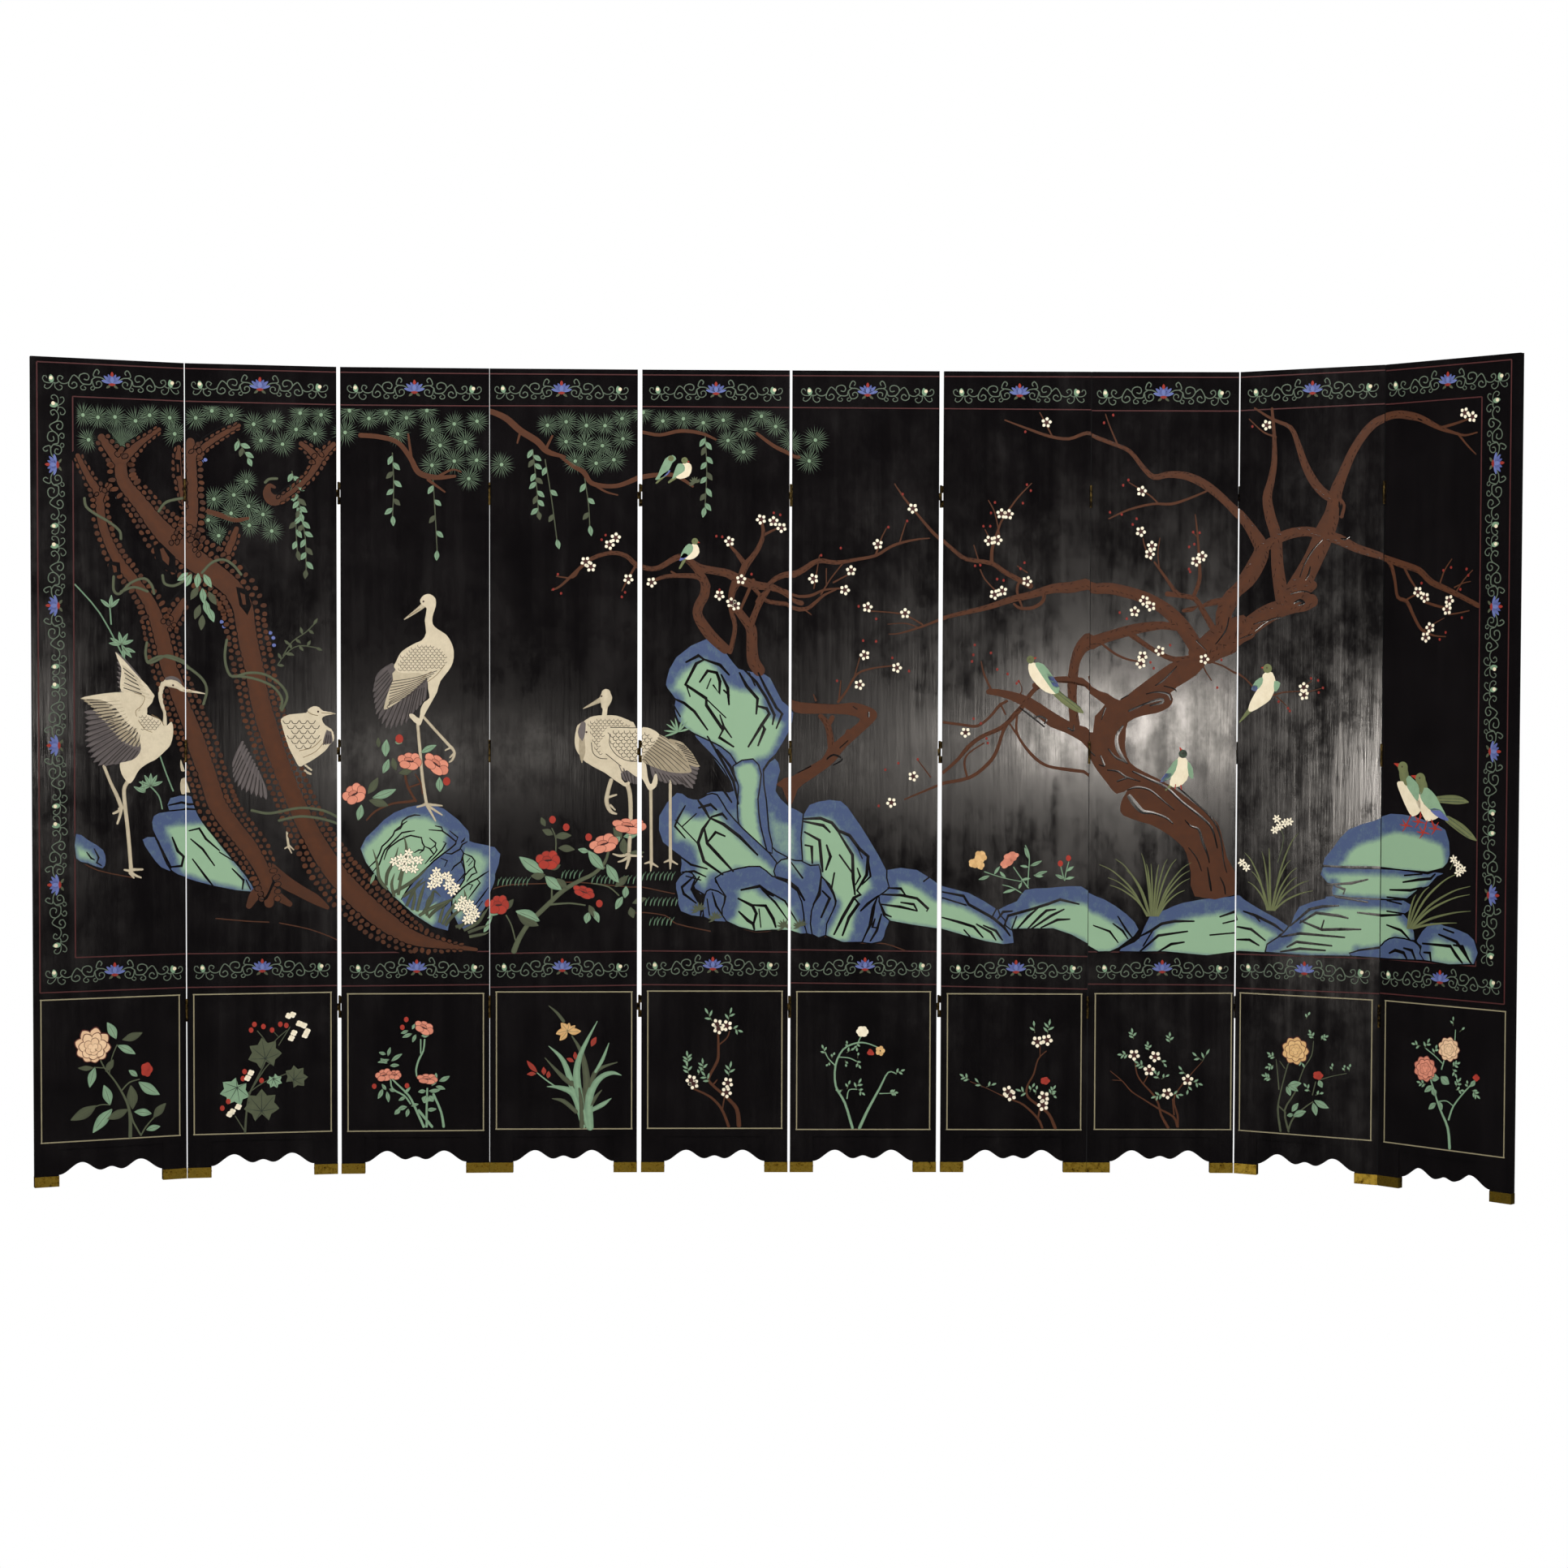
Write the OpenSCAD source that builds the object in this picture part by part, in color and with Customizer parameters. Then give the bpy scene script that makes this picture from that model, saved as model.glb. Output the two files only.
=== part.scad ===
// Ten-panel folding lacquer screen.
// Millimetres, +Z up. The viewer stands at -Y and panel 1 is at the left end.
// The origin is the middle of the standing screen's outline, on the floor.

/* [Panel] */
// Width of one panel
panel_w = 446; // [380:1:520]
// Height of a panel, from the floor to the top edge
panel_h = 2438; // [2200:1:2700]
// Thickness of a panel
panel_t = 20; // [18:0.5:26]
// Width of a stile, which runs down to the floor as a leg
stile_w = 70; // [60:1:85]

/* [Rails and boards] */
// Height of the top rail
top_rail_h = 100; // [70:1:130]
// Height of the middle rail, behind the lower scroll band
middle_rail_h = 100; // [70:1:120]
// Height of the middle rail's lower edge above the floor
middle_rail_z = 566; // [520:1:620]
// Height of the bottom rail
bottom_rail_h = 60; // [45:1:90]
// Planks side by side in each field
plank_count = 3; // [2:1:5]
// Depth of the tongues round boards and apron
tongue_d = 8; // [5:0.5:9]
// Thickness of the tongues and tenons
tongue_t = 6; // [4:0.5:7]
// Length of a rail's tenon
tenon_l = 30; // [15:1:40]
// How far a tenon stands back from each edge of its rail
tenon_inset = 12; // [10:1:16]
// Clearance of tongues and tenons in their grooves
joinery_gap = 0.1; // [0.05:0.05:0.3]
// Hairline seam where two pieces meet square
seam = 0.06; // [0.04:0.01:0.1]

/* [Apron] */
// Height of the apron's top edge above the floor
apron_top_z = 110; // [95:1:125]
// Height of the apron's lower edge where it meets a leg
apron_leg_z = 34; // [33:1:42]
// Height of the two arches in its lower edge
apron_peak_z = 68; // [55:1:80]
// Height of the two hanging lobes
apron_lobe_z = 42; // [36:1:50]
// Height of the small notch in the middle
apron_notch_z = 51; // [44:1:60]
// How far each face of the apron lies back from the frame
apron_recess = 3; // [1:0.5:5]

/* [Shoes] */
// Height of a foot's brass shoe
shoe_h = 31; // [20:1:32]
// Thickness of the shoe's brass, sole and walls
shoe_wall = 0.5; // [0.5:0.05:0.8]
// Clearance of the shoe round the foot
shoe_gap = 0.05; // [0.03:0.01:0.1]

/* [Hinges] */
// Height of the lowest hinge's middle
hinge_low_z = 506; // [400:1:560]
// Height of the highest hinge's middle
hinge_high_z = 2060; // [1900:1:2150]
// Hinges at each joint
hinge_count = 3; // [2:1:4]
// Length of a hinge, over its three knuckles
hinge_l = 66; // [54:1:80]
// Width of a leaf, across the panel's edge
leaf_w = 15; // [13:0.5:16]
// Thickness of a leaf
leaf_t = 1.5; // [1.2:0.1:2]
// Thickness of the arm that carries a knuckle
arm_t = 2.2; // [1.6:0.1:2.6]
// Radius of a hinge pin
pin_r = 2.4; // [1.8:0.1:2.6]
// Wall of a knuckle outside its bore
knuckle_wall = 1.14; // [0.8:0.02:1.14]
// Radial clearance of the pin in a knuckle
pin_gap = 0.06; // [0.04:0.01:0.1]
// Clearance between knuckle ends
knuckle_gap = 0.35; // [0.3:0.05:0.5]
// Height of the pin's head above the top knuckle
pin_head_h = 1.8; // [1:0.1:3]
// How far a pin's axis stands out from the face where the pins are at the front
front_pin_out = 4; // [3.7:0.1:5]
// How far a pin's axis stands out from the face where the pins are at the back
back_pin_out = 1; // [1:0.1:1.5]
// Gap between panels where the pins are at the front
front_pin_gap = 1.8; // [1.7:0.1:5]
// Gap at the middle joint, between the two halves of the screen
middle_gap = 8; // [2:0.5:10]
// Gap between panels where the pins are at the back
back_pin_gap = 14; // [10:0.5:18]

/* [Fasteners] */
// Radius of a hinge screw's head
screw_head_r = 3.2; // [2.6:0.1:3.6]
// Thickness left under a hinge screw's head
screw_land = 0.1; // [0.05:0.05:0.3]
// Width of the slot in a screw's head
slot_w = 0.8; // [0.5:0.1:1.2]
// Depth of the slot in a screw's head
slot_d = 0.7; // [0.4:0.1:1]
// Radius of a hinge screw's shank
screw_r = 1.5; // [1:0.1:1.8]
// Length of a hinge screw
screw_l = 18; // [12:1:24]
// Radius of a shoe nail's head
nail_head_r = 2.2; // [1.6:0.1:2.8]
// Thickness of a shoe nail's head
nail_head_h = 0.8; // [0.5:0.1:1.2]
// Radius of a shoe nail's shank
nail_r = 0.9; // [0.6:0.1:1.2]
// Length of a shoe nail
nail_l = 14; // [8:1:20]
// Radial clearance of fasteners in their holes
hole_gap = 0.05; // [0.03:0.01:0.1]

/* [Stance] */
// Forward fold between panels 1 and 2, in degrees
angle_1_2 = 12; // [0:0.5:16]
// Forward fold between panels 2 and 3
angle_2_3 = 7.5; // [-10:0.5:16]
// Forward fold between panels 3 and 4
angle_3_4 = 1.5; // [-5:0.5:10]
// Forward fold between panels 4 and 5
angle_4_5 = 1; // [-10:0.5:10]
// Forward fold between panels 5 and 6
angle_5_6 = 0; // [-5:0.5:10]
// Forward fold between panels 6 and 7
angle_6_7 = 1; // [-10:0.5:10]
// Forward fold between panels 7 and 8
angle_7_8 = 0.5; // [-5:0.5:10]
// Forward fold between panels 8 and 9
angle_8_9 = 27.5; // [10:0.5:30]
// Forward fold between panels 9 and 10
angle_9_10 = 17; // [0:0.5:30]

/* [Hidden] */
$fn = 32;
panel_count = 10;
root_panel = 5;
parts = ["frame", "boards", "apron", "shoes", "hinges", "fasteners"];

lacquer = "#1a1512";
lacquer_board = "#1f1916";
lacquer_apron = "#241c18";
brass = "#b3992c";
old_brass = "#7d6a3a";

fold_angles = [
    angle_1_2, angle_2_3, angle_3_4, angle_4_5, angle_5_6,
    angle_6_7, angle_7_8, angle_8_9, angle_9_10
];

shoe_proud = shoe_wall + shoe_gap;
opening_w = panel_w - 2 * stile_w;
top_rail_z = panel_h - top_rail_h;
bottom_rail_z = apron_top_z;
tongue_y = (panel_t - tongue_t) / 2;
bore_r = pin_r + pin_gap;
knuckle_r = bore_r + knuckle_wall;
knuckle_pitch = hinge_l / 3;
countersink_h = leaf_t - screw_land;
// A cut that opens through a face starts this far outside it
past = 1;

// ---- Where each panel stands: [x, y, heading] along the chain of pins ----

function odd(j) = j % 2 == 1;
function joint_gap(j) =
    j == root_panel ? middle_gap :
    odd(j) ? front_pin_gap : back_pin_gap;
function pin_out(j) = odd(j) ? front_pin_out : back_pin_out;
function pin_y(j) = odd(j) ? -pin_out(j) : panel_t + pin_out(j);

function heading(k) =
    k == root_panel ? 0 :
    k > root_panel ? heading(k - 1) - fold_angles[k - 2] :
    heading(k + 1) + fold_angles[k - 1];

function turned(p, a) = [p[0] * cos(a) - p[1] * sin(a), p[0] * sin(a) + p[1] * cos(a)];

// The joint's pin in the frame of its left and of its right panel
function pin_on_left(j) = [panel_w + joint_gap(j) / 2, pin_y(j)];
function pin_on_right(j) = [-joint_gap(j) / 2, pin_y(j)];

function chained(k) =
    k == root_panel ? [0, 0] :
    k > root_panel ?
        chained(k - 1) + turned(pin_on_left(k - 1), heading(k - 1))
        - turned(pin_on_right(k - 1), heading(k)) :
    chained(k + 1) + turned(pin_on_right(k), heading(k + 1))
        - turned(pin_on_left(k), heading(k));

// The outline of the standing screen: the corners of the shoes and the sides of the knuckles
function shoe_corners(k) = [
    for (x = [-shoe_proud, panel_w + shoe_proud])
        for (y = [-shoe_proud, panel_t + shoe_proud])
            chained(k) + turned([x, y], heading(k))
];
function knuckle_sides(j) = [
    for (side = [-1, 1])
        chained(j) + turned(pin_on_left(j), heading(j)) + side * [knuckle_r, knuckle_r]
];
outline = concat(
    [for (k = [1:panel_count]) each shoe_corners(k)],
    [for (j = [1:panel_count - 1]) each knuckle_sides(j)]
);
outline_x = [for (p = outline) p[0]];
outline_y = [for (p = outline) p[1]];
middle = [(min(outline_x) + max(outline_x)) / 2, (min(outline_y) + max(outline_y)) / 2];

module placed(k) {
    at = chained(k) - middle;
    translate([at[0], at[1], 0])
        rotate([0, 0, heading(k)])
            children();
}

// ---- Hinges ----

hinge_step = (hinge_high_z - hinge_low_z) / (hinge_count - 1);
hinge_heights = [for (i = [0:hinge_count - 1]) hinge_low_z + i * hinge_step];

// The left edge of a panel meets joint k - 1, and the right edge joint k
function has_left_hinges(k) = k > 1;
function has_right_hinges(k) = k < panel_count;

// A hinge's own frame: the pin is the Z axis, +Y goes into the panel's thickness
// from the face that the pin is on, and the panel's edge lies half a joint gap
// to its left.
module at_left_hinges(k) {
    j = k - 1;
    for (z = hinge_heights)
        translate([pin_on_right(j)[0], pin_on_right(j)[1], z])
            mirror([0, odd(j) ? 0 : 1, 0])
                mirror([1, 0, 0])
                    children();
}

module at_right_hinges(k) {
    j = k;
    for (z = hinge_heights)
        translate([pin_on_left(j)[0], pin_on_left(j)[1], z])
            mirror([0, odd(j) ? 0 : 1, 0])
                children();
}

screw_z = [-hinge_l / 3, 0, hinge_l / 3];

module at_screws(j) {
    for (z = screw_z)
        translate([-joint_gap(j) / 2, pin_out(j) + leaf_w * 0.6, z])
            rotate([0, -90, 0])
                children();
}

module countersink(extra) {
    cylinder(h = countersink_h, r1 = screw_head_r + extra, r2 = screw_r + extra);
}

module leaf_plate(j, extra) {
    translate([-joint_gap(j) / 2 - leaf_t, pin_out(j), -hinge_l / 2 - extra])
        cube([leaf_t, leaf_w + extra, hinge_l + 2 * extra]);
}

// A front knuckle stands clear of the faces, so its arm starts at the pin's axis
module knuckle(j, z0, z1) {
    reach = joint_gap(j) / 2 + leaf_t / 2;
    arm_y = odd(j) ? 0 : pin_out(j);
    difference() {
        union() {
            translate([0, 0, z0])
                cylinder(h = z1 - z0, r = knuckle_r);
            translate([-reach, arm_y, z0])
                cube([reach, pin_out(j) + arm_t - arm_y, z1 - z0]);
        }
        translate([0, 0, z0 - past])
            cylinder(h = z1 - z0 + 2 * past, r = bore_r);
    }
}

// A leaf with its screw holes. spans lists each knuckle's [bottom, top]
module leaf(j, spans) {
    union() {
        difference() {
            leaf_plate(j, 0);
            at_screws(j) {
                countersink(hole_gap);
                cylinder(h = 2 * leaf_t, r = screw_r + hole_gap);
            }
        }
        for (span = spans)
            knuckle(j, span[0], span[1]);
    }
}

middle_knuckle = [[-knuckle_pitch / 2, knuckle_pitch / 2]];
outer_knuckles = [
    [-hinge_l / 2, -knuckle_pitch / 2 - knuckle_gap],
    [knuckle_pitch / 2 + knuckle_gap, hinge_l / 2]
];

// A loose pin, which hangs by its head on the top knuckle
module pin() {
    head_z = hinge_l / 2 + seam;
    translate([0, 0, -hinge_l / 2])
        cylinder(h = hinge_l + pin_head_h / 2, r = pin_r);
    translate([0, 0, head_z])
        cylinder(h = pin_head_h / 2, r = knuckle_r);
    translate([0, 0, head_z + pin_head_h / 2])
        cylinder(h = pin_head_h / 2, r1 = knuckle_r, r2 = pin_r);
}

module hinges(k) {
    color(old_brass) {
        if (has_right_hinges(k))
            at_right_hinges(k)
                leaf(k, middle_knuckle);
        if (has_left_hinges(k))
            at_left_hinges(k) {
                leaf(k - 1, outer_knuckles);
                pin();
            }
    }
}

// ---- Screws and nails ----

module screw() {
    difference() {
        union() {
            countersink(0);
            cylinder(h = screw_l, r = screw_r);
        }
        translate([-slot_w / 2, -screw_head_r - past, -past])
            cube([slot_w, 2 * (screw_head_r + past), slot_d + past]);
    }
}

module nail() {
    cylinder(h = nail_l, r = nail_r);
    translate([0, 0, -nail_head_h])
        cylinder(h = nail_head_h, r1 = nail_head_r * 0.7, r2 = nail_head_r);
}

// One nail goes into each foot from the side that faces the apron
module at_nails() {
    for (side = [0, 1])
        translate([side * panel_w, panel_t / 2, 0])
            mirror([side, 0, 0])
                translate([stile_w + shoe_proud, 0, shoe_h * 0.6])
                    rotate([0, -90, 0])
                        children();
}

module fasteners(k) {
    color(old_brass) {
        if (has_right_hinges(k))
            at_right_hinges(k)
                at_screws(k)
                    screw();
        if (has_left_hinges(k))
            at_left_hinges(k)
                at_screws(k - 1)
                    screw();
        at_nails()
            nail();
    }
}

// ---- Frame ----

module hinge_seat(j) {
    leaf_plate(j, joinery_gap);
    translate([-joint_gap(j) / 2 - leaf_t, pin_out(j) - past, -hinge_l / 2 - joinery_gap])
        cube([leaf_t + past, past + arm_t, hinge_l + 2 * joinery_gap]);
    at_screws(j)
        cylinder(h = screw_l + joinery_gap, r = screw_r + hole_gap);
}

// A groove along a stile's inner edge, from z0 to z1
module stile_groove(z0, z1) {
    translate([stile_w - tongue_d - joinery_gap, tongue_y - joinery_gap / 2, z0 - joinery_gap])
        cube([tongue_d + joinery_gap + past, tongue_t + joinery_gap, z1 - z0 + 2 * joinery_gap]);
}

module mortise(rail_z, rail_h) {
    translate([stile_w - tenon_l - joinery_gap, tongue_y - joinery_gap / 2,
               rail_z + tenon_inset - joinery_gap / 2])
        cube([tenon_l + joinery_gap + past, tongue_t + joinery_gap,
              rail_h - 2 * tenon_inset + joinery_gap]);
}

// The left stile, without what its outer edge carries
module stile_blank() {
    difference() {
        translate([0, 0, shoe_wall])
            cube([stile_w, panel_t, panel_h - shoe_wall]);
        mortise(top_rail_z, top_rail_h);
        mortise(middle_rail_z, middle_rail_h);
        mortise(bottom_rail_z, bottom_rail_h);
        stile_groove(middle_rail_z + middle_rail_h - tongue_d, top_rail_z + tongue_d);
        stile_groove(bottom_rail_z + bottom_rail_h - tongue_d, middle_rail_z + tongue_d);
        stile_groove(apron_leg_z, apron_top_z + tongue_d);
    }
}

module rail(rail_z, rail_h, groove_above, groove_below) {
    difference() {
        union() {
            translate([stile_w + seam, 0, rail_z])
                cube([opening_w - 2 * seam, panel_t, rail_h]);
            translate([stile_w - tenon_l, tongue_y, rail_z + tenon_inset])
                cube([opening_w + 2 * tenon_l, tongue_t, rail_h - 2 * tenon_inset]);
        }
        if (groove_above)
            rail_groove(rail_z + rail_h - tongue_d - joinery_gap);
        if (groove_below)
            rail_groove(rail_z - past);
    }
}

module rail_groove(z) {
    translate([stile_w - past, tongue_y - joinery_gap / 2, z])
        cube([opening_w + 2 * past, tongue_t + joinery_gap, tongue_d + joinery_gap + past]);
}

module frame(k) {
    color(lacquer) {
        difference() {
            stile_blank();
            if (has_left_hinges(k))
                at_left_hinges(k)
                    hinge_seat(k - 1);
            at_nails()
                cylinder(h = nail_l + joinery_gap, r = nail_r + hole_gap);
        }
        difference() {
            translate([panel_w, 0, 0])
                mirror([1, 0, 0])
                    stile_blank();
            if (has_right_hinges(k))
                at_right_hinges(k)
                    hinge_seat(k);
            at_nails()
                cylinder(h = nail_l + joinery_gap, r = nail_r + hole_gap);
        }
        rail(top_rail_z, top_rail_h, false, true);
        rail(middle_rail_z, middle_rail_h, true, true);
        rail(bottom_rail_z, bottom_rail_h, true, true);
    }
}

// ---- Boards ----

// Planks that fill the opening from z0 to z1. Each has a tongue on its right
// edge, which fits the groove in the left edge of the next one.
module planks(z0, z1) {
    plank_w = opening_w / plank_count;
    for (i = [0:plank_count - 1]) {
        x0 = stile_w + i * plank_w;
        left_tongue = i == 0 ? tongue_d : 0;
        difference() {
            union() {
                translate([x0 + seam / 2, 0, z0 + seam])
                    cube([plank_w - seam, panel_t, z1 - z0 - 2 * seam]);
                translate([x0 - left_tongue, tongue_y, z0 - tongue_d])
                    cube([left_tongue + plank_w + tongue_d, tongue_t, z1 - z0 + 2 * tongue_d]);
            }
            if (i > 0)
                translate([x0 - past, tongue_y - joinery_gap / 2, z0 - tongue_d - past])
                    cube([past + tongue_d + joinery_gap, tongue_t + joinery_gap,
                          z1 - z0 + 2 * (tongue_d + past)]);
        }
    }
}

module boards() {
    color(lacquer_board) {
        planks(middle_rail_z + middle_rail_h, top_rail_z);
        planks(bottom_rail_z + bottom_rail_h, middle_rail_z);
    }
}

// ---- Apron ----

// The lower edge's heights at even steps of its left half, from leg to middle
function eased(a, b, s) = a + (b - a) * (1 - cos(180 * s)) / 2;
function edge_z(u) =
    u < 0.44 ? eased(apron_leg_z, apron_peak_z, u / 0.44) :
    u < 0.80 ? eased(apron_peak_z, apron_lobe_z, (u - 0.44) / 0.36) :
    eased(apron_lobe_z, apron_notch_z, (u - 0.80) / 0.20);
edge_steps = 25;

module apron_outline() {
    left = [for (i = [0:edge_steps]) [opening_w / 2 * i / edge_steps, edge_z(i / edge_steps)]];
    right = [for (i = [edge_steps - 1:-1:0]) [opening_w - left[i][0], left[i][1]]];
    polygon(concat([[0, apron_top_z]], left, right, [[opening_w, apron_top_z]]));
}

module apron() {
    tongue_h = apron_top_z + tongue_d - apron_leg_z;
    color(lacquer_apron) {
        translate([stile_w, panel_t - apron_recess, 0])
            rotate([90, 0, 0])
                linear_extrude(height = panel_t - 2 * apron_recess)
                    apron_outline();
        translate([stile_w, tongue_y, apron_top_z - past])
            cube([opening_w, tongue_t, tongue_d + past]);
        for (x = [stile_w - tongue_d, panel_w - stile_w])
            translate([x, tongue_y, apron_leg_z])
                cube([tongue_d, tongue_t, tongue_h]);
    }
}

// ---- Shoes ----

// A brass sleeve with a sole, open at the top
module shoe() {
    outer_w = stile_w + 2 * shoe_proud;
    outer_t = panel_t + 2 * shoe_proud;
    difference() {
        translate([-shoe_proud, -shoe_proud, 0])
            cube([outer_w, outer_t, shoe_h]);
        translate([-shoe_gap, -shoe_gap, shoe_wall])
            cube([stile_w + 2 * shoe_gap, panel_t + 2 * shoe_gap, shoe_h]);
    }
}

module shoes() {
    color(brass)
        difference() {
            union() {
                shoe();
                translate([panel_w, 0, 0])
                    mirror([1, 0, 0])
                        shoe();
            }
            at_nails()
                translate([0, 0, -past])
                    cylinder(h = nail_l, r = nail_r + hole_gap);
        }
}

// ---- Assembly ----

for (k = [1:panel_count]) {
    placed(k) frame(k);
    placed(k) boards();
    placed(k) apron();
    placed(k) shoes();
    placed(k) hinges(k);
    placed(k) fasteners(k);
}
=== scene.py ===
# %% [markdown]
# # A ten-panel black lacquer folding screen
# The screen is a row of tall black boards hung on brass pins. Its faces carry a garden: pines,
# cranes, rocks, plum trees and birds, with a scroll border round them and one flower in each low box.
# On the real object the ground is lacquer over wood, and the picture is cut into it and filled with
# thick colour. So the boards, hinges and shoes come from the CAD frame, and the picture is built here
# as thin raised colour, piece by piece, on the panel that carries it.

import math
import random

import bpy
import numpy as np
from mathutils import Matrix, Vector
from mathutils.geometry import delaunay_2d_cdt, tessellate_polygon


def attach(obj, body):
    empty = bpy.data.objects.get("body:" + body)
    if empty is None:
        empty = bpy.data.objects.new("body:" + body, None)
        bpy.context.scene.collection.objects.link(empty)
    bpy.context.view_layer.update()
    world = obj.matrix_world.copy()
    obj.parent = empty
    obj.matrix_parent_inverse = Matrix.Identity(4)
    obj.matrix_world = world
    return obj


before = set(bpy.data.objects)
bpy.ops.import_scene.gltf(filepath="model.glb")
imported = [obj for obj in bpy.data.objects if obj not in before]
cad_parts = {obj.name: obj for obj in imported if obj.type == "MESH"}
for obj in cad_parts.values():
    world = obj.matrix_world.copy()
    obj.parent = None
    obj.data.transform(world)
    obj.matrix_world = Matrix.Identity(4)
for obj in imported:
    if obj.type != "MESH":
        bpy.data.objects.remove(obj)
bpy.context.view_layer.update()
PANELS = range(1, 11)

# %% [markdown]
# ## Where each panel stands
# The panels stand in a shallow curve, each turned a little from the next. The picture has to lie on
# their faces, so the turn and the front corner of each face are measured on the CAD frame: the
# largest upright face that looks toward the viewer gives the turn, and the far points of the frame
# give the corner and the width. Measured this way, the picture follows if the panels are resized.


# %% Stands of the panels
def stand_of(number):
    """The front bottom left corner of a panel, the way along its face, the way out of it and its width."""
    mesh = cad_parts[f"panel_{number}_frame"].data
    facing = {}
    for face in mesh.polygons:
        turn = math.degrees(math.atan2(face.normal.x, -face.normal.y))
        if abs(face.normal.z) < 0.01 and abs(turn) < 60:
            facing.setdefault(round(turn), []).append(face)
    front = max(facing.values(), key=lambda faces: sum(f.area for f in faces))
    turned = sum((f.normal * f.area for f in front), Vector())
    angle = math.atan2(turned.x, -turned.y)
    along = Vector((math.cos(angle), math.sin(angle), 0))
    out = Vector((math.sin(angle), -math.cos(angle), 0))
    reach = [v.co.dot(along) for v in mesh.vertices]
    corner = along * min(reach) + out * max(v.co.dot(out) for v in mesh.vertices)
    return corner, along, out, max(reach) - min(reach)


STANDS = {number: stand_of(number) for number in PANELS}
for number, (corner, along, out, width) in STANDS.items():
    print("panel", number, "turned", round(math.degrees(math.atan2(along.y, along.x)), 1), "width",
        round(width, 4))

# %% [markdown]
# ## Laying colour on the panels
# A lacquer worker draws the garden across all ten boards laid side by side and then cuts it board by
# board. The same is done here: every shape is drawn in millimetres on one long sheet (u along all the
# boards, z up from the floor), and is cut where a board ends. Colour stands 0.15 to 1 mm proud of the
# lacquer with sloped sides, thick where one colour lies over another, and the foot of each slope goes
# just into the board. Front faces fold up 8 mm apart, so the colour never touches its neighbour.
# The boards were lacquered one by one, so on some of them the picture hangs a little high or low.

# %% Drawing sheet
SHEET_PITCH = 462.0  # mm on the sheet from one panel's left edge to the next one's
SHEET_PANEL = 452.0  # mm of it that lie on the panel
MM = 1000  # in a metre
SUNK = -0.05  # mm, the foot of the colour, just under the lacquer
SLOPE = 0.25  # mm that a side leans out
# mm that each board's picture hangs high (+) or low at mid height
HUNG = (0, 0, -6, 10, 15, 0, 0, -25, -5, -5)
HUNG_ENDS = [SHEET_PITCH * i + side for i in range(len(HUNG)) for side in (10, 442)]
# z, and the part of it there
HUNG_PART = ((60, 230, 500, 700, 1700, 2100, 2422), (0, 0.55, 0.85, 1, 1, 0.7, 0))
sheet = {}
dice = random.Random(7)


def lay(layer, colour, points, faces):
    """Puts one shape on the sheet: points are (u, z, height, shade) in mm and shade from 0 to 1."""
    p = np.array(points, float)
    p[:, 1] += np.interp(p[:, 0], HUNG_ENDS, np.repeat(HUNG, 2)) * np.interp(p[:, 1], *HUNG_PART)
    sheet.setdefault(layer, []).append((colour, p.tolist(), faces))


def smooth(points, cuts=4, closed=False):
    """A curve through given points, with some cuts between each two of them."""
    p = np.array(points, float)
    n = len(p)
    if n < 3 or cuts < 2:
        return p
    spans = n if closed else n - 1
    t = np.arange(cuts)[:, None] / cuts
    curve = []
    for i in range(spans):
        if closed:
            a, b, c, d = p[i - 1], p[i], p[(i + 1) % n], p[(i + 2) % n]
        else:
            a, b, c, d = p[max(i - 1, 0)], p[i], p[i + 1], p[min(i + 2, n - 1)]
        curve.append(0.5 * (2 * b + (c - a) * t + (2 * a - 5 * b + 4 * c - d) * t**2 + (3 * b - a - 3 * c + d) * t**3))
    if not closed:
        curve.append(p[-1:])
    return np.concatenate(curve)


def skirt(points, faces):
    """Adds the sloped side round a flat shape, from its open edges down into the lacquer."""
    count = {}
    for face in faces:
        for a, b in zip(face, face[1:] + face[:1]):
            count[(a, b)] = count.get((a, b), 0) + 1
    rim = [edge for edge in count if (edge[1], edge[0]) not in count]
    push = {}
    for a, b in rim:
        du, dz = points[b][0] - points[a][0], points[b][1] - points[a][1]
        size = math.hypot(du, dz) or 1
        for end in (a, b):
            push.setdefault(end, []).append((dz / size, -du / size))
    foot = {}
    for end, ways in push.items():
        wu, wz = sum(w[0] for w in ways), sum(w[1] for w in ways)
        size = math.hypot(wu, wz) or 1
        foot[end] = len(points)
        u, z, _, shade = points[end]
        points.append((u + wu / size * SLOPE, z + wz / size * SLOPE, SUNK, shade))
    faces.extend((a, foot[a], foot[b], b) for a, b in rim)


def ccw(outline):
    """The outline turned anticlockwise, so that its face looks out of the panel."""
    u, z = outline[:, 0], outline[:, 1]
    area = (u * np.roll(z, -1) - z * np.roll(u, -1)).sum()
    return outline if area > 0 else outline[::-1]


def patch(layer, colour, outline, tall=0.3, cuts=3, shade=0.5):
    """One flat patch of colour with a smooth outline; cuts=1 keeps its corners sharp."""
    edge = ccw(smooth(outline, cuts, closed=True))
    triangles = tessellate_polygon([[Vector((u, z, 0)) for u, z in edge]])
    faces = []
    for a, b, c in triangles:
        (ub, zb), (uc, zc) = edge[b] - edge[a], edge[c] - edge[a]
        turn = ub * zc - zb * uc
        if abs(turn) > 1e-6:
            faces.append((a, b, c) if turn > 0 else (a, c, b))
    points = [(u, z, tall, shade) for u, z in edge]
    skirt(points, faces)
    lay(layer, colour, points, faces)


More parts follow.
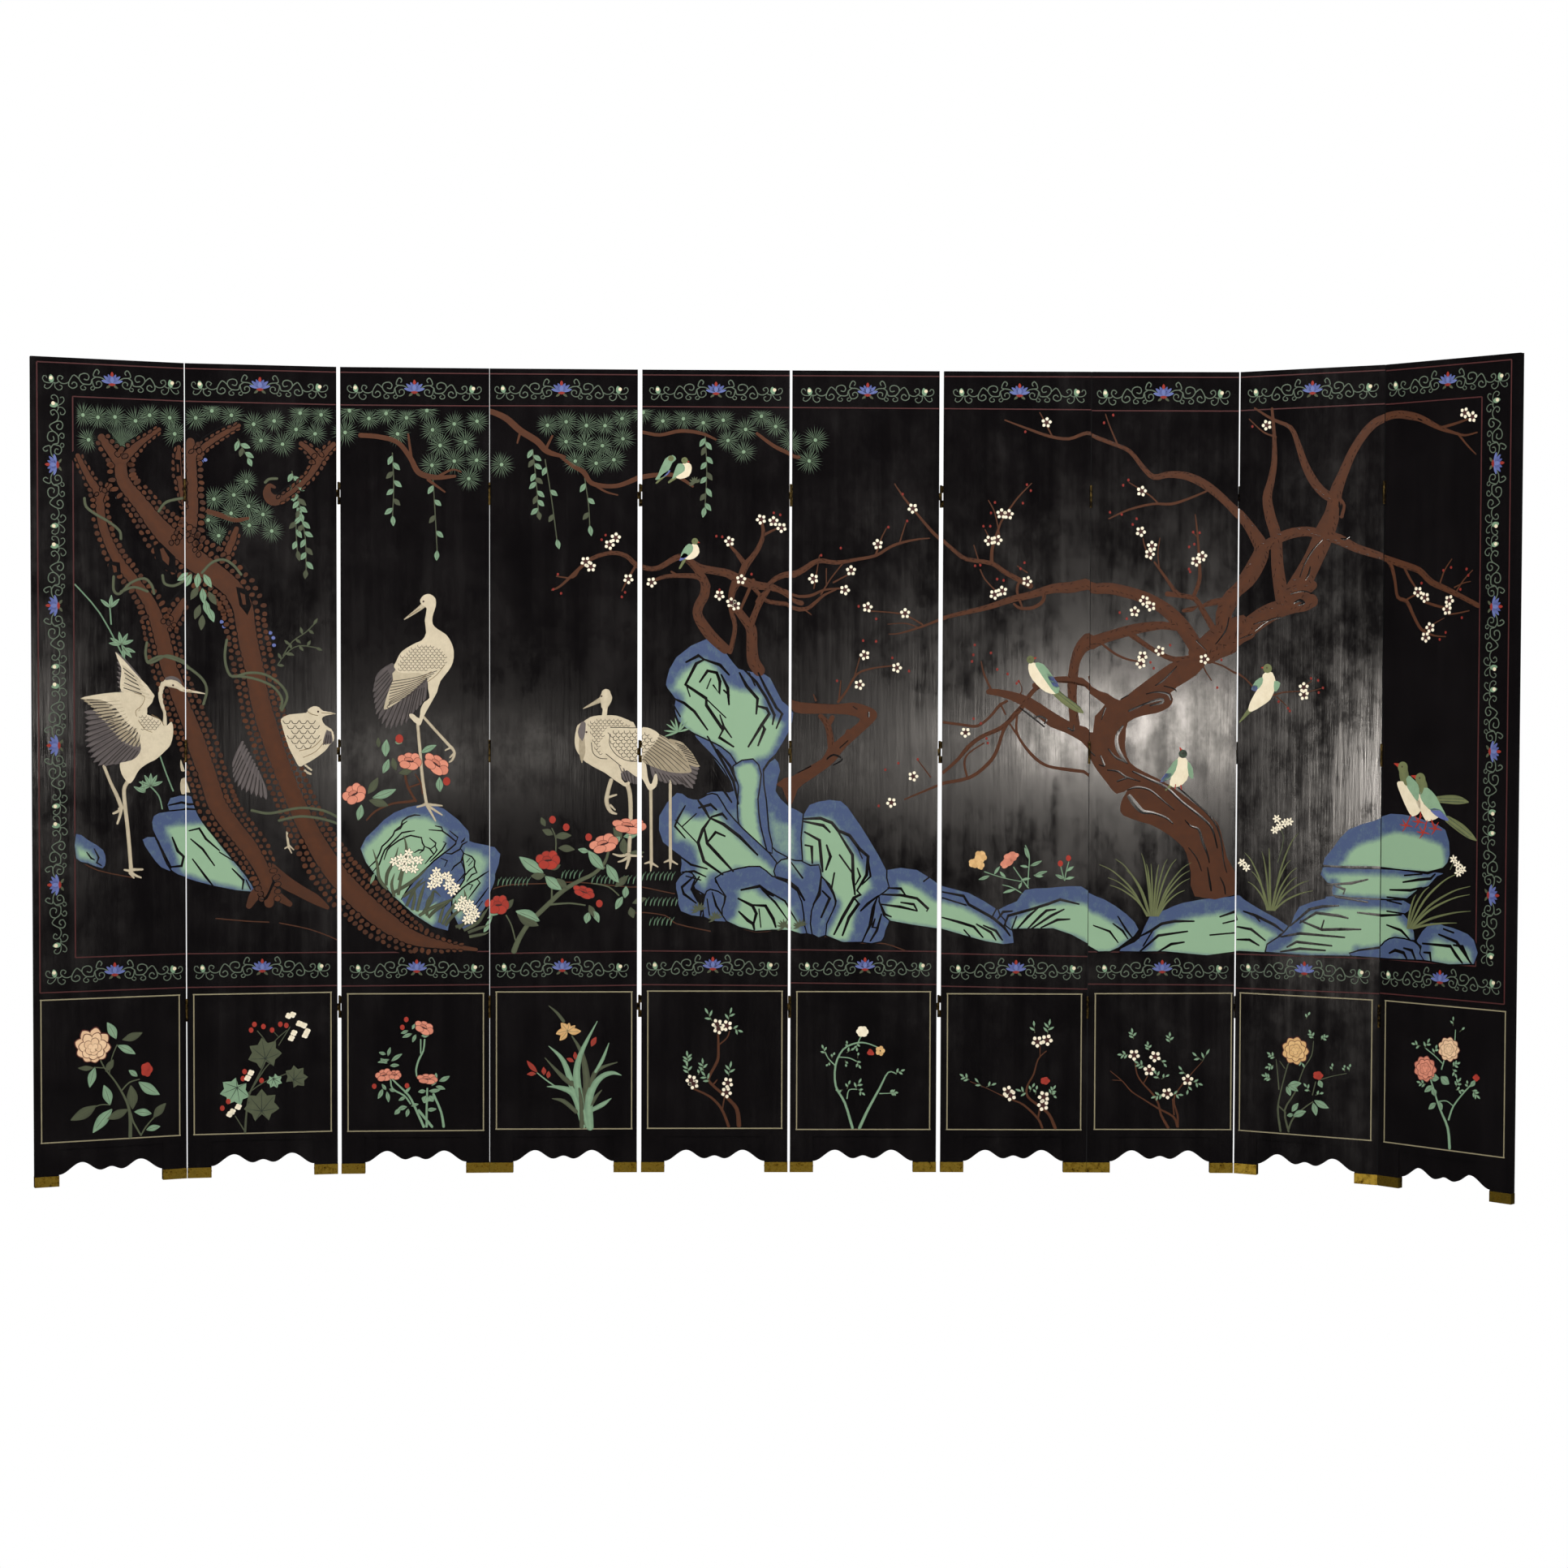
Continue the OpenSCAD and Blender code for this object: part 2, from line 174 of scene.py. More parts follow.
def graded(layer, colour, outline, tall=0.3, band=20, soft=18, strong=1.0, toward=(0, 0), gap=11):
    """A patch with shade 0 in a band inside its outline and shade strong beyond it, blended softly.

    The band is wider along the sides that face toward, and thin or gone along the sides that face away.
    """
    edge = ccw(smooth(outline, 2, closed=True))
    low, high = edge.min(0), edge.max(0)
    nxt = np.roll(edge, -1, 0)
    d = nxt - edge
    long = np.hypot(d[:, 0], d[:, 1])
    facing = (d[:, 1] * toward[0] - d[:, 0] * toward[1]) / long

    def from_rim(p):
        """Distance from one point to the outline, whether it is inside, and its shade."""
        t = np.clip(((p - edge) * d).sum(1) / long**2, 0, 1)
        away = np.hypot(*(edge + d * t[:, None] - p).T)
        near = away.min()
        crosses = (edge[:, 1] > p[1]) != (nxt[:, 1] > p[1])
        with np.errstate(divide="ignore", invalid="ignore"):
            where = edge[:, 0] + (p[1] - edge[:, 1]) / (nxt[:, 1] - edge[:, 1]) * d[:, 0]
        t = min(1, max(0, ((away - band * (1 + 2 * facing)) / soft).min()))
        return near, bool((crosses & (p[0] < where)).sum() % 2), strong * t * t * (3 - 2 * t)

    inner = []
    for row, z in enumerate(np.arange(low[1] + gap / 2, high[1], gap * 0.87)):
        for u in np.arange(low[0] + gap / 2 * (row % 2), high[0], gap):
            near, inside, _ = from_rim(np.array((u, z)))
            if inside and near > gap * 0.4:
                inner.append((u, z))
    verts, _, tris, _, _, _ = delaunay_2d_cdt(
        [Vector(p) for p in edge] + [Vector(p) for p in inner], [], [list(range(len(edge)))], 1, 1e-4
    )
    points = [(v[0], v[1], tall, from_rim(np.array(v))[2]) for v in verts]
    faces = []
    for a, b, c in tris:
        (ua, za), (ub, zb), (uc, zc) = verts[a], verts[b], verts[c]
        faces.append((a, b, c) if (ub - ua) * (zc - za) > (zb - za) * (uc - ua) else (a, c, b))
    skirt(points, faces)
    lay(layer, colour, points, faces)


def stroke(layer, colour, path, wide=6.0, tall=0.3, cuts=4, shade=0.5, rim=None, blunt=True, edge=0.8):
    """One stroke of a loaded brush: a ribbon along a path, highest in its middle.

    A point of the path may carry its own width as a third number. rim is the shade at the sides, and
    edge the part of the height that the sides have.
    """
    path = [(*p, wide)[:3] for p in path]
    line = smooth(path, cuts)
    way = np.gradient(line[:, :2], axis=0)
    way /= np.maximum(np.hypot(way[:, 0], way[:, 1]), 1e-9)[:, None]
    rows = [(u, z, w / 2, tu, tz) for (u, z, w), (tu, tz) in zip(line, way)]
    if blunt:
        caps = ((0.5, 0.04), (0.42, 0.55), (0.25, 0.87))
        u, z, w, tu, tz = rows[0]
        start = [(u - tu * w * 2 * far, z - tz * w * 2 * far, w * part, tu, tz) for far, part in caps]
        u, z, w, tu, tz = rows[-1]
        end = [(u + tu * w * 2 * far, z + tz * w * 2 * far, w * part, tu, tz) for far, part in caps[::-1]]
        rows = start + rows + end
    rim = shade if rim is None else rim
    points, faces = [], []
    for u, z, w, tu, tz in rows:
        for side, height, tone in ((-1, None, rim), (-1, edge, rim), (0, 1, shade), (1, edge, rim),
            (1, None, rim)):
            far = w * side + (SLOPE * side if height is None else 0)
            points.append((u + tz * far, z - tu * far, SUNK if height is None else tall * height, tone))
    for i in range(len(rows) - 1):
        for j in range(4):
            a = i * 5 + j
            faces.append((a, a + 1, a + 6, a + 5))
    lay(layer, colour, points, faces)


print("sheet is", SHEET_PITCH * (len(PANELS) - 1) + SHEET_PANEL, "mm long")


# %% [markdown]
# ## Lines and boxes
# Thin dark red lines frame the garden, and each panel has a cream-gold box low down for its single
# flower. On the screen they are straight cuts filled with one colour, all at nearly the same heights,
# though each board was ruled by itself, so a few are some millimetres off the next. They are straight
# strokes here, laid first so that everything else lies over them.

# %% Ruled lines
LINE_HEIGHTS = {  # panel: (upper outer, upper inner, lower inner, lower outer)
    number: (2422, 2325, 676, 575) for number in PANELS
} | {4: (2422, 2325, 664, 562), 5: (2422, 2324, 664, 562), 7: (2422, 2325, 670, 570),
8: (2422, 2324, 693, 593)}
LINE_HEIGHTS |= {9: (2422, 2324, 683, 578), 10: (2420, 2322, 683, 580)}
RULED, RULED_SIDE = 3.2, 3.6  # mm, width of the ruled lines, and of the upright ones at the two ends
LEFT_LINES, RIGHT_LINES = (18, 122), (423, 327)  # u on panel 1 and on panel 10, outer and inner
BOXES = {  # panel: (left, right, bottom, top) of the box line, from the panel's left edge
    1: (20, 431, 131, 553), 2: (20, 432, 131, 553), 3: (20, 434, 131, 553), 4: (20, 436, 131, 543),
    5: (20, 434, 131, 541), 6: (20, 432, 131, 553), 7: (20, 434, 131, 547), 8: (23, 444, 139, 571),
    9: (16, 431, 134, 558), 10: (20, 427, 134, 559),
}


def edge_of(number):
    """u of a panel's left edge on the sheet."""
    return SHEET_PITCH * (number - 1)


def ruled(colour, a, b, wide):
    """A straight ruled line."""
    stroke("lines", colour, [a, b], wide, tall=0.15, cuts=1, blunt=False)


for number in PANELS:
    left = edge_of(number)
    start, stop = left, left + SHEET_PANEL
    for outer, height in zip((1, 0, 0, 1), LINE_HEIGHTS[number]):
        a = start if number > 1 else LEFT_LINES[1 - outer]
        b = stop if number < 10 else left + RIGHT_LINES[1 - outer]
        ruled("line_red", (a, height), (b, height), RULED)
    x0, x1, z0, z1 = BOXES[number]
    x0, x1 = left + x0, left + x1
    corners = ((x0 - 3, z0), (x1 + 3, z0), (x1, z0), (x1, z1), (x1 + 3, z1), (x0 - 3, z1), (x0, z1), (x0, z0))
    for a, b in zip(corners[::2], corners[1::2]):
        ruled("line_gold", a, b, RULED)
for number, places in ((1, LEFT_LINES), (10, RIGHT_LINES)):
    for place, rows in zip(places, ((0, 3), (1, 2))):
        u = edge_of(number) + place
        ruled("line_red", (u, LINE_HEIGHTS[number][rows[1]]), (u, LINE_HEIGHTS[number][rows[0]]), RULED_SIDE)
print("lines and boxes:", len(sheet["lines"]), "strokes")

# %% [markdown]
# ## The scroll border
# Between the two red lines runs a border of curling stems with a blue lotus in each middle and cream
# buds between. The maker used one pattern for every unit, and turned it on its side down the two outer
# edges. One half unit is drawn here, from the lotus out to the bud, and is mirrored and turned for all.

# %% Scroll unit
# Each curl: width and points (sideways from the lotus, up from its middle), in mm.
CURLS = (
    (5.5, [(22, 2), (34, 8), (47, 9), (55, 12), (52, 24), (45, 31), (38, 25), (41, 18)]),
    (5.5, [(47, 9), (59, 1), (62, -11), (68, -14), (78, -14), (88, -11), (97, 1), (94, 13), (82, 18),
    (71, 15), (68, 6), (73, -1), (82, 1)]),
    (5, [(59, 1), (56, -14), (50, -22), (39, -22), (31, -15), (32, -6), (39, -3), (46, -7), (45, -13)]),
    (4, [(50, -22), (54, -29), (61, -29), (63, -23), (58, -20)]),
    (4.5, [(82, -14), (92, -21), (90, -29), (81, -30), (77, -25), (81, -21)]),
    (5.5, [(97, 1), (111, 12), (120, 4), (127, -11), (126, -22), (115, -27), (104, -21), (105, -12),
    (113, -9), (118, -14)]),
    (5, [(127, -9), (136, -14), (147, -14), (155, -9), (160, -2), (157, 7), (150, 8), (144, 3), (148, -2)]),
    (5, [(155, -9), (164, -14), (170, -14)]),
    (4.5, [(168, -12), (167, -26), (157, -34), (148, -30), (147, -22), (153, -20)]),
    (4.5, [(174, -10), (182, -14), (196, -12), (203, -4), (201, 5), (194, 6), (191, 1)]),
    (4.5, [(172, -12), (180, -25), (190, -31), (198, -27), (196, -20)]),
)
# Each petal of the lotus: its lean in degrees, length and width.
LOTUS_PETALS = ((-78, 32, 9), (-50, 32, 9), (-24, 28, 9), (78, 32, 9), (50, 32, 9), (24, 28, 9), (0, 26, 10))


def almond(length, wide, fat=0.45):
    """The outline of a petal or leaf lying along +x from (0, 0), with its widest place at fat."""
    beyond = fat + 0.62 * (1 - fat)
    side = [(length * fat * 0.4, wide * 0.36), (length * fat, wide / 2), (length * beyond, wide * 0.33)]
    return [(0, 0), *side, (length, 0), *[(x, -y) for x, y in reversed(side)]]


ROUND8 = [(math.cos(math.pi * i / 4), math.sin(math.pi * i / 4)) for i in range(8)]


def disc(u, z, wide, high=None):
    """The outline of a round or oval spot."""
    return [(u + wide * c, z + (high or wide) * s) for c, s in ROUND8]


def turned(points, angle, at=(0, 0), mirror=False):
    """Points turned by an angle in degrees and moved; a third number, a width, stays."""
    c, s = math.cos(math.radians(angle)), math.sin(math.radians(angle))
    out = []
    for x, y, *more in points:
        x = -x if mirror else x
        out.append((at[0] + x * c - y * s, at[1] + x * s + y * c, *more))
    return out


def scroll_unit(at, turn):
    """One lotus with its curls and buds; turn 0 stands upright and 90 lies on its left side."""
    for mirror in (False, True):
        for wide, curl in CURLS:
            line = turned(curl, turn, at, mirror)
            stroke("border", "scroll_green", line, wide * 0.56, tall=0.2, cuts=3, shade=0.7, rim=0.2)
        bud, foot = turned([(179, 1), (176, -13)], turn, at, mirror)
        patch("border", "leaf_green", turned(almond(24, 15), turn + 100, foot), 0.22, 2)
        patch("border", "petal_cream", disc(*bud, 5.4), 0.3, 2, 0.4)
    for side in (-1, 1):
        foot = turned([(5 * side, -14)], turn, at)[0]
        lean = -35 * side + (180 if side < 0 else 0)
        patch("border", "leaf_olive", turned(almond(15, 7), lean + turn, foot), 0.2, 2, 0.6)
    for angle, length, wide in LOTUS_PETALS:
        foot = turned([(0, -7)], turn, at)[0]
        petal = turned(almond(length, wide, 0.55), 90 - angle + turn, foot)
        patch("border", "lotus_blue", petal, 0.25, 2, 0.25 + abs(angle) / 160)
    patch("border", "lotus_blue", turned(almond(20, 13, 0.5), 90 + turn, turned([(0, -8)], turn, at)[0]),
        0.3, 2, 0.9)
    patch("border", "petal_red", turned(almond(15, 9), 90 + turn, turned([(0, 11)], turn, at)[0]), 0.32, 2,
        0.4)
    patch("border", "petal_red", turned([(-11, -11), (0, -7), (11, -11), (0, -16)], turn, at), 0.32, 2, 0.2)


TOP_LOTUS = (238, 223, 225, 219, 226, 231, 232, 220, 228, 212)  # mm from each panel's left edge
LOW_LOTUS = (238, 225, 230, 222, 220, 230, 231, 229, 219, 207)
LOW_BAND = (632, 632, 632, 619, 619, 632, 625, 651, 638, 638)  # heights of its middle
for number in PANELS:
    left = edge_of(number)
    scroll_unit((left + TOP_LOTUS[number - 1], 2376), 0)
    scroll_unit((left + LOW_LOTUS[number - 1], LOW_BAND[number - 1]), 0)
for number, place, heights in ((1, 66, (2124, 1712, 1302, 892)), (10, 377, (2131, 1722, 1306, 892))):
    for height in heights:
        scroll_unit((edge_of(number) + place, height), 90 if number == 1 else -90)
print("border:", len(sheet["border"]), "strokes and patches")

# %% [markdown]
# ## Rocks and ground
# Garden rocks stand along the foot of the picture: mint green in the middle of each face and blue
# toward its edges, brushed wet so that the two run together, with jagged black cracks where the
# lacquer was left uncut. Each lobe of a rock is one graded patch, and the cracks are lacquer strokes.

# %% Rocks
heights = []  # mm, of each lobe: a later lobe lies over the one before


def lobe(outline, depth=42, strong=1.0, lean=(0, -0.5), soft=32):
    """One lobe of a rock: blue along the sides away from lean and green inside, with a black line round it."""
    heights.append(0.24 + 0.014 * (len(heights) % 14))
    tall = heights[-1]
    size = math.hypot(*lean) or 1
    graded("rocks", "rock_colour", outline, tall, depth * 0.26, soft, strong,
        (-lean[0] / size, -lean[1] / size))
    ring = smooth(outline, 2, closed=True)
    stroke("rocks", "lacquer", [(u, z) for u, z in [*ring, ring[0]]], 4.5, tall + 0.006, 1, blunt=False,
        edge=1.0)


def cracks(*lines, wide=5):
    """Jagged black cracks: thin strokes of bare lacquer across the colour."""
    for line in lines:
        widths = [wide * (0.8 if i in (0, len(line) - 1) else 1.45) for i in range(len(line))]
        stroke("rocks", "lacquer", [(*p, w) for p, w in zip(line, widths)], tall=0.5, cuts=1, edge=0.95)


def ground(*lines):
    """Thin brown lines where the earth begins."""
    for line in lines:
        stroke("rocks", "bark_brown", line, 3, tall=0.15, cuts=3)


# Left: two small rocks behind the first pine.
lobe([(124, 1044), (165, 1022), (206, 994), (215, 959), (203, 936), (160, 952), (124, 968)], 26, 1.2,
    (-0.7, -0.3))
cracks([(157, 986), (170, 968), (179, 964)], [(179, 996), (192, 970), (186, 955), (200, 946)], wide=4)
lobe([(405, 1145), (470, 1152), (512, 1128), (512, 1108), (460, 1112), (402, 1105)], 60, 0.5)
cracks([(402, 1122), (440, 1130), (470, 1124), (505, 1126)])
lobe([(320, 1022), (358, 1030), (372, 1008), (388, 965), (415, 925), (378, 935), (345, 975)], 60, 0.4)
lobe([(355, 1092), (400, 1105), (512, 1108), (545, 1072), (590, 1000), (620, 960), (650, 900), (662, 858),
    (540, 878), (450, 905), (410, 925), (385, 970), (372, 1010), (352, 1050)], 50, 1.3, (0.5, -0.5))
cracks([(358, 1034), (388, 972), (408, 936)], [(412, 1026), (428, 985), (446, 968), (440, 940), (410, 938)],
    wide=6)
cracks([(470, 1045), (500, 1052), (520, 1020), (560, 985)], [(475, 1020), (510, 990), (545, 940)],
    [(480, 960), (520, 905), (540, 880)], [(560, 980), (600, 955)], [(598, 930), (632, 895), (628, 868)],
    [(640, 895), (652, 868)])
ground([(126, 968), (190, 932), (295, 908)], [(415, 925), (540, 878), (662, 858)],
    [(739, 765), (830, 745), (911, 714)], [(549, 781), (640, 772), (707, 768)])

# Middle left: the rock behind the second foot, with a smaller one at its right.
lobe([(1288, 1014), (1330, 1014), (1376, 1000), (1420, 962), (1404, 900), (1400, 870), (1350, 790),
    (1300, 745), (1262, 800), (1250, 900)], 42, 0.9, (-0.5, 0.1))
lobe([(981, 994), (1028, 1057), (1085, 1105), (1168, 1130), (1238, 1117), (1314, 1048), (1292, 1014),
    (1296, 960), (1300, 900), (1262, 840), (1250, 743), (1143, 794), (1035, 902)], 52, 1.25, (-0.25, -0.15))
patch("rocks", "rock_colour", [(1311, 1051), (1299, 1015), (1277, 1006), (1257, 992), (1232, 974),
    (1207, 956), (1186, 937), (1163, 915), (1144, 890), (1123, 861), (1109, 838), (1136, 811), (1173, 807),
    (1207, 828), (1232, 848), (1257, 878), (1280, 894), (1302, 919), (1300, 932), (1291, 955), (1299, 980),
    (1303, 998), (1315, 1015)], 0.42, 2, 0.05)
cracks([(1009, 938), (1030, 957), (1042, 982), (1049, 1001), (1065, 1015), (1082, 1034), (1088, 1048),
    (1107, 1063), (1111, 1078), (1128, 1090), (1148, 1096), (1165, 1095)],
    [(1088, 1046), (1105, 1055), (1111, 1067), (1125, 1077)],
    [(1021, 924), (1040, 946), (1049, 971), (1057, 990), (1078, 1011), (1096, 1028), (1109, 1042),
    (1130, 1046), (1148, 1048)], [(1055, 961), (1065, 990), (1075, 1001), (1100, 1019), (1123, 1030),
    (1136, 1034), (1169, 1027), (1172, 1011), (1178, 1001), (1175, 990), (1163, 980)],
    [(1178, 1001), (1194, 994), (1207, 976), (1198, 969), (1180, 948)],
    [(1148, 982), (1161, 990), (1175, 990)], [(1194, 1026), (1213, 1011), (1211, 1003), (1198, 994)],
    [(1207, 976), (1216, 990), (1211, 1001)], [(1192, 1051), (1232, 1048), (1252, 1034), (1275, 1015),
    (1273, 1008), (1257, 994), (1232, 976), (1207, 957), (1190, 940), (1165, 917), (1144, 894), (1123, 865),
    (1107, 840)], [(1211, 1063), (1230, 1059), (1236, 1044)], [(1255, 1048), (1280, 1028), (1275, 1015)],
    [(1236, 1015), (1244, 1011), (1232, 990), (1211, 969), (1196, 955)],
    [(1244, 980), (1261, 978), (1286, 992), (1294, 1007), (1309, 1015)],
    [(1290, 992), (1298, 980), (1290, 955), (1269, 940), (1261, 928)],
    [(1298, 980), (1323, 969), (1332, 957), (1330, 940), (1338, 921), (1323, 915), (1307, 894)],
    [(1290, 955), (1300, 932), (1302, 919), (1278, 892)], [(1330, 940), (1315, 928), (1294, 903)],
    [(1317, 965), (1307, 953)], [(1325, 957), (1313, 942)], [(1228, 965), (1248, 957), (1240, 940)],
    [(1373, 921), (1357, 915), (1340, 903), (1315, 890), (1294, 874), (1273, 853), (1257, 836),
    (1232, 811)], [(1313, 886), (1325, 884), (1317, 869)], [(1338, 903), (1348, 890), (1332, 869),
    (1313, 844)], [(1334, 824), (1357, 853), (1373, 871)], [(1340, 813), (1355, 834)], wide=3.4)
ground([(1387, 854), (1450, 868), (1560, 872), (1650, 876), (1760, 866), (1835, 860)])

# The tall scholar's rock. A blue bed first, then the back lobes, so that the front ones lie over them.
patch("rocks", "rock_colour", [(1975, 905), (1995, 1000), (2060, 1125), (2100, 1130), (2140, 1095),
    (2130, 1165), (2060, 1262), (2015, 1320), (2070, 1300), (2130, 1262), (2200, 1215), (2228, 1190),
    (2262, 1140), (2300, 1100), (2345, 1090), (2392, 1050), (2440, 980), (2440, 800), (2420, 740),
    (2310, 745), (2200, 735), (2115, 765), (2080, 850), (2030, 835), (1990, 880)], 0.2, 1, 0.1)
heights.clear()
lobe([(2042, 1142), (2092, 1150), (2130, 1150), (2100, 1215), (2060, 1262), (2012, 1312), (2010, 1340),
    (2050, 1330), (2110, 1290), (2142, 1230), (2160, 1160), (2170, 1090), (2172, 1020), (2130, 1060),
    (2090, 1110)], 60, 0.55)
cracks([(2050, 1315), (2090, 1250), (2130, 1180), (2146, 1110)], [(2062, 1225), (2098, 1155), (2125, 1115)],
    [(2080, 1275), (2120, 1225), (2138, 1180)], wide=6)
lobe([(2262, 1150), (2276, 1212), (2258, 1250), (2225, 1215), (2210, 1150), (2228, 1000), (2300, 952),
    (2345, 952), (2348, 1096), (2300, 1110)], 55, 0.5)
lobe([(1922, 1487), (1952, 1556), (2048, 1613), (2111, 1565), (2146, 1522), (2206, 1510), (2244, 1494),
    (2280, 1425), (2318, 1400), (2300, 1330), (2262, 1262), (2222, 1215), (2232, 1120), (2240, 1030),
    (2250, 960), (2175, 1000), (2165, 1060), (2160, 1180), (2120, 1262), (2060, 1300), (2005, 1325),
    (1960, 1360), (1946, 1405), (1950, 1428), (1925, 1460)], 62, 1.15, (-0.1, -0.5))
lobe([(2128, 1225), (2190, 1247), (2216, 1200), (2206, 1125), (2214, 1045), (2232, 975), (2236, 935),
    (2180, 985), (2150, 1035), (2142, 1105), (2146, 1165)], 8, 1.2, soft=16)
cracks([(1950, 1428), (1978, 1416), (2010, 1390), (2050, 1335)], [(1942, 1415), (1966, 1375)], wide=6)
cracks([(1984, 1540), (2022, 1560), (2040, 1548)], [(2040, 1548), (2015, 1536), (1982, 1472), (2046, 1430),
    (2046, 1410), (2098, 1335), (2086, 1312), (2130, 1284)], [(2040, 1548), (2088, 1532), (2116, 1502)],
    [(2026, 1480), (2050, 1514), (2078, 1508), (2088, 1482), (2086, 1445), (2068, 1470)],
    [(2092, 1502), (2112, 1462), (2116, 1412)], [(2100, 1455), (2116, 1440)], wide=7)
cracks([(1984, 1472), (1996, 1436)], [(2050, 1425), (2106, 1372)],
    [(2088, 1380), (2100, 1345), (2124, 1312)], [(2060, 1490), (2048, 1460)])
cracks([(2148, 1508), (2170, 1468), (2204, 1430), (2200, 1384)],
    [(2202, 1408), (2232, 1400), (2240, 1384), (2218, 1352), (2176, 1284)],
    [(2218, 1352), (2226, 1338), (2206, 1288)], wide=7)
cracks([(2160, 1520), (2200, 1480), (2232, 1430), (2256, 1380), (2250, 1352)],
    [(2206, 1508), (2230, 1460), (2262, 1402), (2280, 1384), (2262, 1340)], [(2178, 1508), (2196, 1470)],
    wide=6)
lobe([(1900, 1073), (1955, 1145), (1990, 1130), (2022, 1124), (2050, 1138), (2080, 1138), (2110, 1090),
    (2160, 1035), (2215, 985), (2262, 935), (2262, 885), (2140, 905), (2075, 884), (2088, 860), (2106, 828),
    (2060, 850), (2048, 830), (1985, 872), (1966, 905), (1968, 950), (1912, 992)], 60, 1.1, (0.35, -0.35))
cracks([(2022, 1120), (2040, 1096), (2056, 1068)], [(2024, 1098), (2060, 1108), (2078, 1092)],
    [(2062, 1070), (2096, 1080), (2110, 1064)], [(2056, 1068), (2100, 1048), (2150, 1010), (2205, 955)],
    [(2060, 1066), (2036, 1032), (2022, 992), (2040, 935), (2098, 895)],
    [(2040, 1040), (2050, 990), (2086, 952), (2130, 905)], [(2050, 992), (2076, 1024), (2104, 1012)], wide=7)
cracks([(1982, 1104), (1960, 1066), (1950, 1042), (1982, 1006)], [(1952, 1060), (2020, 990)],
    [(1974, 1042), (2016, 1080)])
cracks([(1966, 950), (2000, 925), (2050, 912)], [(1972, 902), (2010, 905), (2046, 888)],
    [(1985, 890), (2030, 878)])
lobe([(1952, 870), (1985, 905), (2015, 885), (2000, 850), (2030, 800), (2035, 765), (1968, 782),
    (1958, 830)], 60, 0.4)
cracks([(2010, 890), (1972, 856), (1978, 836), (2016, 808)], [(2026, 888), (2006, 860), (2034, 800),
    (2030, 770)], wide=6)
lobe([(2042, 828), (2060, 850), (2104, 830), (2098, 790), (2110, 750), (2040, 765)], 60, 0.45)
cracks([(2066, 840), (2078, 800), (2098, 770)], [(2050, 820), (2058, 768)], wide=5)
lobe([(2074, 884), (2140, 912), (2212, 920), (2250, 890), (2300, 880), (2330, 868), (2352, 830),
    (2362, 790), (2360, 730), (2308, 733), (2200, 722), (2110, 752), (2096, 790), (2108, 828)], 70, 1.15,
    (0, -0.5))
cracks([(2155, 848), (2212, 860), (2240, 838), (2254, 830)], [(2146, 822), (2190, 800), (2202, 776),
    (2192, 740)], [(2192, 802), (2230, 800), (2254, 760), (2262, 735)],
    [(2148, 782), (2176, 755), (2192, 745), (2196, 728)], wide=7)
cracks([(2218, 850), (2260, 810), (2300, 760)], [(2228, 850), (2290, 815), (2330, 765)],
    [(2210, 790), (2216, 735)])
lobe([(2345, 952), (2396, 940), (2406, 906), (2400, 870), (2380, 810), (2372, 760), (2420, 724),
    (2360, 730), (2350, 790), (2330, 860), (2262, 885), (2262, 925), (2300, 950)], 70, 0.7, (-0.4, 0.4))
lobe([(2404, 905), (2430, 870), (2448, 830), (2440, 800), (2418, 725), (2376, 728), (2374, 800),
    (2400, 865)], 70, 0.4)
cracks([(2262, 888), (2300, 882), (2330, 868), (2352, 832)], [(2304, 948), (2346, 900)],
    [(2404, 905), (2398, 850), (2380, 820)], [(2408, 860), (2430, 838), (2404, 780)], wide=7)
lobe([(2348, 1096), (2392, 1134), (2464, 1136), (2505, 1090), (2552, 1020), (2606, 925), (2614, 870),
    (2582, 842), (2562, 810), (2530, 704), (2418, 724), (2440, 800), (2450, 830), (2430, 880), (2404, 905),
    (2396, 940), (2346, 950)], 66, 1.3, (-0.3, -0.3))
cracks([(2350, 1080), (2400, 1082), (2436, 1068), (2456, 1044), (2490, 1030), (2520, 990), (2548, 966),
    (2544, 910), (2514, 862)], [(2350, 1072), (2410, 1060), (2430, 1040)],
    [(2352, 1040), (2398, 1015), (2404, 952), (2408, 920)], [(2354, 1000), (2374, 996), (2376, 945)],
    [(2420, 1000), (2432, 965), (2418, 925)], [(2456, 1040), (2500, 970), (2502, 900), (2508, 850)],
    [(2460, 970), (2500, 915)], [(2444, 915), (2436, 870)], [(2514, 862), (2525, 850), (2505, 840),
    (2470, 780), (2444, 728)], [(2505, 840), (2520, 822), (2490, 780), (2470, 725)], wide=7)
cracks([(2512, 1000), (2530, 960)], [(2548, 960), (2556, 905), (2530, 880)],
    [(2515, 930), (2524, 905), (2510, 880)])
lobe([(2582, 846), (2592, 800), (2618, 782), (2604, 740), (2590, 706), (2532, 704), (2560, 760),
    (2570, 820)], 60, 0.45)
cracks([(2580, 846), (2548, 822), (2526, 800)], [(2582, 830), (2600, 790), (2620, 782)],
    [(2590, 790), (2576, 740), (2556, 708)], [(2570, 775), (2562, 750), (2580, 748)], wide=6)
ground([(1830, 782), (1920, 770), (1955, 745), (2060, 722)], [(2110, 752), (2200, 720), (2310, 733),
    (2416, 722), (2530, 702), (2600, 700), (2665, 678)], [(1830, 862), (1900, 846), (1950, 836)])

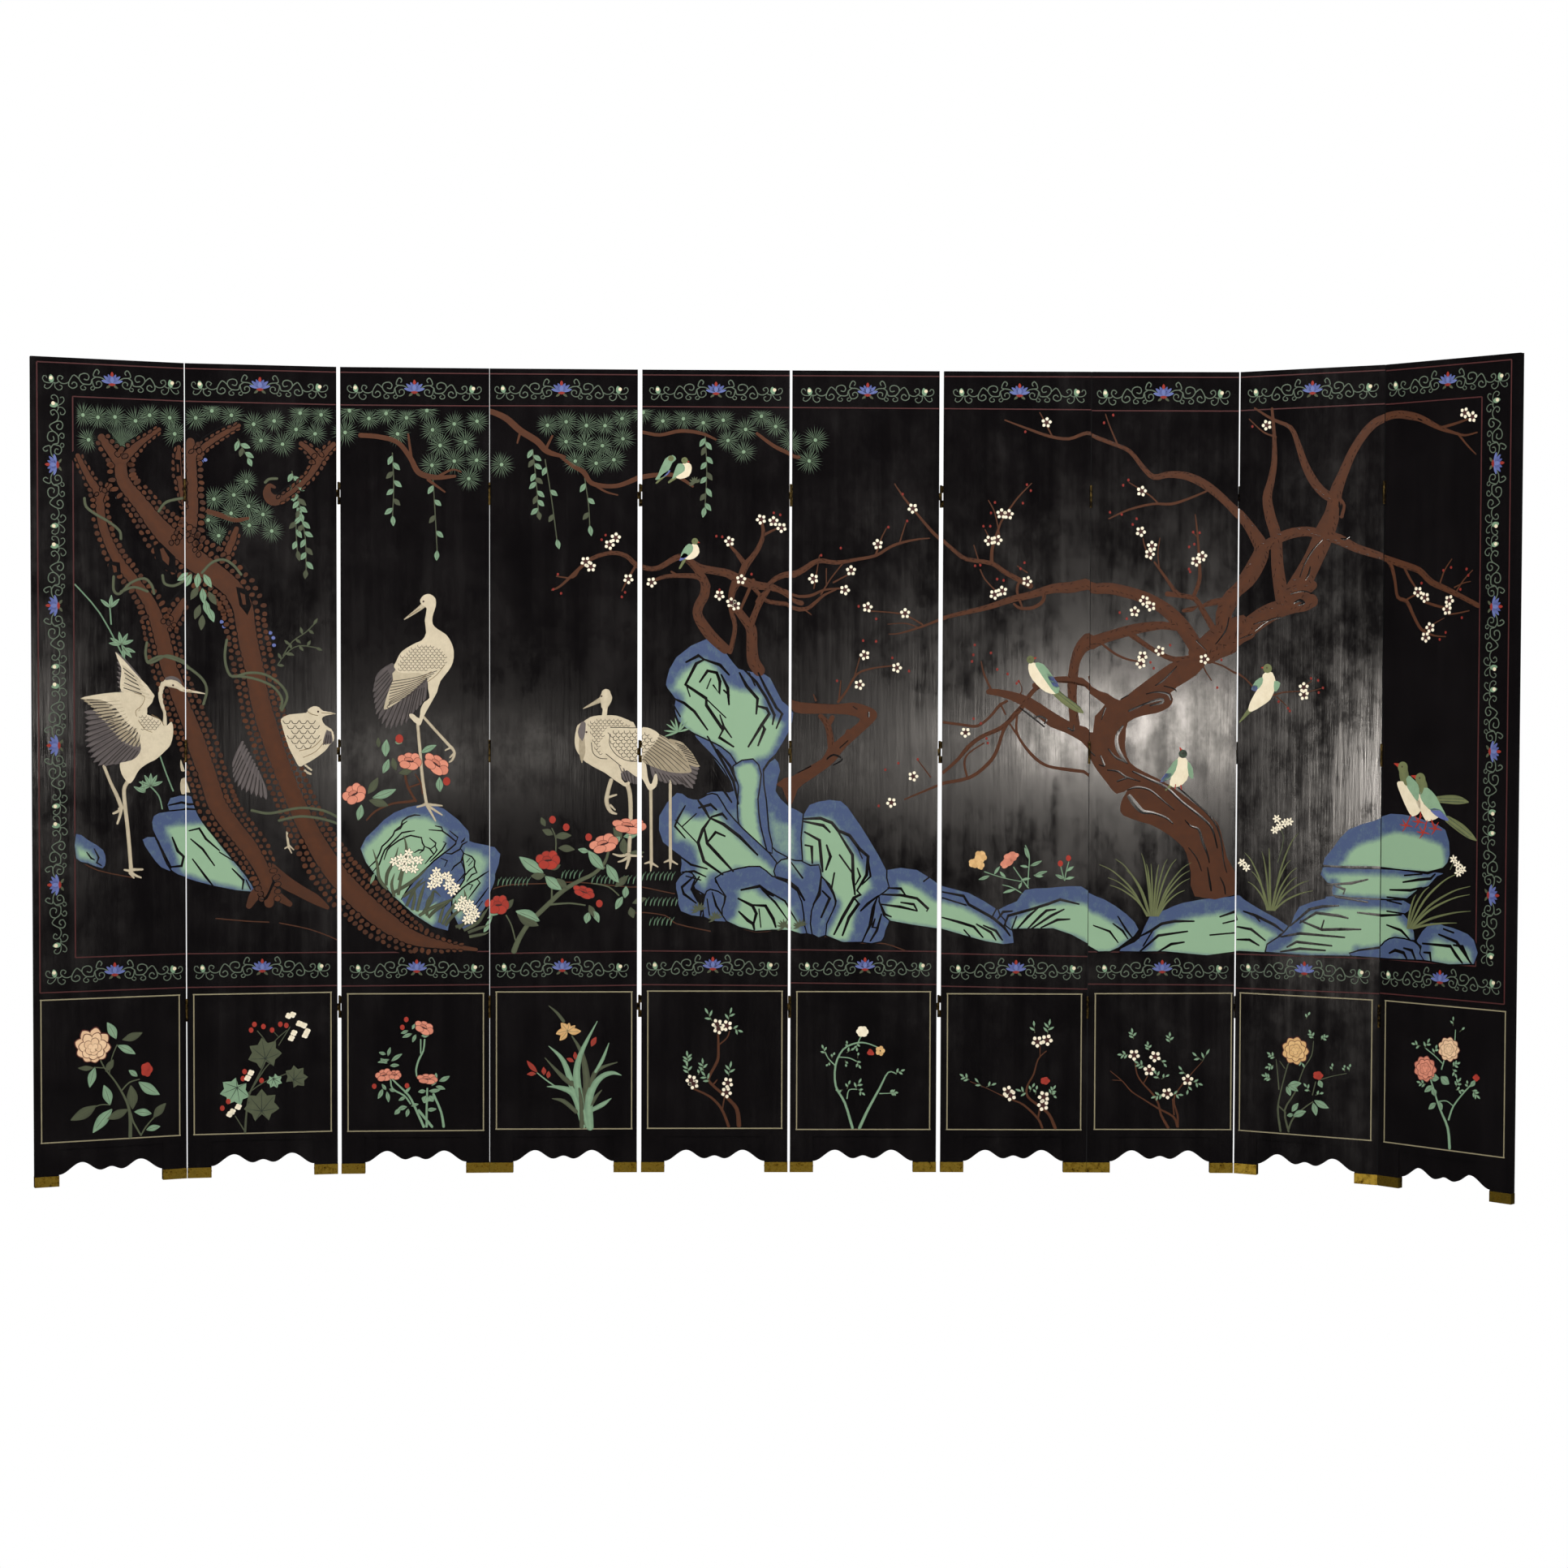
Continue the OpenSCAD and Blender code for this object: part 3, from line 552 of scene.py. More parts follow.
# Right: a low bank of four rocks.
lobe([(2606, 927), (2700, 927), (2775, 878), (2857, 857), (2946, 806), (2975, 775), (2997, 702),
    (2908, 706), (2775, 743), (2618, 768), (2592, 808), (2582, 846), (2614, 870)], 48, 1.3, (-0.3, -0.5))
cracks([(2592, 850), (2650, 848), (2700, 838), (2735, 806), (2730, 800)],
    [(2610, 870), (2650, 868), (2664, 848)], [(2590, 820), (2650, 812), (2700, 800)],
    [(2650, 826), (2690, 820), (2700, 802)], [(2740, 905), (2720, 890)],
    [(2775, 858), (2840, 846), (2856, 820), (2930, 780), (2966, 750), (2984, 725)],
    [(2775, 840), (2848, 818)], [(2775, 780), (2830, 765), (2872, 752), (2900, 720)],
    [(2902, 756), (2940, 740), (2960, 712)], [(2842, 742), (2860, 722)],
    [(2880, 760), (2925, 735), (2940, 712)], wide=6)
lobe([(2946, 806), (3003, 832), (3029, 867), (3100, 873), (3168, 879), (3235, 876), (3283, 864),
    (3352, 819), (3391, 770), (3350, 730), (3302, 702), (3222, 708), (3117, 746), (2986, 744), (2968, 772)],
    52, 1.25, (0, -0.5))
cracks([(2926, 778), (2942, 808)], [(2946, 776), (2962, 798), (2990, 800)],
    [(2966, 756), (2978, 786), (3050, 806), (3100, 822), (3138, 836), (3196, 822)],
    [(2990, 748), (3004, 784)], [(3006, 746), (3040, 784), (3068, 808)],
    [(3040, 748), (3078, 786), (3096, 802), (3124, 806)], [(3052, 748), (3110, 786), (3150, 806)],
    [(3080, 750), (3130, 774), (3168, 776)], wide=6)
cracks([(3325, 810), (3350, 770), (3372, 742)], [(3310, 788), (3340, 766), (3356, 742)],
    [(3250, 782), (3300, 764), (3326, 730)])
lobe([(3391, 745), (3422, 813), (3470, 832), (3524, 854), (3638, 872), (3690, 868), (3725, 844),
    (3781, 814), (3867, 768), (3835, 740), (3820, 708), (3800, 684), (3600, 690), (3470, 702), (3330, 702),
    (3360, 726)], 50, 1.3, (0.1, -0.5))
cracks([(3395, 750), (3430, 768), (3460, 788), (3500, 796), (3560, 796)],
    [(3395, 704), (3450, 752), (3540, 765)], [(3450, 702), (3490, 726), (3530, 732)],
    [(3432, 766), (3404, 720)], [(3610, 754), (3690, 752)], [(3650, 790), (3700, 786), (3690, 818),
    (3640, 810)], [(3720, 808), (3760, 796), (3820, 770), (3850, 750)],
    [(3700, 764), (3745, 754), (3790, 722)], [(3700, 725), (3740, 722), (3770, 706)],
    [(3750, 802), (3772, 780)], wide=6)
lobe([(3790, 686), (3840, 740), (3870, 775), (3896, 830), (3978, 858), (4000, 866), (4230, 866),
    (4264, 836), (4240, 820), (4262, 800), (4278, 745), (4210, 748), (4160, 720), (4080, 705), (4062, 686)],
    34, 1.35, (0.3, -0.35))
cracks([(3870, 770), (3930, 822), (3970, 832), (4020, 836)], [(3900, 780), (3950, 812), (4020, 806),
    (4050, 800)], [(3902, 786), (3970, 762), (4030, 766), (4090, 768)],
    [(3840, 735), (3900, 748), (4040, 742)], [(3860, 705), (3890, 722), (4000, 715)],
    [(3840, 690), (3900, 702), (3980, 700)], [(3975, 790), (3968, 766)],
    [(4080, 818), (4160, 812), (4230, 818)], wide=6)
lobe([(3984, 902), (4004, 900), (4002, 866), (4120, 860), (4228, 862), (4260, 870), (4300, 900),
    (4322, 906), (4352, 936), (4370, 950), (4200, 955), (3970, 952)], 14, 1.3)
lobe([(3968, 956), (4000, 1010), (4048, 1067), (4130, 1096), (4190, 1118), (4270, 1112), (4321, 1098),
    (4380, 1076), (4396, 1003), (4372, 962), (4320, 948), (4200, 952), (4080, 955)], 58, 1.35, (0.1, -0.35))
cracks([(3968, 954), (4060, 952), (4140, 954), (4200, 952)], [(3985, 898), (4060, 905), (4110, 918)],
    [(4010, 895), (4040, 885), (4035, 872)], [(4010, 862), (4110, 850)], [(4230, 850), (4180, 858)],
    [(4250, 950), (4320, 946), (4372, 962)], [(4240, 935), (4300, 942)],
    [(4235, 915), (4290, 925), (4330, 930), (4345, 944)], [(4190, 890), (4260, 892), (4300, 902)],
    [(4180, 868), (4250, 864), (4290, 896)], [(4180, 785), (4230, 772), (4262, 745)],
    [(4260, 820), (4180, 826)], wide=6)
lobe([(4062, 686), (4085, 705), (4150, 715), (4172, 735), (4208, 750), (4275, 742), (4298, 720),
    (4308, 688)], 60, 0.5)
cracks([(4190, 702), (4210, 712), (4240, 706), (4250, 690)], [(4240, 720), (4268, 715), (4280, 690)], wide=7)
lobe([(4282, 745), (4330, 802), (4380, 796), (4430, 786), (4480, 760), (4480, 688), (4310, 688),
    (4300, 730)], 45, 1.0, (0.1, -0.4))
cracks([(4305, 738), (4400, 736), (4420, 710), (4440, 690)], [(4360, 768), (4420, 750), (4470, 690)],
    [(4410, 740), (4440, 738), (4462, 700)], [(4376, 785), (4410, 776)],
    [(4310, 712), (4330, 712), (4334, 690)], wide=7)
print("rocks:", len(sheet["rocks"]), "lobes, cracks and lines")

# %% [markdown]
# ## Two old pines
# The pines are the oldest-looking things in the garden: a plain brown band runs up each trunk, and
# rounded scales of bark are set along both its sides with black lacquer left between them. A trunk is
# built the same way here: a bare lacquer bed, the band, then rows of scales as wide as the bark is there.


# %% Pine trunks
def trunk(path, core=0.42, scale=19):
    """A pine trunk or limb: points carry the whole width; its sides are filled with rows of bark scales."""
    stroke("pine", "lacquer", [(u, z, w + 5) for u, z, w in path], tall=0.45, edge=1.0)
    stroke("pine", "bark_brown", [(u, z, max(w * core, min(w, 12))) for u, z, w in path], tall=0.6, shade=0.7,
        rim=0.5, edge=0.95)
    line = smooth(path, 6)
    walked = np.concatenate([[0], np.cumsum(np.hypot(*np.diff(line[:, :2], axis=0).T))])
    for side in (-1, 1):
        for row in range(3):
            for place in np.arange(scale * (0.4 + 0.5 * (row % 2)), walked[-1], scale):
                u, z, w = (np.interp(place, walked, line[:, i]) for i in range(3))
                before, after = ([np.interp(place + d, walked, line[:, i]) for i in (0, 1)] for d in (-4, 4))
                ahead = [q - p for p, q in zip(before, after)]
                bark = w * (1 - core) / 2
                rows = max(1, round(bark / scale))
                if row >= rows or bark < 7:
                    continue
                length = math.hypot(*ahead) or 1
                across = (ahead[1] / length * side, -ahead[0] / length * side)
                off = w * core / 2 + (row + 0.5 + dice.uniform(-0.12, 0.12)) * bark / rows
                half_long = (scale / 2 - 2.0) * dice.uniform(0.85, 1.12)
                half_wide = max(bark / rows / 2 - 1.9, 3.5) * dice.uniform(0.85, 1.15)
                at = (u + across[0] * off, z + across[1] * off)
                turn = math.degrees(math.atan2(ahead[1], ahead[0])) + dice.uniform(-20, 20)
                for more, colour, tall in ((2.6, "lacquer", 0.61), (0, "bark_brown", 0.64)):
                    x, y = half_long + more, half_wide + more
                    ring = [(x * math.cos(a), y * math.sin(a)) for a in (0.2, 1.1, 2.0, 3.0, 4.0, 5.1)]
                    patch("pine", colour, turned(ring, turn, at), tall, 2, dice.uniform(0.3, 0.85))


def knot(outer, inner):
    """A knot hole: a black hollow with a brown heart."""
    patch("pine", "lacquer", outer, 0.68, 1)
    patch("pine", "bark_brown", inner, 0.72, 1, 0.6)


# The left pine, then the middle stem, then the great leaning trunk whose foot crosses into panel 3.
trunk([(136, 2152, 34), (165, 2095, 44), (196, 2040, 60), (206, 1960, 60), (230, 1892, 66), (262, 1835, 74),
    (307, 1781, 72), (346, 1724, 88), (372, 1660, 104), (388, 1600, 112), (402, 1540, 112),
    (428, 1470, 118), (456, 1400, 122), (484, 1330, 128), (508, 1262, 128), (532, 1190, 124),
    (556, 1120, 128), (602, 1052, 120), (652, 988, 118), (690, 920, 96), (706, 862, 74), (708, 826, 70)])
trunk([(232, 2068, 22), (214, 2050, 34), (200, 2030, 44)])
stroke("pine", "bark_brown", [(648, 818, 18), (668, 852, 34), (700, 868, 40), (740, 842, 26),
    (770, 822, 16)], tall=0.62)
stroke("pine", "bark_brown", [(716, 930, 30), (752, 892, 40), (800, 862, 34), (848, 835, 30),
    (884, 810, 12)], tall=0.62)
stroke("pine", "lacquer", [(722, 890, 8), (700, 842, 10), (680, 838, 4)], tall=0.7)
trunk([(377, 2238, 30), (330, 2204, 38), (290, 2168, 60), (262, 2135, 70)])
trunk([(206, 2208, 54), (232, 2172, 64), (256, 2140, 74)])
trunk([(436, 2188, 30), (434, 2130, 48), (444, 2060, 40), (456, 2000, 34)])
trunk([(478, 2204, 60), (480, 2140, 72), (484, 2060, 74), (482, 1990, 84), (470, 1925, 100),
    (455, 1880, 110)])
trunk([(486, 2160, 44), (530, 2200, 40), (575, 2230, 36), (622, 2256, 26)])
trunk([(262, 2138, 84), (270, 2082, 92), (320, 2019, 106), (370, 1955, 126), (426, 1900, 158),
    (476, 1862, 160), (536, 1822, 148), (595, 1775, 140), (630, 1720, 142), (640, 1660, 136),
    (652, 1590, 134), (668, 1520, 134), (682, 1440, 134), (704, 1360, 138), (734, 1270, 130),
    (768, 1180, 126), (802, 1100, 130), (842, 1020, 136), (888, 945, 150), (940, 880, 154),
    (1000, 822, 150), (1066, 768, 138), (1140, 724, 104), (1230, 702, 56), (1336, 687, 10)])
trunk([(584, 1872, 48), (600, 1910, 50), (614, 1948, 34)])
trunk([(404, 1652, 60), (426, 1690, 66), (452, 1728, 60)])
trunk([(808, 2206, 34), (834, 2186, 44), (860, 2158, 50)])
trunk([(906, 2206, 34), (884, 2184, 42), (862, 2158, 52), (842, 2124, 44), (816, 2092, 38), (780, 2062, 36),
    (744, 2036, 34)])
stroke("pine", "bark_brown", [(756, 2040, 26), (722, 2036, 34), (706, 2056, 26), (712, 2078, 14),
    (728, 2074, 8)], tall=0.62)
knot([(358, 1892), (378, 1905), (424, 1862), (426, 1812), (396, 1822), (366, 1850)],
    [(378, 1884), (388, 1888), (406, 1858), (404, 1836), (386, 1852)])
knot([(612, 1775), (644, 1768), (658, 1720), (646, 1690), (622, 1720)],
    [(624, 1758), (638, 1752), (642, 1722), (632, 1722)])
knot([(226, 1846), (258, 1842), (262, 1806), (238, 1800), (222, 1820)],
    [(236, 1834), (248, 1830), (250, 1814), (240, 1812)])
knot([(424, 2152), (440, 2150), (442, 2104), (426, 2100)], [(429, 2138), (436, 2136), (437, 2114),
    (430, 2114)])
for u, z in [(511, 2146), (522, 2152), (503, 1920), (505, 1908), (569, 1670), (576, 1656), (714, 1638),
    (723, 1623), (725, 1601)]:
    patch("pine", "lotus_blue", disc(u, z, 6, 5.5), 0.5, 1, 0.7)
for limb in [[(511, 2003, 16), (560, 1990, 15), (610, 1974, 13), (648, 1980, 9)],
    [(985, 2236, 14), (1041, 2232, 14), (1098, 2216, 14), (1136, 2171, 15), (1162, 2127, 17),
    (1212, 2113, 15), (1272, 2117, 8)], [(1190, 2106, 9), (1241, 2070, 5)],
    [(1140, 2168, 8), (1130, 2240, 6)], [(1216, 2113, 8), (1262, 2136, 6), (1290, 2130, 4)],
    [(1386, 2308, 15), (1435, 2286, 19), (1479, 2248, 20), (1530, 2216, 20), (1562, 2184, 17),
    (1614, 2168, 9)], [(1556, 2190, 9), (1577, 2232, 6)], [(1600, 2170, 8), (1640, 2140, 12),
    (1673, 2121, 15), (1695, 2089, 14), (1739, 2079, 13), (1784, 2082, 13), (1835, 2102, 15),
    (1851, 2105, 15), (1902, 2111, 13), (1952, 2108, 12), (2003, 2076, 7)],
    [(1700, 2086, 7), (1740, 2062, 6), (1777, 2052, 4)], [(1848, 2244, 10), (1902, 2235, 10),
    (1965, 2248, 11), (2028, 2241, 10), (2073, 2222, 6)], [(2200, 2241, 9), (2251, 2203, 11),
    (2298, 2181, 12), (2330, 2176, 10)], [(1480, 2246, 8), (1470, 2210, 5)]]:
    stroke("pine", "bark_brown", limb, tall=0.5, shade=0.7)
print("pine trunks:", len(sheet["pine"]), "strokes and scales")

# %% [markdown]
# ## Pine needles
# The needles stand in round tufts, drawn one by one as fine lines from a pale middle to a dark tip, and
# are cut off straight at the upper red line. Each needle is a thin tent of colour with its foot in the
# lacquer, so a tuft has the combed look of the real one also from close by.

# %% Needles
TUFTS = [(152, 2272), (196, 2267), (246, 2270), (307, 2261), (349, 2279), (409, 2274), (168, 2200),
    (424, 2227), (494, 2276), (542, 2298), (600, 2286), (666, 2261), (727, 2272), (805, 2297), (868, 2293),
    (793, 2248), (850, 2236), (688, 2213), (752, 2203), (644, 2090), (606, 2049), (547, 2036), (650, 2016),
    (598, 1994), (693, 1992), (530, 1973), (652, 1959), (719, 1943), (561, 1927), (952, 2308), (939, 2244),
    (1011, 2286), (1063, 2301), (1125, 2289), (1187, 2311), (1098, 2241), (1204, 2254), (1270, 2272),
    (1339, 2281), (1304, 2219), (1227, 2208), (1202, 2149), (1270, 2162), (1338, 2165), (1314, 2110),
    (1562, 2265), (1619, 2276), (1681, 2265), (1738, 2265), (1790, 2287), (1619, 2215), (1676, 2208),
    (1730, 2203), (1793, 2225), (1647, 2155), (1711, 2149), (1765, 2160), (1422, 2143), (1851, 2305),
    (1911, 2279), (1974, 2286), (2035, 2274), (2096, 2282), (2165, 2254), (2213, 2295), (2257, 2263),
    (2111, 2219), (2159, 2184), (2305, 2219), (2381, 2228), (2362, 2165)]
NEEDLE_TOP = 2317  # mm, just under the upper inner line
TUFT_LEFT = 128  # mm, where the tufts of panel 1 are cut off
NEEDLES = 28  # in each tuft
HALF_NEEDLE = 0.95  # mm, half the width of a needle


def needle(u, z, angle, long, pale=1.0, root=3.0):
    """One needle of a tuft."""
    c, s = math.cos(angle), math.sin(angle)
    if z + s * long > NEEDLE_TOP:
        long = (NEEDLE_TOP - z) / s
    if u + c * long < TUFT_LEFT:
        long = (TUFT_LEFT - u) / c
    if long < 5:
        return
    middle, wide = long * 0.6, HALF_NEEDLE
    points = [
        (u + c * root, z + s * root, 0.6, pale),
        (u + c * middle + s * wide, z + s * middle - c * wide, SUNK, pale * 0.26),
        (u + c * long, z + s * long, SUNK, 0.0),
        (u + c * middle - s * wide, z + s * middle + c * wide, SUNK, pale * 0.26),
        (u + c * middle, z + s * middle, 0.45, pale * 0.46),
    ]
    lay("needles", "pine_green", points, [(0, 1, 4), (1, 2, 4), (2, 3, 4), (3, 0, 4)])


for u, z in TUFTS:
    reach = dice.uniform(43, 50)
    start = dice.uniform(0, 1)
    for i in range(NEEDLES):
        needle(u, z, (i + start + dice.uniform(-0.25, 0.25)) / NEEDLES * math.tau,
            reach * dice.uniform(0.86, 1.04))
    patch("needles", "pine_green", disc(u, z, 5.5), 0.64, 1, 0.9)
for i in range(23):  # the half tuft in the fork of the left pine opens upward like a fan
    needle(263, 2172, math.radians(45 + i * 4), dice.uniform(92, 112), 0.9, 6)
print("needles:", len(sheet["needles"]))

# %% [markdown]
# ## Vines and hanging sprays
# Grey-green vines wind round the trunks, and leafy sprays hang from the limbs. The stems are even
# strokes; each leaf is one pressed brush mark, raised along its rib and thin at its edge.


# %% Leaves
def leaf(layer, at, angle, long, wide, colour="leaf_green", tall=0.7, bend=0.0, tone=0.85, rib=True):
    """One leaf from its stalk end, raised along its rib; bend turns its tip aside."""
    path = []
    for along, part in ((0, 0.08), (0.3, 0.85), (0.55, 1.0), (0.82, 0.55), (1, 0.05)):
        path.append((long * along, bend * long * along**2, wide * part))
    path = turned(path, angle, at)
    stroke(layer, colour, path, tall=tall, cuts=2, shade=tone, rim=tone - 0.45, blunt=False)
    if rib and wide > 9:
        stroke(layer, "leaf_olive", [(u, z, 1.3) for u, z, _ in path[:4]], tall=tall + 0.05, cuts=2,
            shade=0.3,
            edge=0.99)


def spray(layer, stem, count, long=30, wide=15, colours=("leaf_green", "leaf_olive"), lean=40):
    """A stem with leaves set along it on both sides, ending in one."""
    stroke(layer, "leaf_olive", stem, 3, tall=0.4, cuts=3)
    line = smooth(stem, 8)[:, :2]
    for i in range(count):
        t = (i + 0.7) / count * (len(line) - 1)
        a = line[min(int(t), len(line) - 2)]
        way = line[min(int(t) + 1, len(line) - 1)] - line[max(int(t) - 1, 0)]
        angle = math.degrees(math.atan2(way[1], way[0]))
        side = (1 if i % 2 else -1) * (0.15 if i == count - 1 else 1)
        lie, reach = angle + side * (lean + dice.uniform(-12, 12)), long * dice.uniform(0.9, 1.1)
        leaf(layer, a, lie, reach, wide, colours[(i * 2 // 3) % len(colours)], 0.55 + 0.02 * (i % 5),
            tone=0.8)


for vine in [[(155, 2028), (160, 2004), (185, 1984), (228, 1960), (258, 1935), (262, 1912)],
    [(375, 1996), (398, 2024), (447, 2037)], [(511, 1816), (540, 1846), (574, 1856), (604, 1840),
    (627, 1812)], [(240, 1800), (240, 1760), (258, 1750), (290, 1782), (330, 1796), (352, 1778),
    (360, 1752)], [(262, 1756), (300, 1770), (340, 1758)], [(386, 1806), (392, 1782), (420, 1776),
    (448, 1790)], [(338, 1606), (334, 1575), (342, 1546), (372, 1556), (398, 1568), (440, 1556),
    (472, 1532), (510, 1500), (524, 1466), (514, 1424)], [(340, 1548), (380, 1566), (440, 1550),
    (470, 1530)], [(584, 1616), (578, 1570), (584, 1530), (602, 1506), (650, 1518), (700, 1512),
    (745, 1482), (764, 1446), (748, 1406)], [(602, 1508), (660, 1502), (720, 1478), (748, 1440),
    (744, 1412)], [(657, 1105), (700, 1096), (739, 1100), (775, 1108), (815, 1112), (870, 1104),
    (912, 1086)], [(912, 1066), (860, 1080), (800, 1086), (739, 1074)],
    [(735, 2100), (712, 2098), (700, 2088)]]:
    stroke("leaves", "leaf_olive", vine, 8, tall=0.85, cuts=4, shade=0.95, rim=0.45)
for stem, count in (
    ([(619, 2216), (632, 2190), (650, 2158)], 5),
    ([(780, 2122), (798, 2050), (806, 1994)], 10),
    ([(806, 1994), (820, 1920), (822, 1822)], 9),
    ([(800, 2060), (792, 1960), (796, 1880)], 6),
    ([(1082, 2184), (1086, 2090), (1082, 1990)], 8),
    ([(1205, 2108), (1212, 2000), (1218, 1886)], 5),
    ([(1517, 2190), (1528, 2090), (1535, 1994)], 12),
    ([(1555, 2159), (1576, 2030), (1594, 1892)], 4),
    ([(1676, 2102), (1688, 2020), (1692, 1946)], 4),
    ([(2041, 2235), (2046, 2120), (2040, 2004)], 11),
):
    spray("leaves", stem, count)
for u, z, angle, colour in (
    (470, 1815, -150, "leaf_green"), (480, 1812, -118, "leaf_green"), (500, 1815, -95, "leaf_green"),
    (516, 1812, -60, "leaf_green"),
    (500, 1775, -120, "leaf_olive"), (512, 1770, -85, "leaf_green"), (530, 1760, -60, "leaf_olive"),
    (520, 1735, -80, "leaf_green"),
    (505, 1720, -110, "leaf_olive"), (530, 1712, -70, "leaf_green"), (512, 1690, -95, "leaf_olive"),
):
    leaf("leaves", (u, z), angle, 46, 20, colour, tall=0.85)
for stem in [[(126, 1775), (200, 1690), (272, 1556)], [(228, 1717), (232, 1660)],
    [(377, 1267), (395, 1215), (415, 1165)], [(346, 1180), (372, 1150), (382, 1112)]]:
    stroke("leaves", "leaf_green", stem, 4, tall=0.4, cuts=3, shade=0.3)
for u, z, angles in ((230, 1708, (85, 140, 45)), (262, 1600, (60, 100, 150, 20, -60, 175)),
    (268, 1590, (-20, -50, -90)), (348, 1180, (60, 90, 120, 160, 20, -170)), (330, 1160, (100, 150))):
    for angle in angles:
        leaf("leaves", (u, z), angle, 38, 11, tall=0.6)
spray("leaves", [(730, 1533), (760, 1575), (800, 1600), (862, 1592)], 7, 22, 9, ("leaf_olive",), lean=70)
spray("leaves", [(752, 1570), (780, 1612), (820, 1640), (848, 1668)], 6, 22, 9, ("leaf_olive",), lean=70)
print("leaves:", len(sheet["leaves"]))

# %% [markdown]
# ## Plum trees
# Two old plum trees lean over the rocks, smooth brown and jointed, with long bare slits of lacquer in
# their trunks and cream five-petalled blossom on the twigs. Limbs are strokes whose width is given at
# each bend, so that they swell at the joints as the cut ones do.


# %% Plum limbs
def limb(*path, tall=0.42):
    """One limb of a plum tree: its edges are cut unevenly, and thick ones have short cuts in the bark."""
    uneven = [(u, z, wide * dice.uniform(0.9, 1.06)) for u, z, wide in path]
    stroke("plum", "bark_brown", uneven, tall=tall, cuts=3, shade=0.7, rim=0.5, edge=0.85)
    line = smooth(uneven, 4)
    for (u, z, wide), (u2, z2, _) in list(zip(line, line[1:]))[1:-1]:
        size = math.hypot(u2 - u, z2 - z)
        if wide < 11 or size < 1:
            continue
        along, across = ((u2 - u) / size, (z2 - z) / size), ((z2 - z) / size, (u - u2) / size)
        side, long = dice.choice((-0.4, -0.22, 0.22, 0.4)) * wide, dice.uniform(4, 10)
        a = (u + across[0] * side, z + across[1] * side)
        b = (a[0] + along[0] * long - across[0] * side * 0.3, a[1] + along[1] * long - across[1] * side * 0.3)
        stroke("plum", "lacquer", [(*a, 1.4), (*b, 1)], tall=0.6, cuts=1)


def slits(*lines):
    """Bare lacquer slits along a trunk."""
    for line in lines:
        stroke("plum", "lacquer", line, tall=0.62, cuts=3)


# The first plum, behind the tall rock.
for path in [[(1575, 1762, 4), (1603, 1775, 7), (1660, 1828, 11), (1701, 1860, 12), (1758, 1876, 13),
    (1803, 1867, 13), (1835, 1838, 14), (1868, 1824, 15), (1902, 1828, 17), (1952, 1857, 18),
    (1980, 1856, 18), (2022, 1828, 24), (2070, 1818, 24), (2111, 1810, 26), (2150, 1790, 28),
    (2200, 1774, 24), (2251, 1768, 20), (2300, 1745, 16), (2340, 1735, 14)],
    [(1660, 1828, 7), (1640, 1800, 5), (1590, 1804, 4)], [(1758, 1876, 8), (1752, 1896, 5)],
    [(1835, 1840, 8), (1810, 1800, 6), (1790, 1760, 3)], [(1890, 1790, 10), (1920, 1800, 13),
    (1965, 1803, 15), (2018, 1800, 16), (2040, 1780, 26), (2040, 1745, 28), (2022, 1710, 28),
    (2020, 1680, 32), (2044, 1640, 34), (2070, 1610, 36), (2104, 1580, 30)],
    [(1978, 1856, 14), (2010, 1830, 20), (2034, 1796, 24), (2046, 1770, 26)],
    [(1938, 1815, 6), (1960, 1802, 8)], [(2136, 1780, 28), (2124, 1750, 22), (2122, 1700, 14),
    (2134, 1650, 13), (2126, 1600, 14), (2118, 1572, 16)], [(2132, 1696, 6), (2116, 1740, 5)],
    [(2190, 1790, 12), (2150, 1700, 8)], [(2140, 1700, 22), (2165, 1668, 28), (2184, 1640, 34),
    (2186, 1590, 34), (2190, 1545, 36), (2208, 1516, 36)], [(2184, 1660, 22), (2200, 1700, 20),
    (2216, 1735, 22), (2236, 1760, 14)], [(2200, 1724, 8), (2210, 1745, 5)],
    [(2150, 1795, 18), (2164, 1832, 22), (2186, 1860, 18), (2206, 1890, 16), (2220, 1930, 13),
    (2215, 1970, 8)], [(2164, 1838, 16), (2140, 1870, 12), (2117, 1896, 7)],
    [(2218, 1926, 9), (2240, 1938, 7), (2262, 1948, 5)], [(2188, 1770, 14), (2216, 1738, 10),
    (2240, 1724, 12), (2290, 1718, 13), (2352, 1717, 13), (2380, 1735, 10), (2410, 1760, 8),
    (2445, 1776, 5)], [(2230, 1770, 12), (2260, 1796, 15), (2300, 1812, 18), (2345, 1836, 17),
    (2390, 1863, 15), (2447, 1858, 12), (2510, 1868, 10), (2568, 1880, 9), (2610, 1905, 8), (2650, 1920, 7),
    (2700, 1930, 5), (2733, 1933, 3)], [(2250, 1762, 12), (2311, 1756, 9), (2365, 1757, 9), (2409, 1775, 7),
    (2460, 1780, 5)], [(2400, 1762, 5), (2430, 1810, 4), (2470, 1860, 4)],
    [(2378, 1780, 4), (2395, 1880, 3)], [(2438, 1798, 5), (2480, 1820, 4)],
    [(2416, 1790, 3), (2416, 1840, 3)], [(2568, 1882, 6), (2584, 1930, 4), (2600, 1962, 3)],
    [(2640, 1915, 5), (2660, 1980, 3)], [(2625, 2097, 3), (2657, 2051, 6), (2695, 2006, 7), (2740, 1954, 9),
    (2775, 1922, 11), (2810, 1892, 12), (2844, 1870, 13), (2920, 1858, 14), (2960, 1832, 15),
    (3009, 1806, 17), (3040, 1790, 18)], [(2350, 1715, 5), (2370, 1700, 3)],
    [(2550, 1712, 4), (2640, 1705, 4), (2680, 1690, 4), (2712, 1672, 5)]]:
    limb(*path)
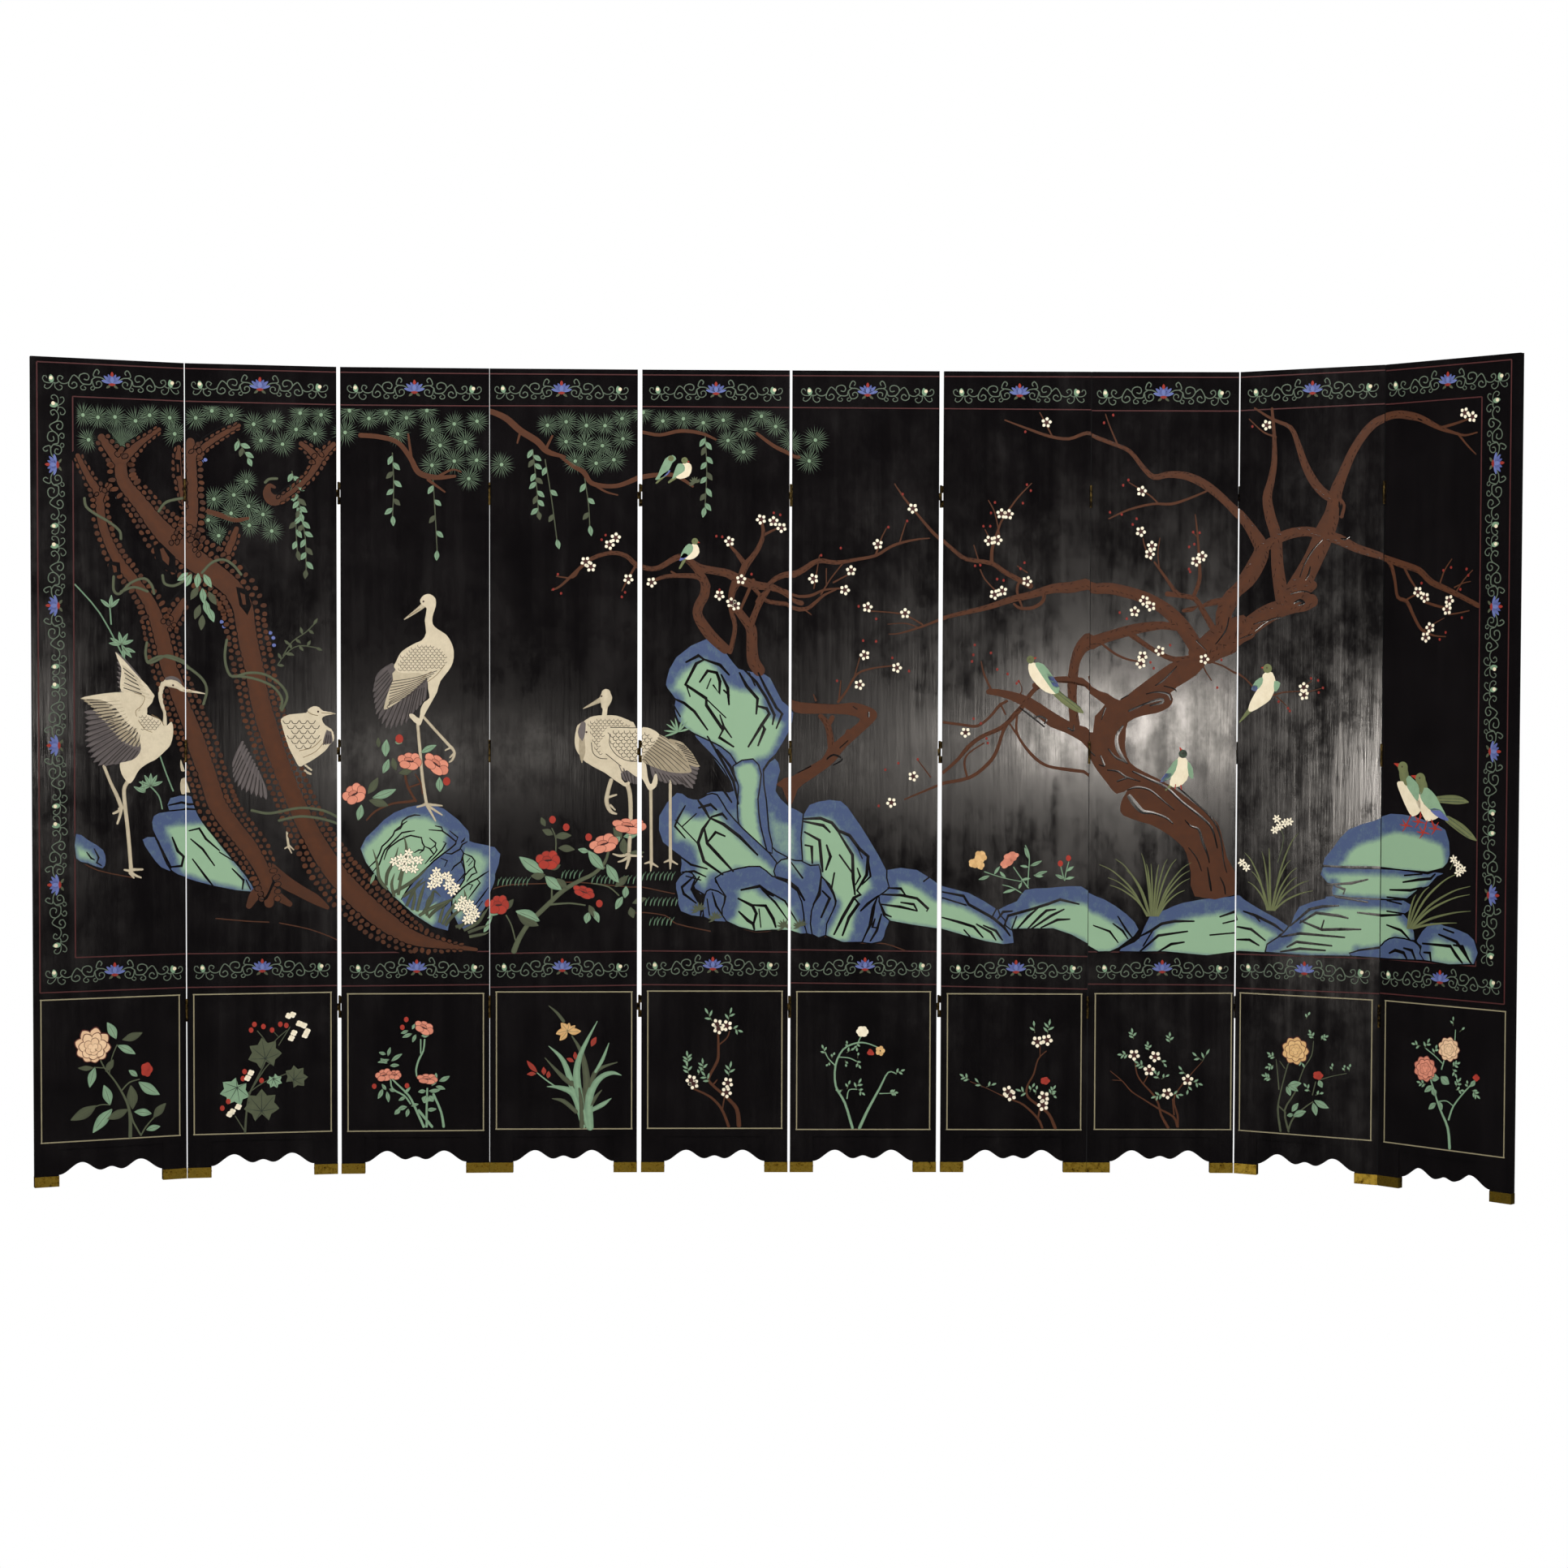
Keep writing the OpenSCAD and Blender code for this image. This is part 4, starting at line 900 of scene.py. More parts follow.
patch("plum", "bark_brown", [(2300, 1436), (2340, 1434), (2440, 1428), (2500, 1434), (2540, 1424),
    (2566, 1412), (2574, 1396), (2560, 1372), (2480, 1300), (2450, 1262), (2424, 1238), (2370, 1200),
    (2330, 1170), (2306, 1108), (2280, 1160), (2262, 1170), (2316, 1208), (2350, 1232), (2404, 1262),
    (2420, 1290), (2440, 1310), (2500, 1360), (2522, 1384), (2480, 1398), (2400, 1400), (2340, 1400),
    (2306, 1412)], 0.42, 2, 0.6)
for path in [[(2400, 1392, 16), (2418, 1372, 20), (2428, 1340, 20), (2434, 1290, 22)],
    [(2436, 1388, 16), (2424, 1366, 16)], [(2470, 1310, 14), (2486, 1345, 16)]]:
    limb(*path)
slits([(2420, 1262, 4), (2440, 1275, 6), (2468, 1262, 5), (2440, 1244, 3)],
    [(2500, 1422, 3), (2512, 1414, 3)], [(2484, 1318, 3), (2460, 1296, 4)],
    [(2330, 1220, 3), (2370, 1240, 4)], [(2548, 1404, 6), (2548, 1392, 6)])
for path in [[(2454, 1436, 8), (2480, 1470, 7), (2511, 1520, 6), (2560, 1538, 5), (2620, 1546, 4)],
    [(2456, 1440, 5), (2462, 1500, 3)], [(2500, 1500, 4), (2520, 1570, 3)],
    [(2385, 1440, 6), (2378, 1458, 3)], [(2780, 1692, 10), (2740, 1676, 7), (2690, 1658, 6),
    (2640, 1644, 4), (2610, 1642, 3)], [(2700, 1662, 4), (2660, 1675, 3), (2606, 1672, 2)],
    [(2780, 1190, 8), (2720, 1165, 6), (2660, 1140, 4)], [(2740, 1208, 4), (2700, 1260, 3)]]:
    limb(*path)

# The second plum: its trunk, its hub at the joint of panels 8 and 9, and its long limbs.
patch("plum", "bark_brown", [(3562, 872), (3549, 946), (3534, 1005), (3517, 1029), (3479, 1060),
    (3430, 1088), (3397, 1098), (3340, 1118), (3330, 1140), (3337, 1170), (3352, 1196), (3318, 1184),
    (3290, 1215), (3262, 1250), (3236, 1285), (3200, 1318), (3150, 1345), (3105, 1362), (3070, 1388),
    (3041, 1410), (2990, 1440), (2940, 1456), (2908, 1462), (2915, 1478), (2980, 1470), (3040, 1452),
    (3100, 1415), (3160, 1380), (3215, 1362), (3244, 1370), (3250, 1420), (3280, 1455), (3232, 1480),
    (3170, 1500), (3110, 1498), (3060, 1478), (3048, 1492), (3090, 1510), (3170, 1516), (3232, 1504),
    (3290, 1488), (3325, 1468), (3370, 1500), (3430, 1545), (3480, 1580), (3516, 1592), (3556, 1588),
    (3590, 1600), (3596, 1590), (3560, 1545), (3500, 1508), (3496, 1500), (3482, 1492), (3490, 1472),
    (3478, 1448), (3440, 1430), (3397, 1422), (3352, 1402), (3345, 1360), (3344, 1318), (3360, 1278),
    (3400, 1252), (3450, 1228), (3492, 1203), (3549, 1162), (3600, 1122), (3630, 1096), (3648, 1040),
    (3660, 990), (3683, 946), (3684, 872)], 0.42, 2, 0.6)
slits([(3352, 1196, 3), (3380, 1204, 7), (3420, 1196, 6), (3460, 1165, 5), (3496, 1135, 3)],
    [(3358, 1176, 14), (3378, 1150, 18), (3400, 1130, 14), (3430, 1126, 8), (3470, 1112, 7),
    (3492, 1094, 4)], [(3368, 1252, 5), (3420, 1228, 8), (3470, 1205, 8), (3520, 1160, 8), (3570, 1122, 8),
    (3606, 1090, 7), (3620, 1060, 6), (3630, 1020, 4)], [(3500, 1210, 3), (3560, 1160, 5), (3616, 1105, 6),
    (3640, 1050, 5), (3650, 980, 4), (3660, 945, 3)], [(3530, 1104, 3), (3548, 1086, 5), (3572, 1076, 7),
    (3584, 1040, 8), (3600, 1000, 6), (3606, 975, 3)], [(3542, 1020, 3), (3566, 990, 4), (3582, 950, 3)],
    [(3600, 960, 3), (3608, 915, 7), (3612, 890, 5)], [(3640, 930, 3), (3652, 905, 5), (3656, 880, 4)],
    [(3336, 1390, 6), (3318, 1360, 10), (3320, 1325, 12), (3336, 1295, 10), (3348, 1280, 5)],
    [(3292, 1320, 4), (3314, 1295, 6), (3338, 1284, 6), (3352, 1276, 3)],
    [(3268, 1300, 4), (3276, 1280, 6), (3280, 1268, 5), (3264, 1272, 3)],
    [(3236, 1306, 6), (3250, 1300, 4)], [(3290, 1256, 4), (3322, 1252, 6), (3346, 1236, 6),
    (3390, 1222, 3)], [(3320, 1222, 5), (3350, 1232, 5)], [(3355, 1436, 6), (3400, 1456, 6),
    (3452, 1472, 9), (3456, 1462, 8), (3420, 1452, 4)], [(3408, 1488, 3), (3440, 1494, 5), (3474, 1488, 7),
    (3484, 1470, 5)], [(3436, 1514, 3), (3458, 1528, 5), (3490, 1560, 4), (3500, 1572, 3)],
    [(3462, 1512, 3), (3492, 1504, 4), (3500, 1496, 3)], [(3160, 1358, 6), (3176, 1350, 5),
    (3176, 1366, 3)], [(3056, 1388, 4), (3070, 1394, 6), (3092, 1384, 6), (3086, 1372, 4)],
    [(3010, 1420, 3), (3040, 1398, 5), (3086, 1362, 4)], [(3270, 1410, 3), (3282, 1445, 5)],
    [(3330, 1472, 3), (3352, 1484, 3)])
for path in [[(3560, 1612, 50), (3600, 1640, 70), (3640, 1662, 84), (3684, 1690, 60), (3720, 1670, 60),
    (3770, 1700, 60), (3810, 1720, 56), (3860, 1734, 50), (3905, 1744, 52), (3926, 1748, 44)],
    [(3600, 1600, 40), (3634, 1622, 50), (3690, 1640, 46), (3730, 1656, 40)],
    [(3860, 1760, 44), (3900, 1780, 40), (3930, 1795, 30)], [(3652, 1680, 60), (3644, 1730, 50),
    (3672, 1780, 52), (3720, 1815, 56), (3752, 1862, 54), (3768, 1905, 50), (3748, 1945, 38),
    (3716, 1990, 30), (3686, 2026, 27), (3640, 2072, 26), (3600, 2104, 26), (3562, 2126, 25),
    (3520, 2140, 22), (3470, 2143, 19), (3425, 2136, 15), (3391, 2165, 14), (3352, 2209, 12),
    (3302, 2230, 11), (3235, 2252, 12), (3200, 2250, 10), (3156, 2235, 10), (3098, 2242, 9),
    (3035, 2263, 7), (2959, 2291, 4)], [(3587, 2095, 6), (3530, 2072, 7), (3479, 2057, 8), (3422, 2057, 7),
    (3350, 2040, 6), (3289, 2013, 4)], [(3560, 1630, 44), (3520, 1690, 48), (3470, 1740, 42),
    (3410, 1775, 36), (3350, 1794, 34), (3290, 1806, 34), (3235, 1802, 32), (3170, 1786, 32),
    (3111, 1782, 30), (3041, 1762, 24), (2984, 1749, 20), (2908, 1724, 16), (2830, 1706, 13),
    (2775, 1693, 10)], [(3500, 1690, 20), (3454, 1696, 24), (3400, 1690, 30), (3352, 1680, 32),
    (3290, 1662, 34), (3235, 1640, 38), (3200, 1605, 40), (3180, 1560, 32), (3172, 1500, 30),
    (3172, 1440, 28), (3180, 1370, 30)], [(3360, 1668, 18), (3400, 1640, 14), (3450, 1610, 14),
    (3500, 1592, 18), (3560, 1600, 20)], [(3270, 1640, 7), (3310, 1610, 7), (3352, 1592, 6),
    (3388, 1586, 5)], [(3082, 1772, 12), (3080, 1745, 12), (3050, 1724, 11), (3010, 1722, 9),
    (2990, 1735, 6)], [(3016, 1724, 6), (3000, 1770, 8), (3006, 1800, 8), (3030, 1800, 6)],
    [(3610, 1690, 20), (3580, 1740, 16), (3556, 1775, 16), (3530, 1782, 14), (3500, 1792, 12),
    (3467, 1835, 9), (3430, 1884, 6)], [(3548, 1776, 12), (3568, 1829, 11), (3568, 1880, 9),
    (3562, 1962, 6), (3554, 2026, 3)], [(3446, 1860, 4), (3440, 1910, 3), (3446, 1956, 3)],
    [(3470, 1790, 16), (3540, 1782, 14)], [(3520, 1740, 10), (3545, 1745, 14), (3560, 1752, 6)],
    [(3580, 1755, 10), (3610, 1765, 18), (3640, 1770, 18)], [(3838, 1730, 44), (3828, 1790, 40),
    (3818, 1860, 36), (3813, 1943, 34), (3795, 2000, 32), (3784, 2060, 28), (3796, 2110, 24),
    (3806, 2170, 18), (3804, 2250, 12), (3797, 2324, 8)], [(3810, 2240, 6), (3770, 2256, 5),
    (3725, 2296, 3)], [(3742, 2328, 5), (3800, 2292, 9), (3856, 2266, 13), (3880, 2216, 18),
    (3900, 2160, 22), (3926, 2110, 26), (3960, 2070, 28), (3992, 2052, 30)],
    [(3872, 1760, 84), (3900, 1815, 66), (3935, 1880, 60), (3966, 1950, 58), (3990, 2010, 50),
    (4000, 2070, 40), (4024, 2130, 28), (4052, 2190, 26), (4090, 2244, 26), (4130, 2276, 26),
    (4190, 2290, 24), (4240, 2284, 24), (4283, 2272, 20), (4340, 2244, 14), (4391, 2226, 9),
    (4430, 2216, 6), (4470, 2222, 4)], [(4346, 2242, 8), (4400, 2252, 7), (4440, 2262, 5)],
    [(4404, 2224, 6), (4440, 2185, 5), (4467, 2160, 3)], [(4012, 2050, 12), (4026, 2030, 9),
    (4018, 1998, 12)], [(3768, 1906, 38), (3800, 1926, 34), (3850, 1948, 32), (3910, 1956, 30),
    (3960, 1944, 30), (4010, 1930, 34), (4060, 1905, 26), (4110, 1888, 24), (4159, 1872, 20),
    (4226, 1850, 20), (4280, 1832, 20), (4320, 1798, 18), (4372, 1776, 16), (4430, 1750, 14),
    (4480, 1726, 14)], [(4160, 1872, 8), (4184, 1846, 12), (4197, 1800, 10), (4206, 1756, 10),
    (4238, 1742, 12), (4262, 1700, 10), (4289, 1660, 9), (4330, 1642, 5), (4372, 1638, 3)],
    [(4226, 1846, 8), (4246, 1812, 8), (4270, 1780, 5)], [(4232, 1745, 6), (4270, 1762, 5),
    (4300, 1760, 4)], [(4300, 1740, 7), (4340, 1728, 8), (4380, 1720, 6)],
    [(4350, 1790, 5), (4366, 1830, 4), (4390, 1862, 3)], [(4300, 1660, 4), (4340, 1680, 3),
    (4366, 1692, 2)], [(4404, 1764, 4), (4430, 1800, 4), (4460, 1828, 3)],
    [(4400, 1780, 4), (4430, 1792, 3), (4454, 1796, 2)], [(4380, 1702, 4), (4410, 1705, 4),
    (4450, 1712, 3)], [(3235, 1496, 14), (3225, 1520, 10)], [(2775, 1190, 10), (2857, 1207, 11),
    (2914, 1250, 11), (2940, 1290, 10), (2960, 1350, 10), (2985, 1390, 13), (3016, 1422, 14),
    (3050, 1470, 14), (3090, 1498, 14)], [(2775, 1375, 8), (2830, 1368, 8), (2880, 1364, 9),
    (2920, 1394, 8), (2946, 1425, 8), (2970, 1440, 8)], [(2775, 1222, 9), (2820, 1262, 11),
    (2850, 1298, 12), (2890, 1330, 13), (2952, 1358, 14), (2990, 1392, 14), (3016, 1420, 14)],
    [(2848, 1212, 6), (2840, 1250, 6), (2852, 1280, 5), (2900, 1312, 4)],
    [(3002, 1398, 6), (3000, 1350, 8), (3020, 1310, 8), (3060, 1265, 9), (3100, 1242, 9), (3160, 1232, 10),
    (3226, 1224, 10)], [(2976, 1376, 5), (3000, 1340, 6)], [(2950, 1432, 6), (2966, 1400, 5)],
    [(2926, 1465, 7), (2900, 1520, 6), (2890, 1560, 3)], [(3590, 1590, 5), (3640, 1575, 5), (3680, 1550, 5),
    (3735, 1500, 5), (3760, 1474, 6), (3800, 1464, 6), (3840, 1474, 4), (3900, 1478, 3)],
    [(3576, 1592, 4), (3588, 1560, 4), (3608, 1530, 3)], [(3820, 1460, 4), (3840, 1444, 3),
    (3860, 1424, 2)], [(3906, 1492, 3), (3930, 1508, 2)], [(3920, 1476, 3), (3960, 1486, 2)],
    [(2921, 1862, 12), (2922, 1900, 10), (2934, 1940, 8), (2950, 1985, 6), (2980, 2030, 5), (3005, 2062, 5),
    (3042, 2100, 3)], [(2945, 1940, 4), (2930, 2010, 4), (2910, 2048, 3)],
    [(2886, 1850, 4), (2866, 1912, 3)], [(2886, 1838, 4), (2900, 1810, 4), (2930, 1778, 4)],
    [(2926, 1908, 4), (2900, 1960, 3)], [(3104, 2244, 5), (3082, 2286, 4), (3066, 2314, 3)],
    [(3316, 2224, 5), (3290, 2280, 4), (3276, 2316, 3)], [(3440, 2058, 5), (3412, 2084, 4),
    (3350, 2120, 3)], [(3394, 1955, 3), (3400, 1930, 4), (3420, 1890, 4)],
    [(3560, 1960, 3), (3546, 1975, 2)], [(2990, 1440, 4), (3016, 1470, 3), (3008, 1500, 2)],
    [(3030, 1830, 4), (3000, 1850, 3)]]:
    limb(*path)
slits([(3872, 1742, 4), (3890, 1750, 10), (3904, 1742, 8), (3886, 1736, 4)],
    [(3862, 1770, 3), (3900, 1778, 4), (3930, 1770, 3)], [(3750, 1660, 3), (3790, 1690, 5),
    (3830, 1700, 4)], [(3745, 1680, 3), (3780, 1690, 4)], [(3908, 1812, 3), (3918, 1830, 6),
    (3922, 1850, 3)], [(4010, 2040, 4), (4014, 2020, 7), (4012, 2002, 5)],
    [(3960, 1930, 3), (3930, 1900, 5), (3905, 1860, 4), (3890, 1820, 3)],
    [(4018, 1932, 4), (4030, 1930, 6), (4042, 1936, 3)], [(4270, 2274, 3), (4282, 2268, 4)],
    [(3620, 1640, 3), (3650, 1680, 5), (3660, 1720, 3)], [(3590, 1622, 3), (3560, 1650, 4)],
    [(3700, 1640, 3), (3740, 1650, 4)])
print("plum trees:", len(sheet["plum"]), "limbs and slits")


# %% Plum blossom
def blossom(u, z, size, layer="blossom"):
    """Five cream petals with gaps between them, round a dark red heart."""
    turn = dice.uniform(0, 72)
    patch(layer, "heart_red", disc(u, z, size * 0.66), 0.6, 1, 0.1)
    for i in range(5):
        foot = turned([(size * 0.4, 0)], turn + i * 72, (u, z))[0]
        patch(layer, "petal_cream", turned(almond(size * 0.68, size * 0.66, 0.5), turn + i * 72, foot),
            0.66, 2, 0.95)
    patch(layer, "heart_red", disc(u, z, size * 0.44), 0.72, 1, 0.2)


BLOSSOMS = [(1771, 1922), (1752, 1901), (1679, 1849), (1695, 1833), (1810, 1797), (2213, 1976),
    (2251, 1970), (2276, 1951), (2116, 1908), (2152, 1792), (1877, 1782), (2086, 1743), (2122, 1721),
    (2135, 1712), (2681, 2023), (2574, 1914), (2492, 1834), (2376, 1809), (2473, 1775), (2543, 1723),
    (2659, 1705), (2535, 1578), (2634, 1540), (2519, 1488), (2686, 1210), (2619, 1130), (3087, 2284),
    (2950, 2008), (2972, 2006), (2913, 1926), (2938, 1928), (3030, 1804), (2954, 1774), (2930, 1763),
    (2843, 1344), (3389, 2095), (3387, 1975), (3422, 1932), (3415, 1908), (3576, 1902), (3557, 1887),
    (3399, 1770), (3419, 1753), (3370, 1737), (3448, 1619), (3395, 1603), (3390, 1580), (3585, 1594),
    (3781, 2276), (4428, 2280), (4454, 2267), (4276, 1770), (4300, 1753), (4383, 1743), (4376, 1716),
    (4319, 1665), (4304, 1637), (3905, 1489), (3906, 1466)]
BUDS = [(2076, 1924), (2094, 1922), (2252, 1996), (2272, 1990), (2184, 1808), (2086, 1760), (2460, 1902),
    (2400, 1880), (2650, 2066), (2664, 1985), (2606, 1966), (2516, 1726), (2570, 1688), (2530, 1622),
    (2570, 1620), (2620, 1570), (2672, 1530), (2450, 1500), (2600, 1230), (2640, 1250), (2700, 1262),
    (2580, 1120), (3022, 2256), (2930, 2042), (2918, 2010), (2895, 1970), (2916, 1970), (3040, 2078),
    (3028, 2096), (3016, 2040), (2870, 1850), (2886, 1852), (2938, 1810), (2958, 1806), (3010, 1842),
    (3022, 1860), (3300, 2313), (3272, 2291), (3348, 2127), (3332, 2112), (3292, 2032), (3328, 2026),
    (3374, 2013), (3362, 1996), (3548, 1974), (3568, 1972), (3536, 1930), (3552, 1938), (3536, 1864),
    (3540, 1856), (3735, 2274), (4362, 1830), (4388, 1838), (4440, 1832), (4446, 1814), (4420, 1774),
    (4426, 1692), (4352, 1630), (4372, 1650), (4288, 1795), (3826, 1446), (3856, 1426), (3862, 1418),
    (3928, 1516), (3950, 1510), (3952, 1474), (3965, 1488), (2870, 1610), (2866, 1580), (2862, 1560),
    (2920, 1586), (2940, 1536), (2972, 1522), (3000, 1494), (3006, 1500), (2868, 1386), (2908, 1326),
    (2912, 1312), (2890, 1372), (3638, 1592), (3626, 1508), (3420, 1584), (3430, 1566), (3480, 1636),
    (3324, 1734), (3346, 1716), (1580, 1764), (1594, 1810), (1604, 1752), (1790, 1742), (1800, 1756),
    (1728, 1916), (1740, 1930)]
for u, z in BLOSSOMS:
    blossom(u, z, 15)
for u, z in BUDS:
    patch("blossom", "petal_red", disc(u, z, 3.6, 4.2), 0.6, 1, 0.1)
print("blossom:", len(sheet["blossom"]), "petals, hearts and buds")

# %% [markdown]
# ## Cranes
# Four cranes stand or alight under the pines and a fifth shows behind a trunk: cream, with dark-lined
# feathers and grey flight feathers. A wing is a fan: each feather is its own raised stroke from a root on
# the wing's bone to a tip on its edge, with a darker rim, so the gaps between feathers draw themselves.
# The backs are covered with small dark scallops.


# %% Feathers
def along(points, t):
    """The point a part t of the way along a line of points."""
    lengths = [math.dist(a, b) for a, b in zip(points, points[1:])]
    left = t * sum(lengths)
    for a, b, length in zip(points, points[1:], lengths):
        if left <= length or b == points[-1]:
            return tuple(p + (q - p) * min(1, left / length) for p, q in zip(a, b))
        left -= length


def fan(roots, tips, count, wide, colour="crane_cream", tall=0.66, shade=0.8, bow=0.0, start=0.3):
    """Feathers side by side from a line of roots to a line of tips, bowed to one side."""
    for i in range(count):
        root, tip = along(roots, i / (count - 1)), along(tips, i / (count - 1))
        (u, z), (u2, z2) = root, tip
        middle = ((u + u2) / 2 - (z2 - z) * bow, (z + z2) / 2 + (u2 - u) * bow)
        path = [(*root, wide * 0.6), (*middle, wide), (*along([middle, tip], 0.7), wide * 0.8),
            (*tip, wide * 0.12)]
        stroke("cranes", colour, path, tall=tall + 0.012 * (i % 3), cuts=3, shade=shade * (1, 0.75)[i % 2],
            rim=shade * 0.3, edge=0.9)
    parted(roots, tips, count, tall + 0.06, start)


def parted(roots, tips, count, tall=0.8, start=0.3):
    """Thin dark lines that part the feathers of a fan."""
    for i in range(count - 1):
        root, tip = (along(line, (i + 0.5) / (count - 1)) for line in (roots, tips))
        path = [along([root, tip], t) for t in (start, 0.93)]
        stroke("cranes", "feather_dark", [(*p, 2.8) for p in path], tall=tall, cuts=1, shade=0.2, edge=0.95)


def inside(u, z, outline):
    """Whether a point lies inside an outline."""
    crossed = False
    for (a, b), (c, d) in zip(outline, outline[1:] + outline[:1]):
        if (b > z) != (d > z) and u < a + (z - b) / (d - b) * (c - a):
            crossed = not crossed
    return crossed


def scallops(outline, size=13, lean=0.0, wide=1.5):
    """Rows of small dark arcs, like roof tiles, wherever there is room inside an outline."""
    low, high = [min(p[i] for p in outline) for i in (0, 1)], [max(p[i] for p in outline) for i in (0, 1)]
    for row in range(int((high[1] - low[1]) / (size * 0.6))):
        for col in range(int((high[0] - low[0]) / size) + 2):
            u, z = low[0] + (col + 0.5 * (row % 2)) * size, low[1] + (row + 0.7) * size * 0.6
            if all(inside(u + dx, z + dz, outline) for dx, dz in ((-6, 0), (6, 0), (0, 5), (0, -5))):
                turns = [math.radians(a + lean) for a in (185, 235, 270, 305, 355)]
                arc = [(u + math.cos(a) * size * 0.45, z + math.sin(a) * size * 0.42) for a in turns]
                stroke("cranes", "feather_dark", [(*p, wide) for p in arc], tall=0.86, cuts=1, shade=0.5,
                    edge=0.95)


def cream(outline, shade=0.85, tall=0.68, cuts=3):
    """A cream part of a crane."""
    patch("cranes", "crane_cream", outline, tall, cuts, shade)


def eye(u, z):
    """A small dark red eye."""
    patch("cranes", "heart_red", disc(u, z, 3.2), 0.8, 1, 0.0)


def legs(*paths):
    """The long legs and toes of a crane."""
    for path in paths:
        stroke("cranes", "crane_cream", path, tall=0.64, cuts=3, shade=0.55, rim=0.25)


def fine(*paths, wide=1.8, colour="feather_line"):
    """Fine drawn lines on a crane."""
    for path in paths:
        stroke("cranes", colour, [(*p, wide) for p in path], tall=0.86, cuts=3, shade=0.5, edge=0.95)


# %% Crane alighting, panel 1
fan([(262, 1400), (300, 1330), (322, 1296)], [(152, 1400), (157, 1362), (153, 1322), (158, 1296),
    (176, 1254), (200, 1238), (232, 1246), (262, 1246), (292, 1250)],
    17, 19, "feather_grey", 0.6, 0.75, 0.05)
fan([(345, 1440), (330, 1470), (316, 1500)], [(256, 1462), (250, 1482), (248, 1506), (252, 1530),
    (246, 1577)], 9, 13, "feather_grey", 0.6, 0.95)
cream([(360, 1449), (306, 1512), (244, 1578), (262, 1530), (258, 1490), (262, 1460), (300, 1456),
    (322, 1432), (310, 1404), (337, 1393), (338, 1412)], 0.9, 0.66, 2)
fan([(350, 1440), (330, 1470), (310, 1500)], [(262, 1466), (264, 1484), (270, 1506), (262, 1540)], 6, 8,
    "crane_cream", 0.72, 0.9)
fan([(322, 1440), (318, 1400), (335, 1340)], [(142, 1440), (170, 1418), (180, 1402), (193, 1386),
    (210, 1374), (222, 1354), (240, 1338), (254, 1318), (273, 1306), (296, 1298), (320, 1296)],
    20, 14, "crane_cream", 0.64, 0.15, 0.06)
fan([(322, 1440), (312, 1402), (322, 1360)], [(206, 1436), (226, 1412), (240, 1390), (256, 1374),
    (264, 1354), (284, 1340), (296, 1322), (318, 1306)], 13, 15,
    "crane_cream", 0.7, 0.8, 0.05, 0.6)
cream([(141, 1440), (179, 1450), (243, 1458), (300, 1457), (319, 1444), (324, 1431), (310, 1402),
    (318, 1360), (300, 1352), (275, 1372), (256, 1396), (236, 1420), (200, 1436)], 0.85, 0.75, 2)
cream([(337, 1393), (376, 1377), (386, 1361), (396, 1358), (411, 1371), (416, 1342), (408, 1304),
    (389, 1282), (364, 1260), (338, 1247), (313, 1228), (294, 1196), (281, 1190), (262, 1215), (256, 1247),
    (270, 1252), (300, 1262), (319, 1291), (310, 1340), (306, 1380), (310, 1402)], 0.9, 0.74)
stroke("cranes", "crane_cream", [(390, 1350, 14), (391, 1395, 9), (384, 1418, 11), (379, 1444, 14),
    (380, 1470, 16), (392, 1486, 22), (412, 1487, 27), (432, 1478, 20), (446, 1468, 14), (480, 1462, 9),
    (518, 1455, 2)], tall=0.74, cuts=4, shade=0.85, rim=0.5)
stroke("cranes", "feather_grey", [(396, 1499, 8), (412, 1502, 11), (430, 1496, 9), (440, 1486, 5)],
    tall=0.86, cuts=3, shade=0.6)
scallops([(306, 1395), (338, 1394), (378, 1376), (380, 1352), (350, 1340), (318, 1345)], 12, 30)
fine([(300, 1457), (330, 1446), (322, 1420), (304, 1404), (306, 1388)],
    [(312, 1375), (330, 1350), (352, 1340)], [(446, 1466), (480, 1461)],
    [(388, 1360), (376, 1378), (352, 1392)])
eye(416, 1480)
legs([(209, 1240, 9), (228, 1192, 9), (247, 1152, 11), (260, 1117, 12)],
    [(262, 1116, 9), (250, 1106, 8), (236, 1100, 6)], [(260, 1112, 9), (256, 1094, 8), (248, 1070, 6)],
    [(262, 1120, 6), (252, 1114, 5)], [(278, 1192, 12), (268, 1170, 11), (271, 1120, 11), (279, 1048, 11),
    (286, 960, 11), (288, 925, 12)], [(288, 932, 10), (300, 932, 8), (322, 932, 6)],
    [(286, 928, 9), (268, 932, 5)], [(290, 922, 9), (302, 914, 7), (317, 908, 5)],
    [(284, 922, 7), (296, 908, 5)])

# %% Crane behind the old pine, panel 2
cream([(746, 1380), (770, 1393), (821, 1398), (826, 1408), (843, 1418), (860, 1415), (872, 1404),
    (911, 1397), (880, 1390), (868, 1380), (878, 1361), (897, 1349), (905, 1330), (903, 1314), (890, 1300),
    (878, 1284), (846, 1260), (814, 1242), (799, 1237), (786, 1260), (770, 1291), (757, 1330), (748, 1361)],
    0.85, 0.66, 2)
scallops([(750, 1376), (772, 1388), (822, 1390), (860, 1372), (868, 1350), (850, 1300), (800, 1290),
    (772, 1300), (760, 1330)], 25, 0, 2.2)
fan([(884, 1345), (895, 1340)], [(872, 1300), (898, 1304)], 4, 7, "feather_grey", 0.78, 0.8)
fine([(800, 1284), (840, 1294), (866, 1318)], [(812, 1264), (850, 1282), (876, 1312)],
    [(868, 1398), (905, 1396)], [(826, 1402), (838, 1394), (856, 1390)])
eye(857, 1402)
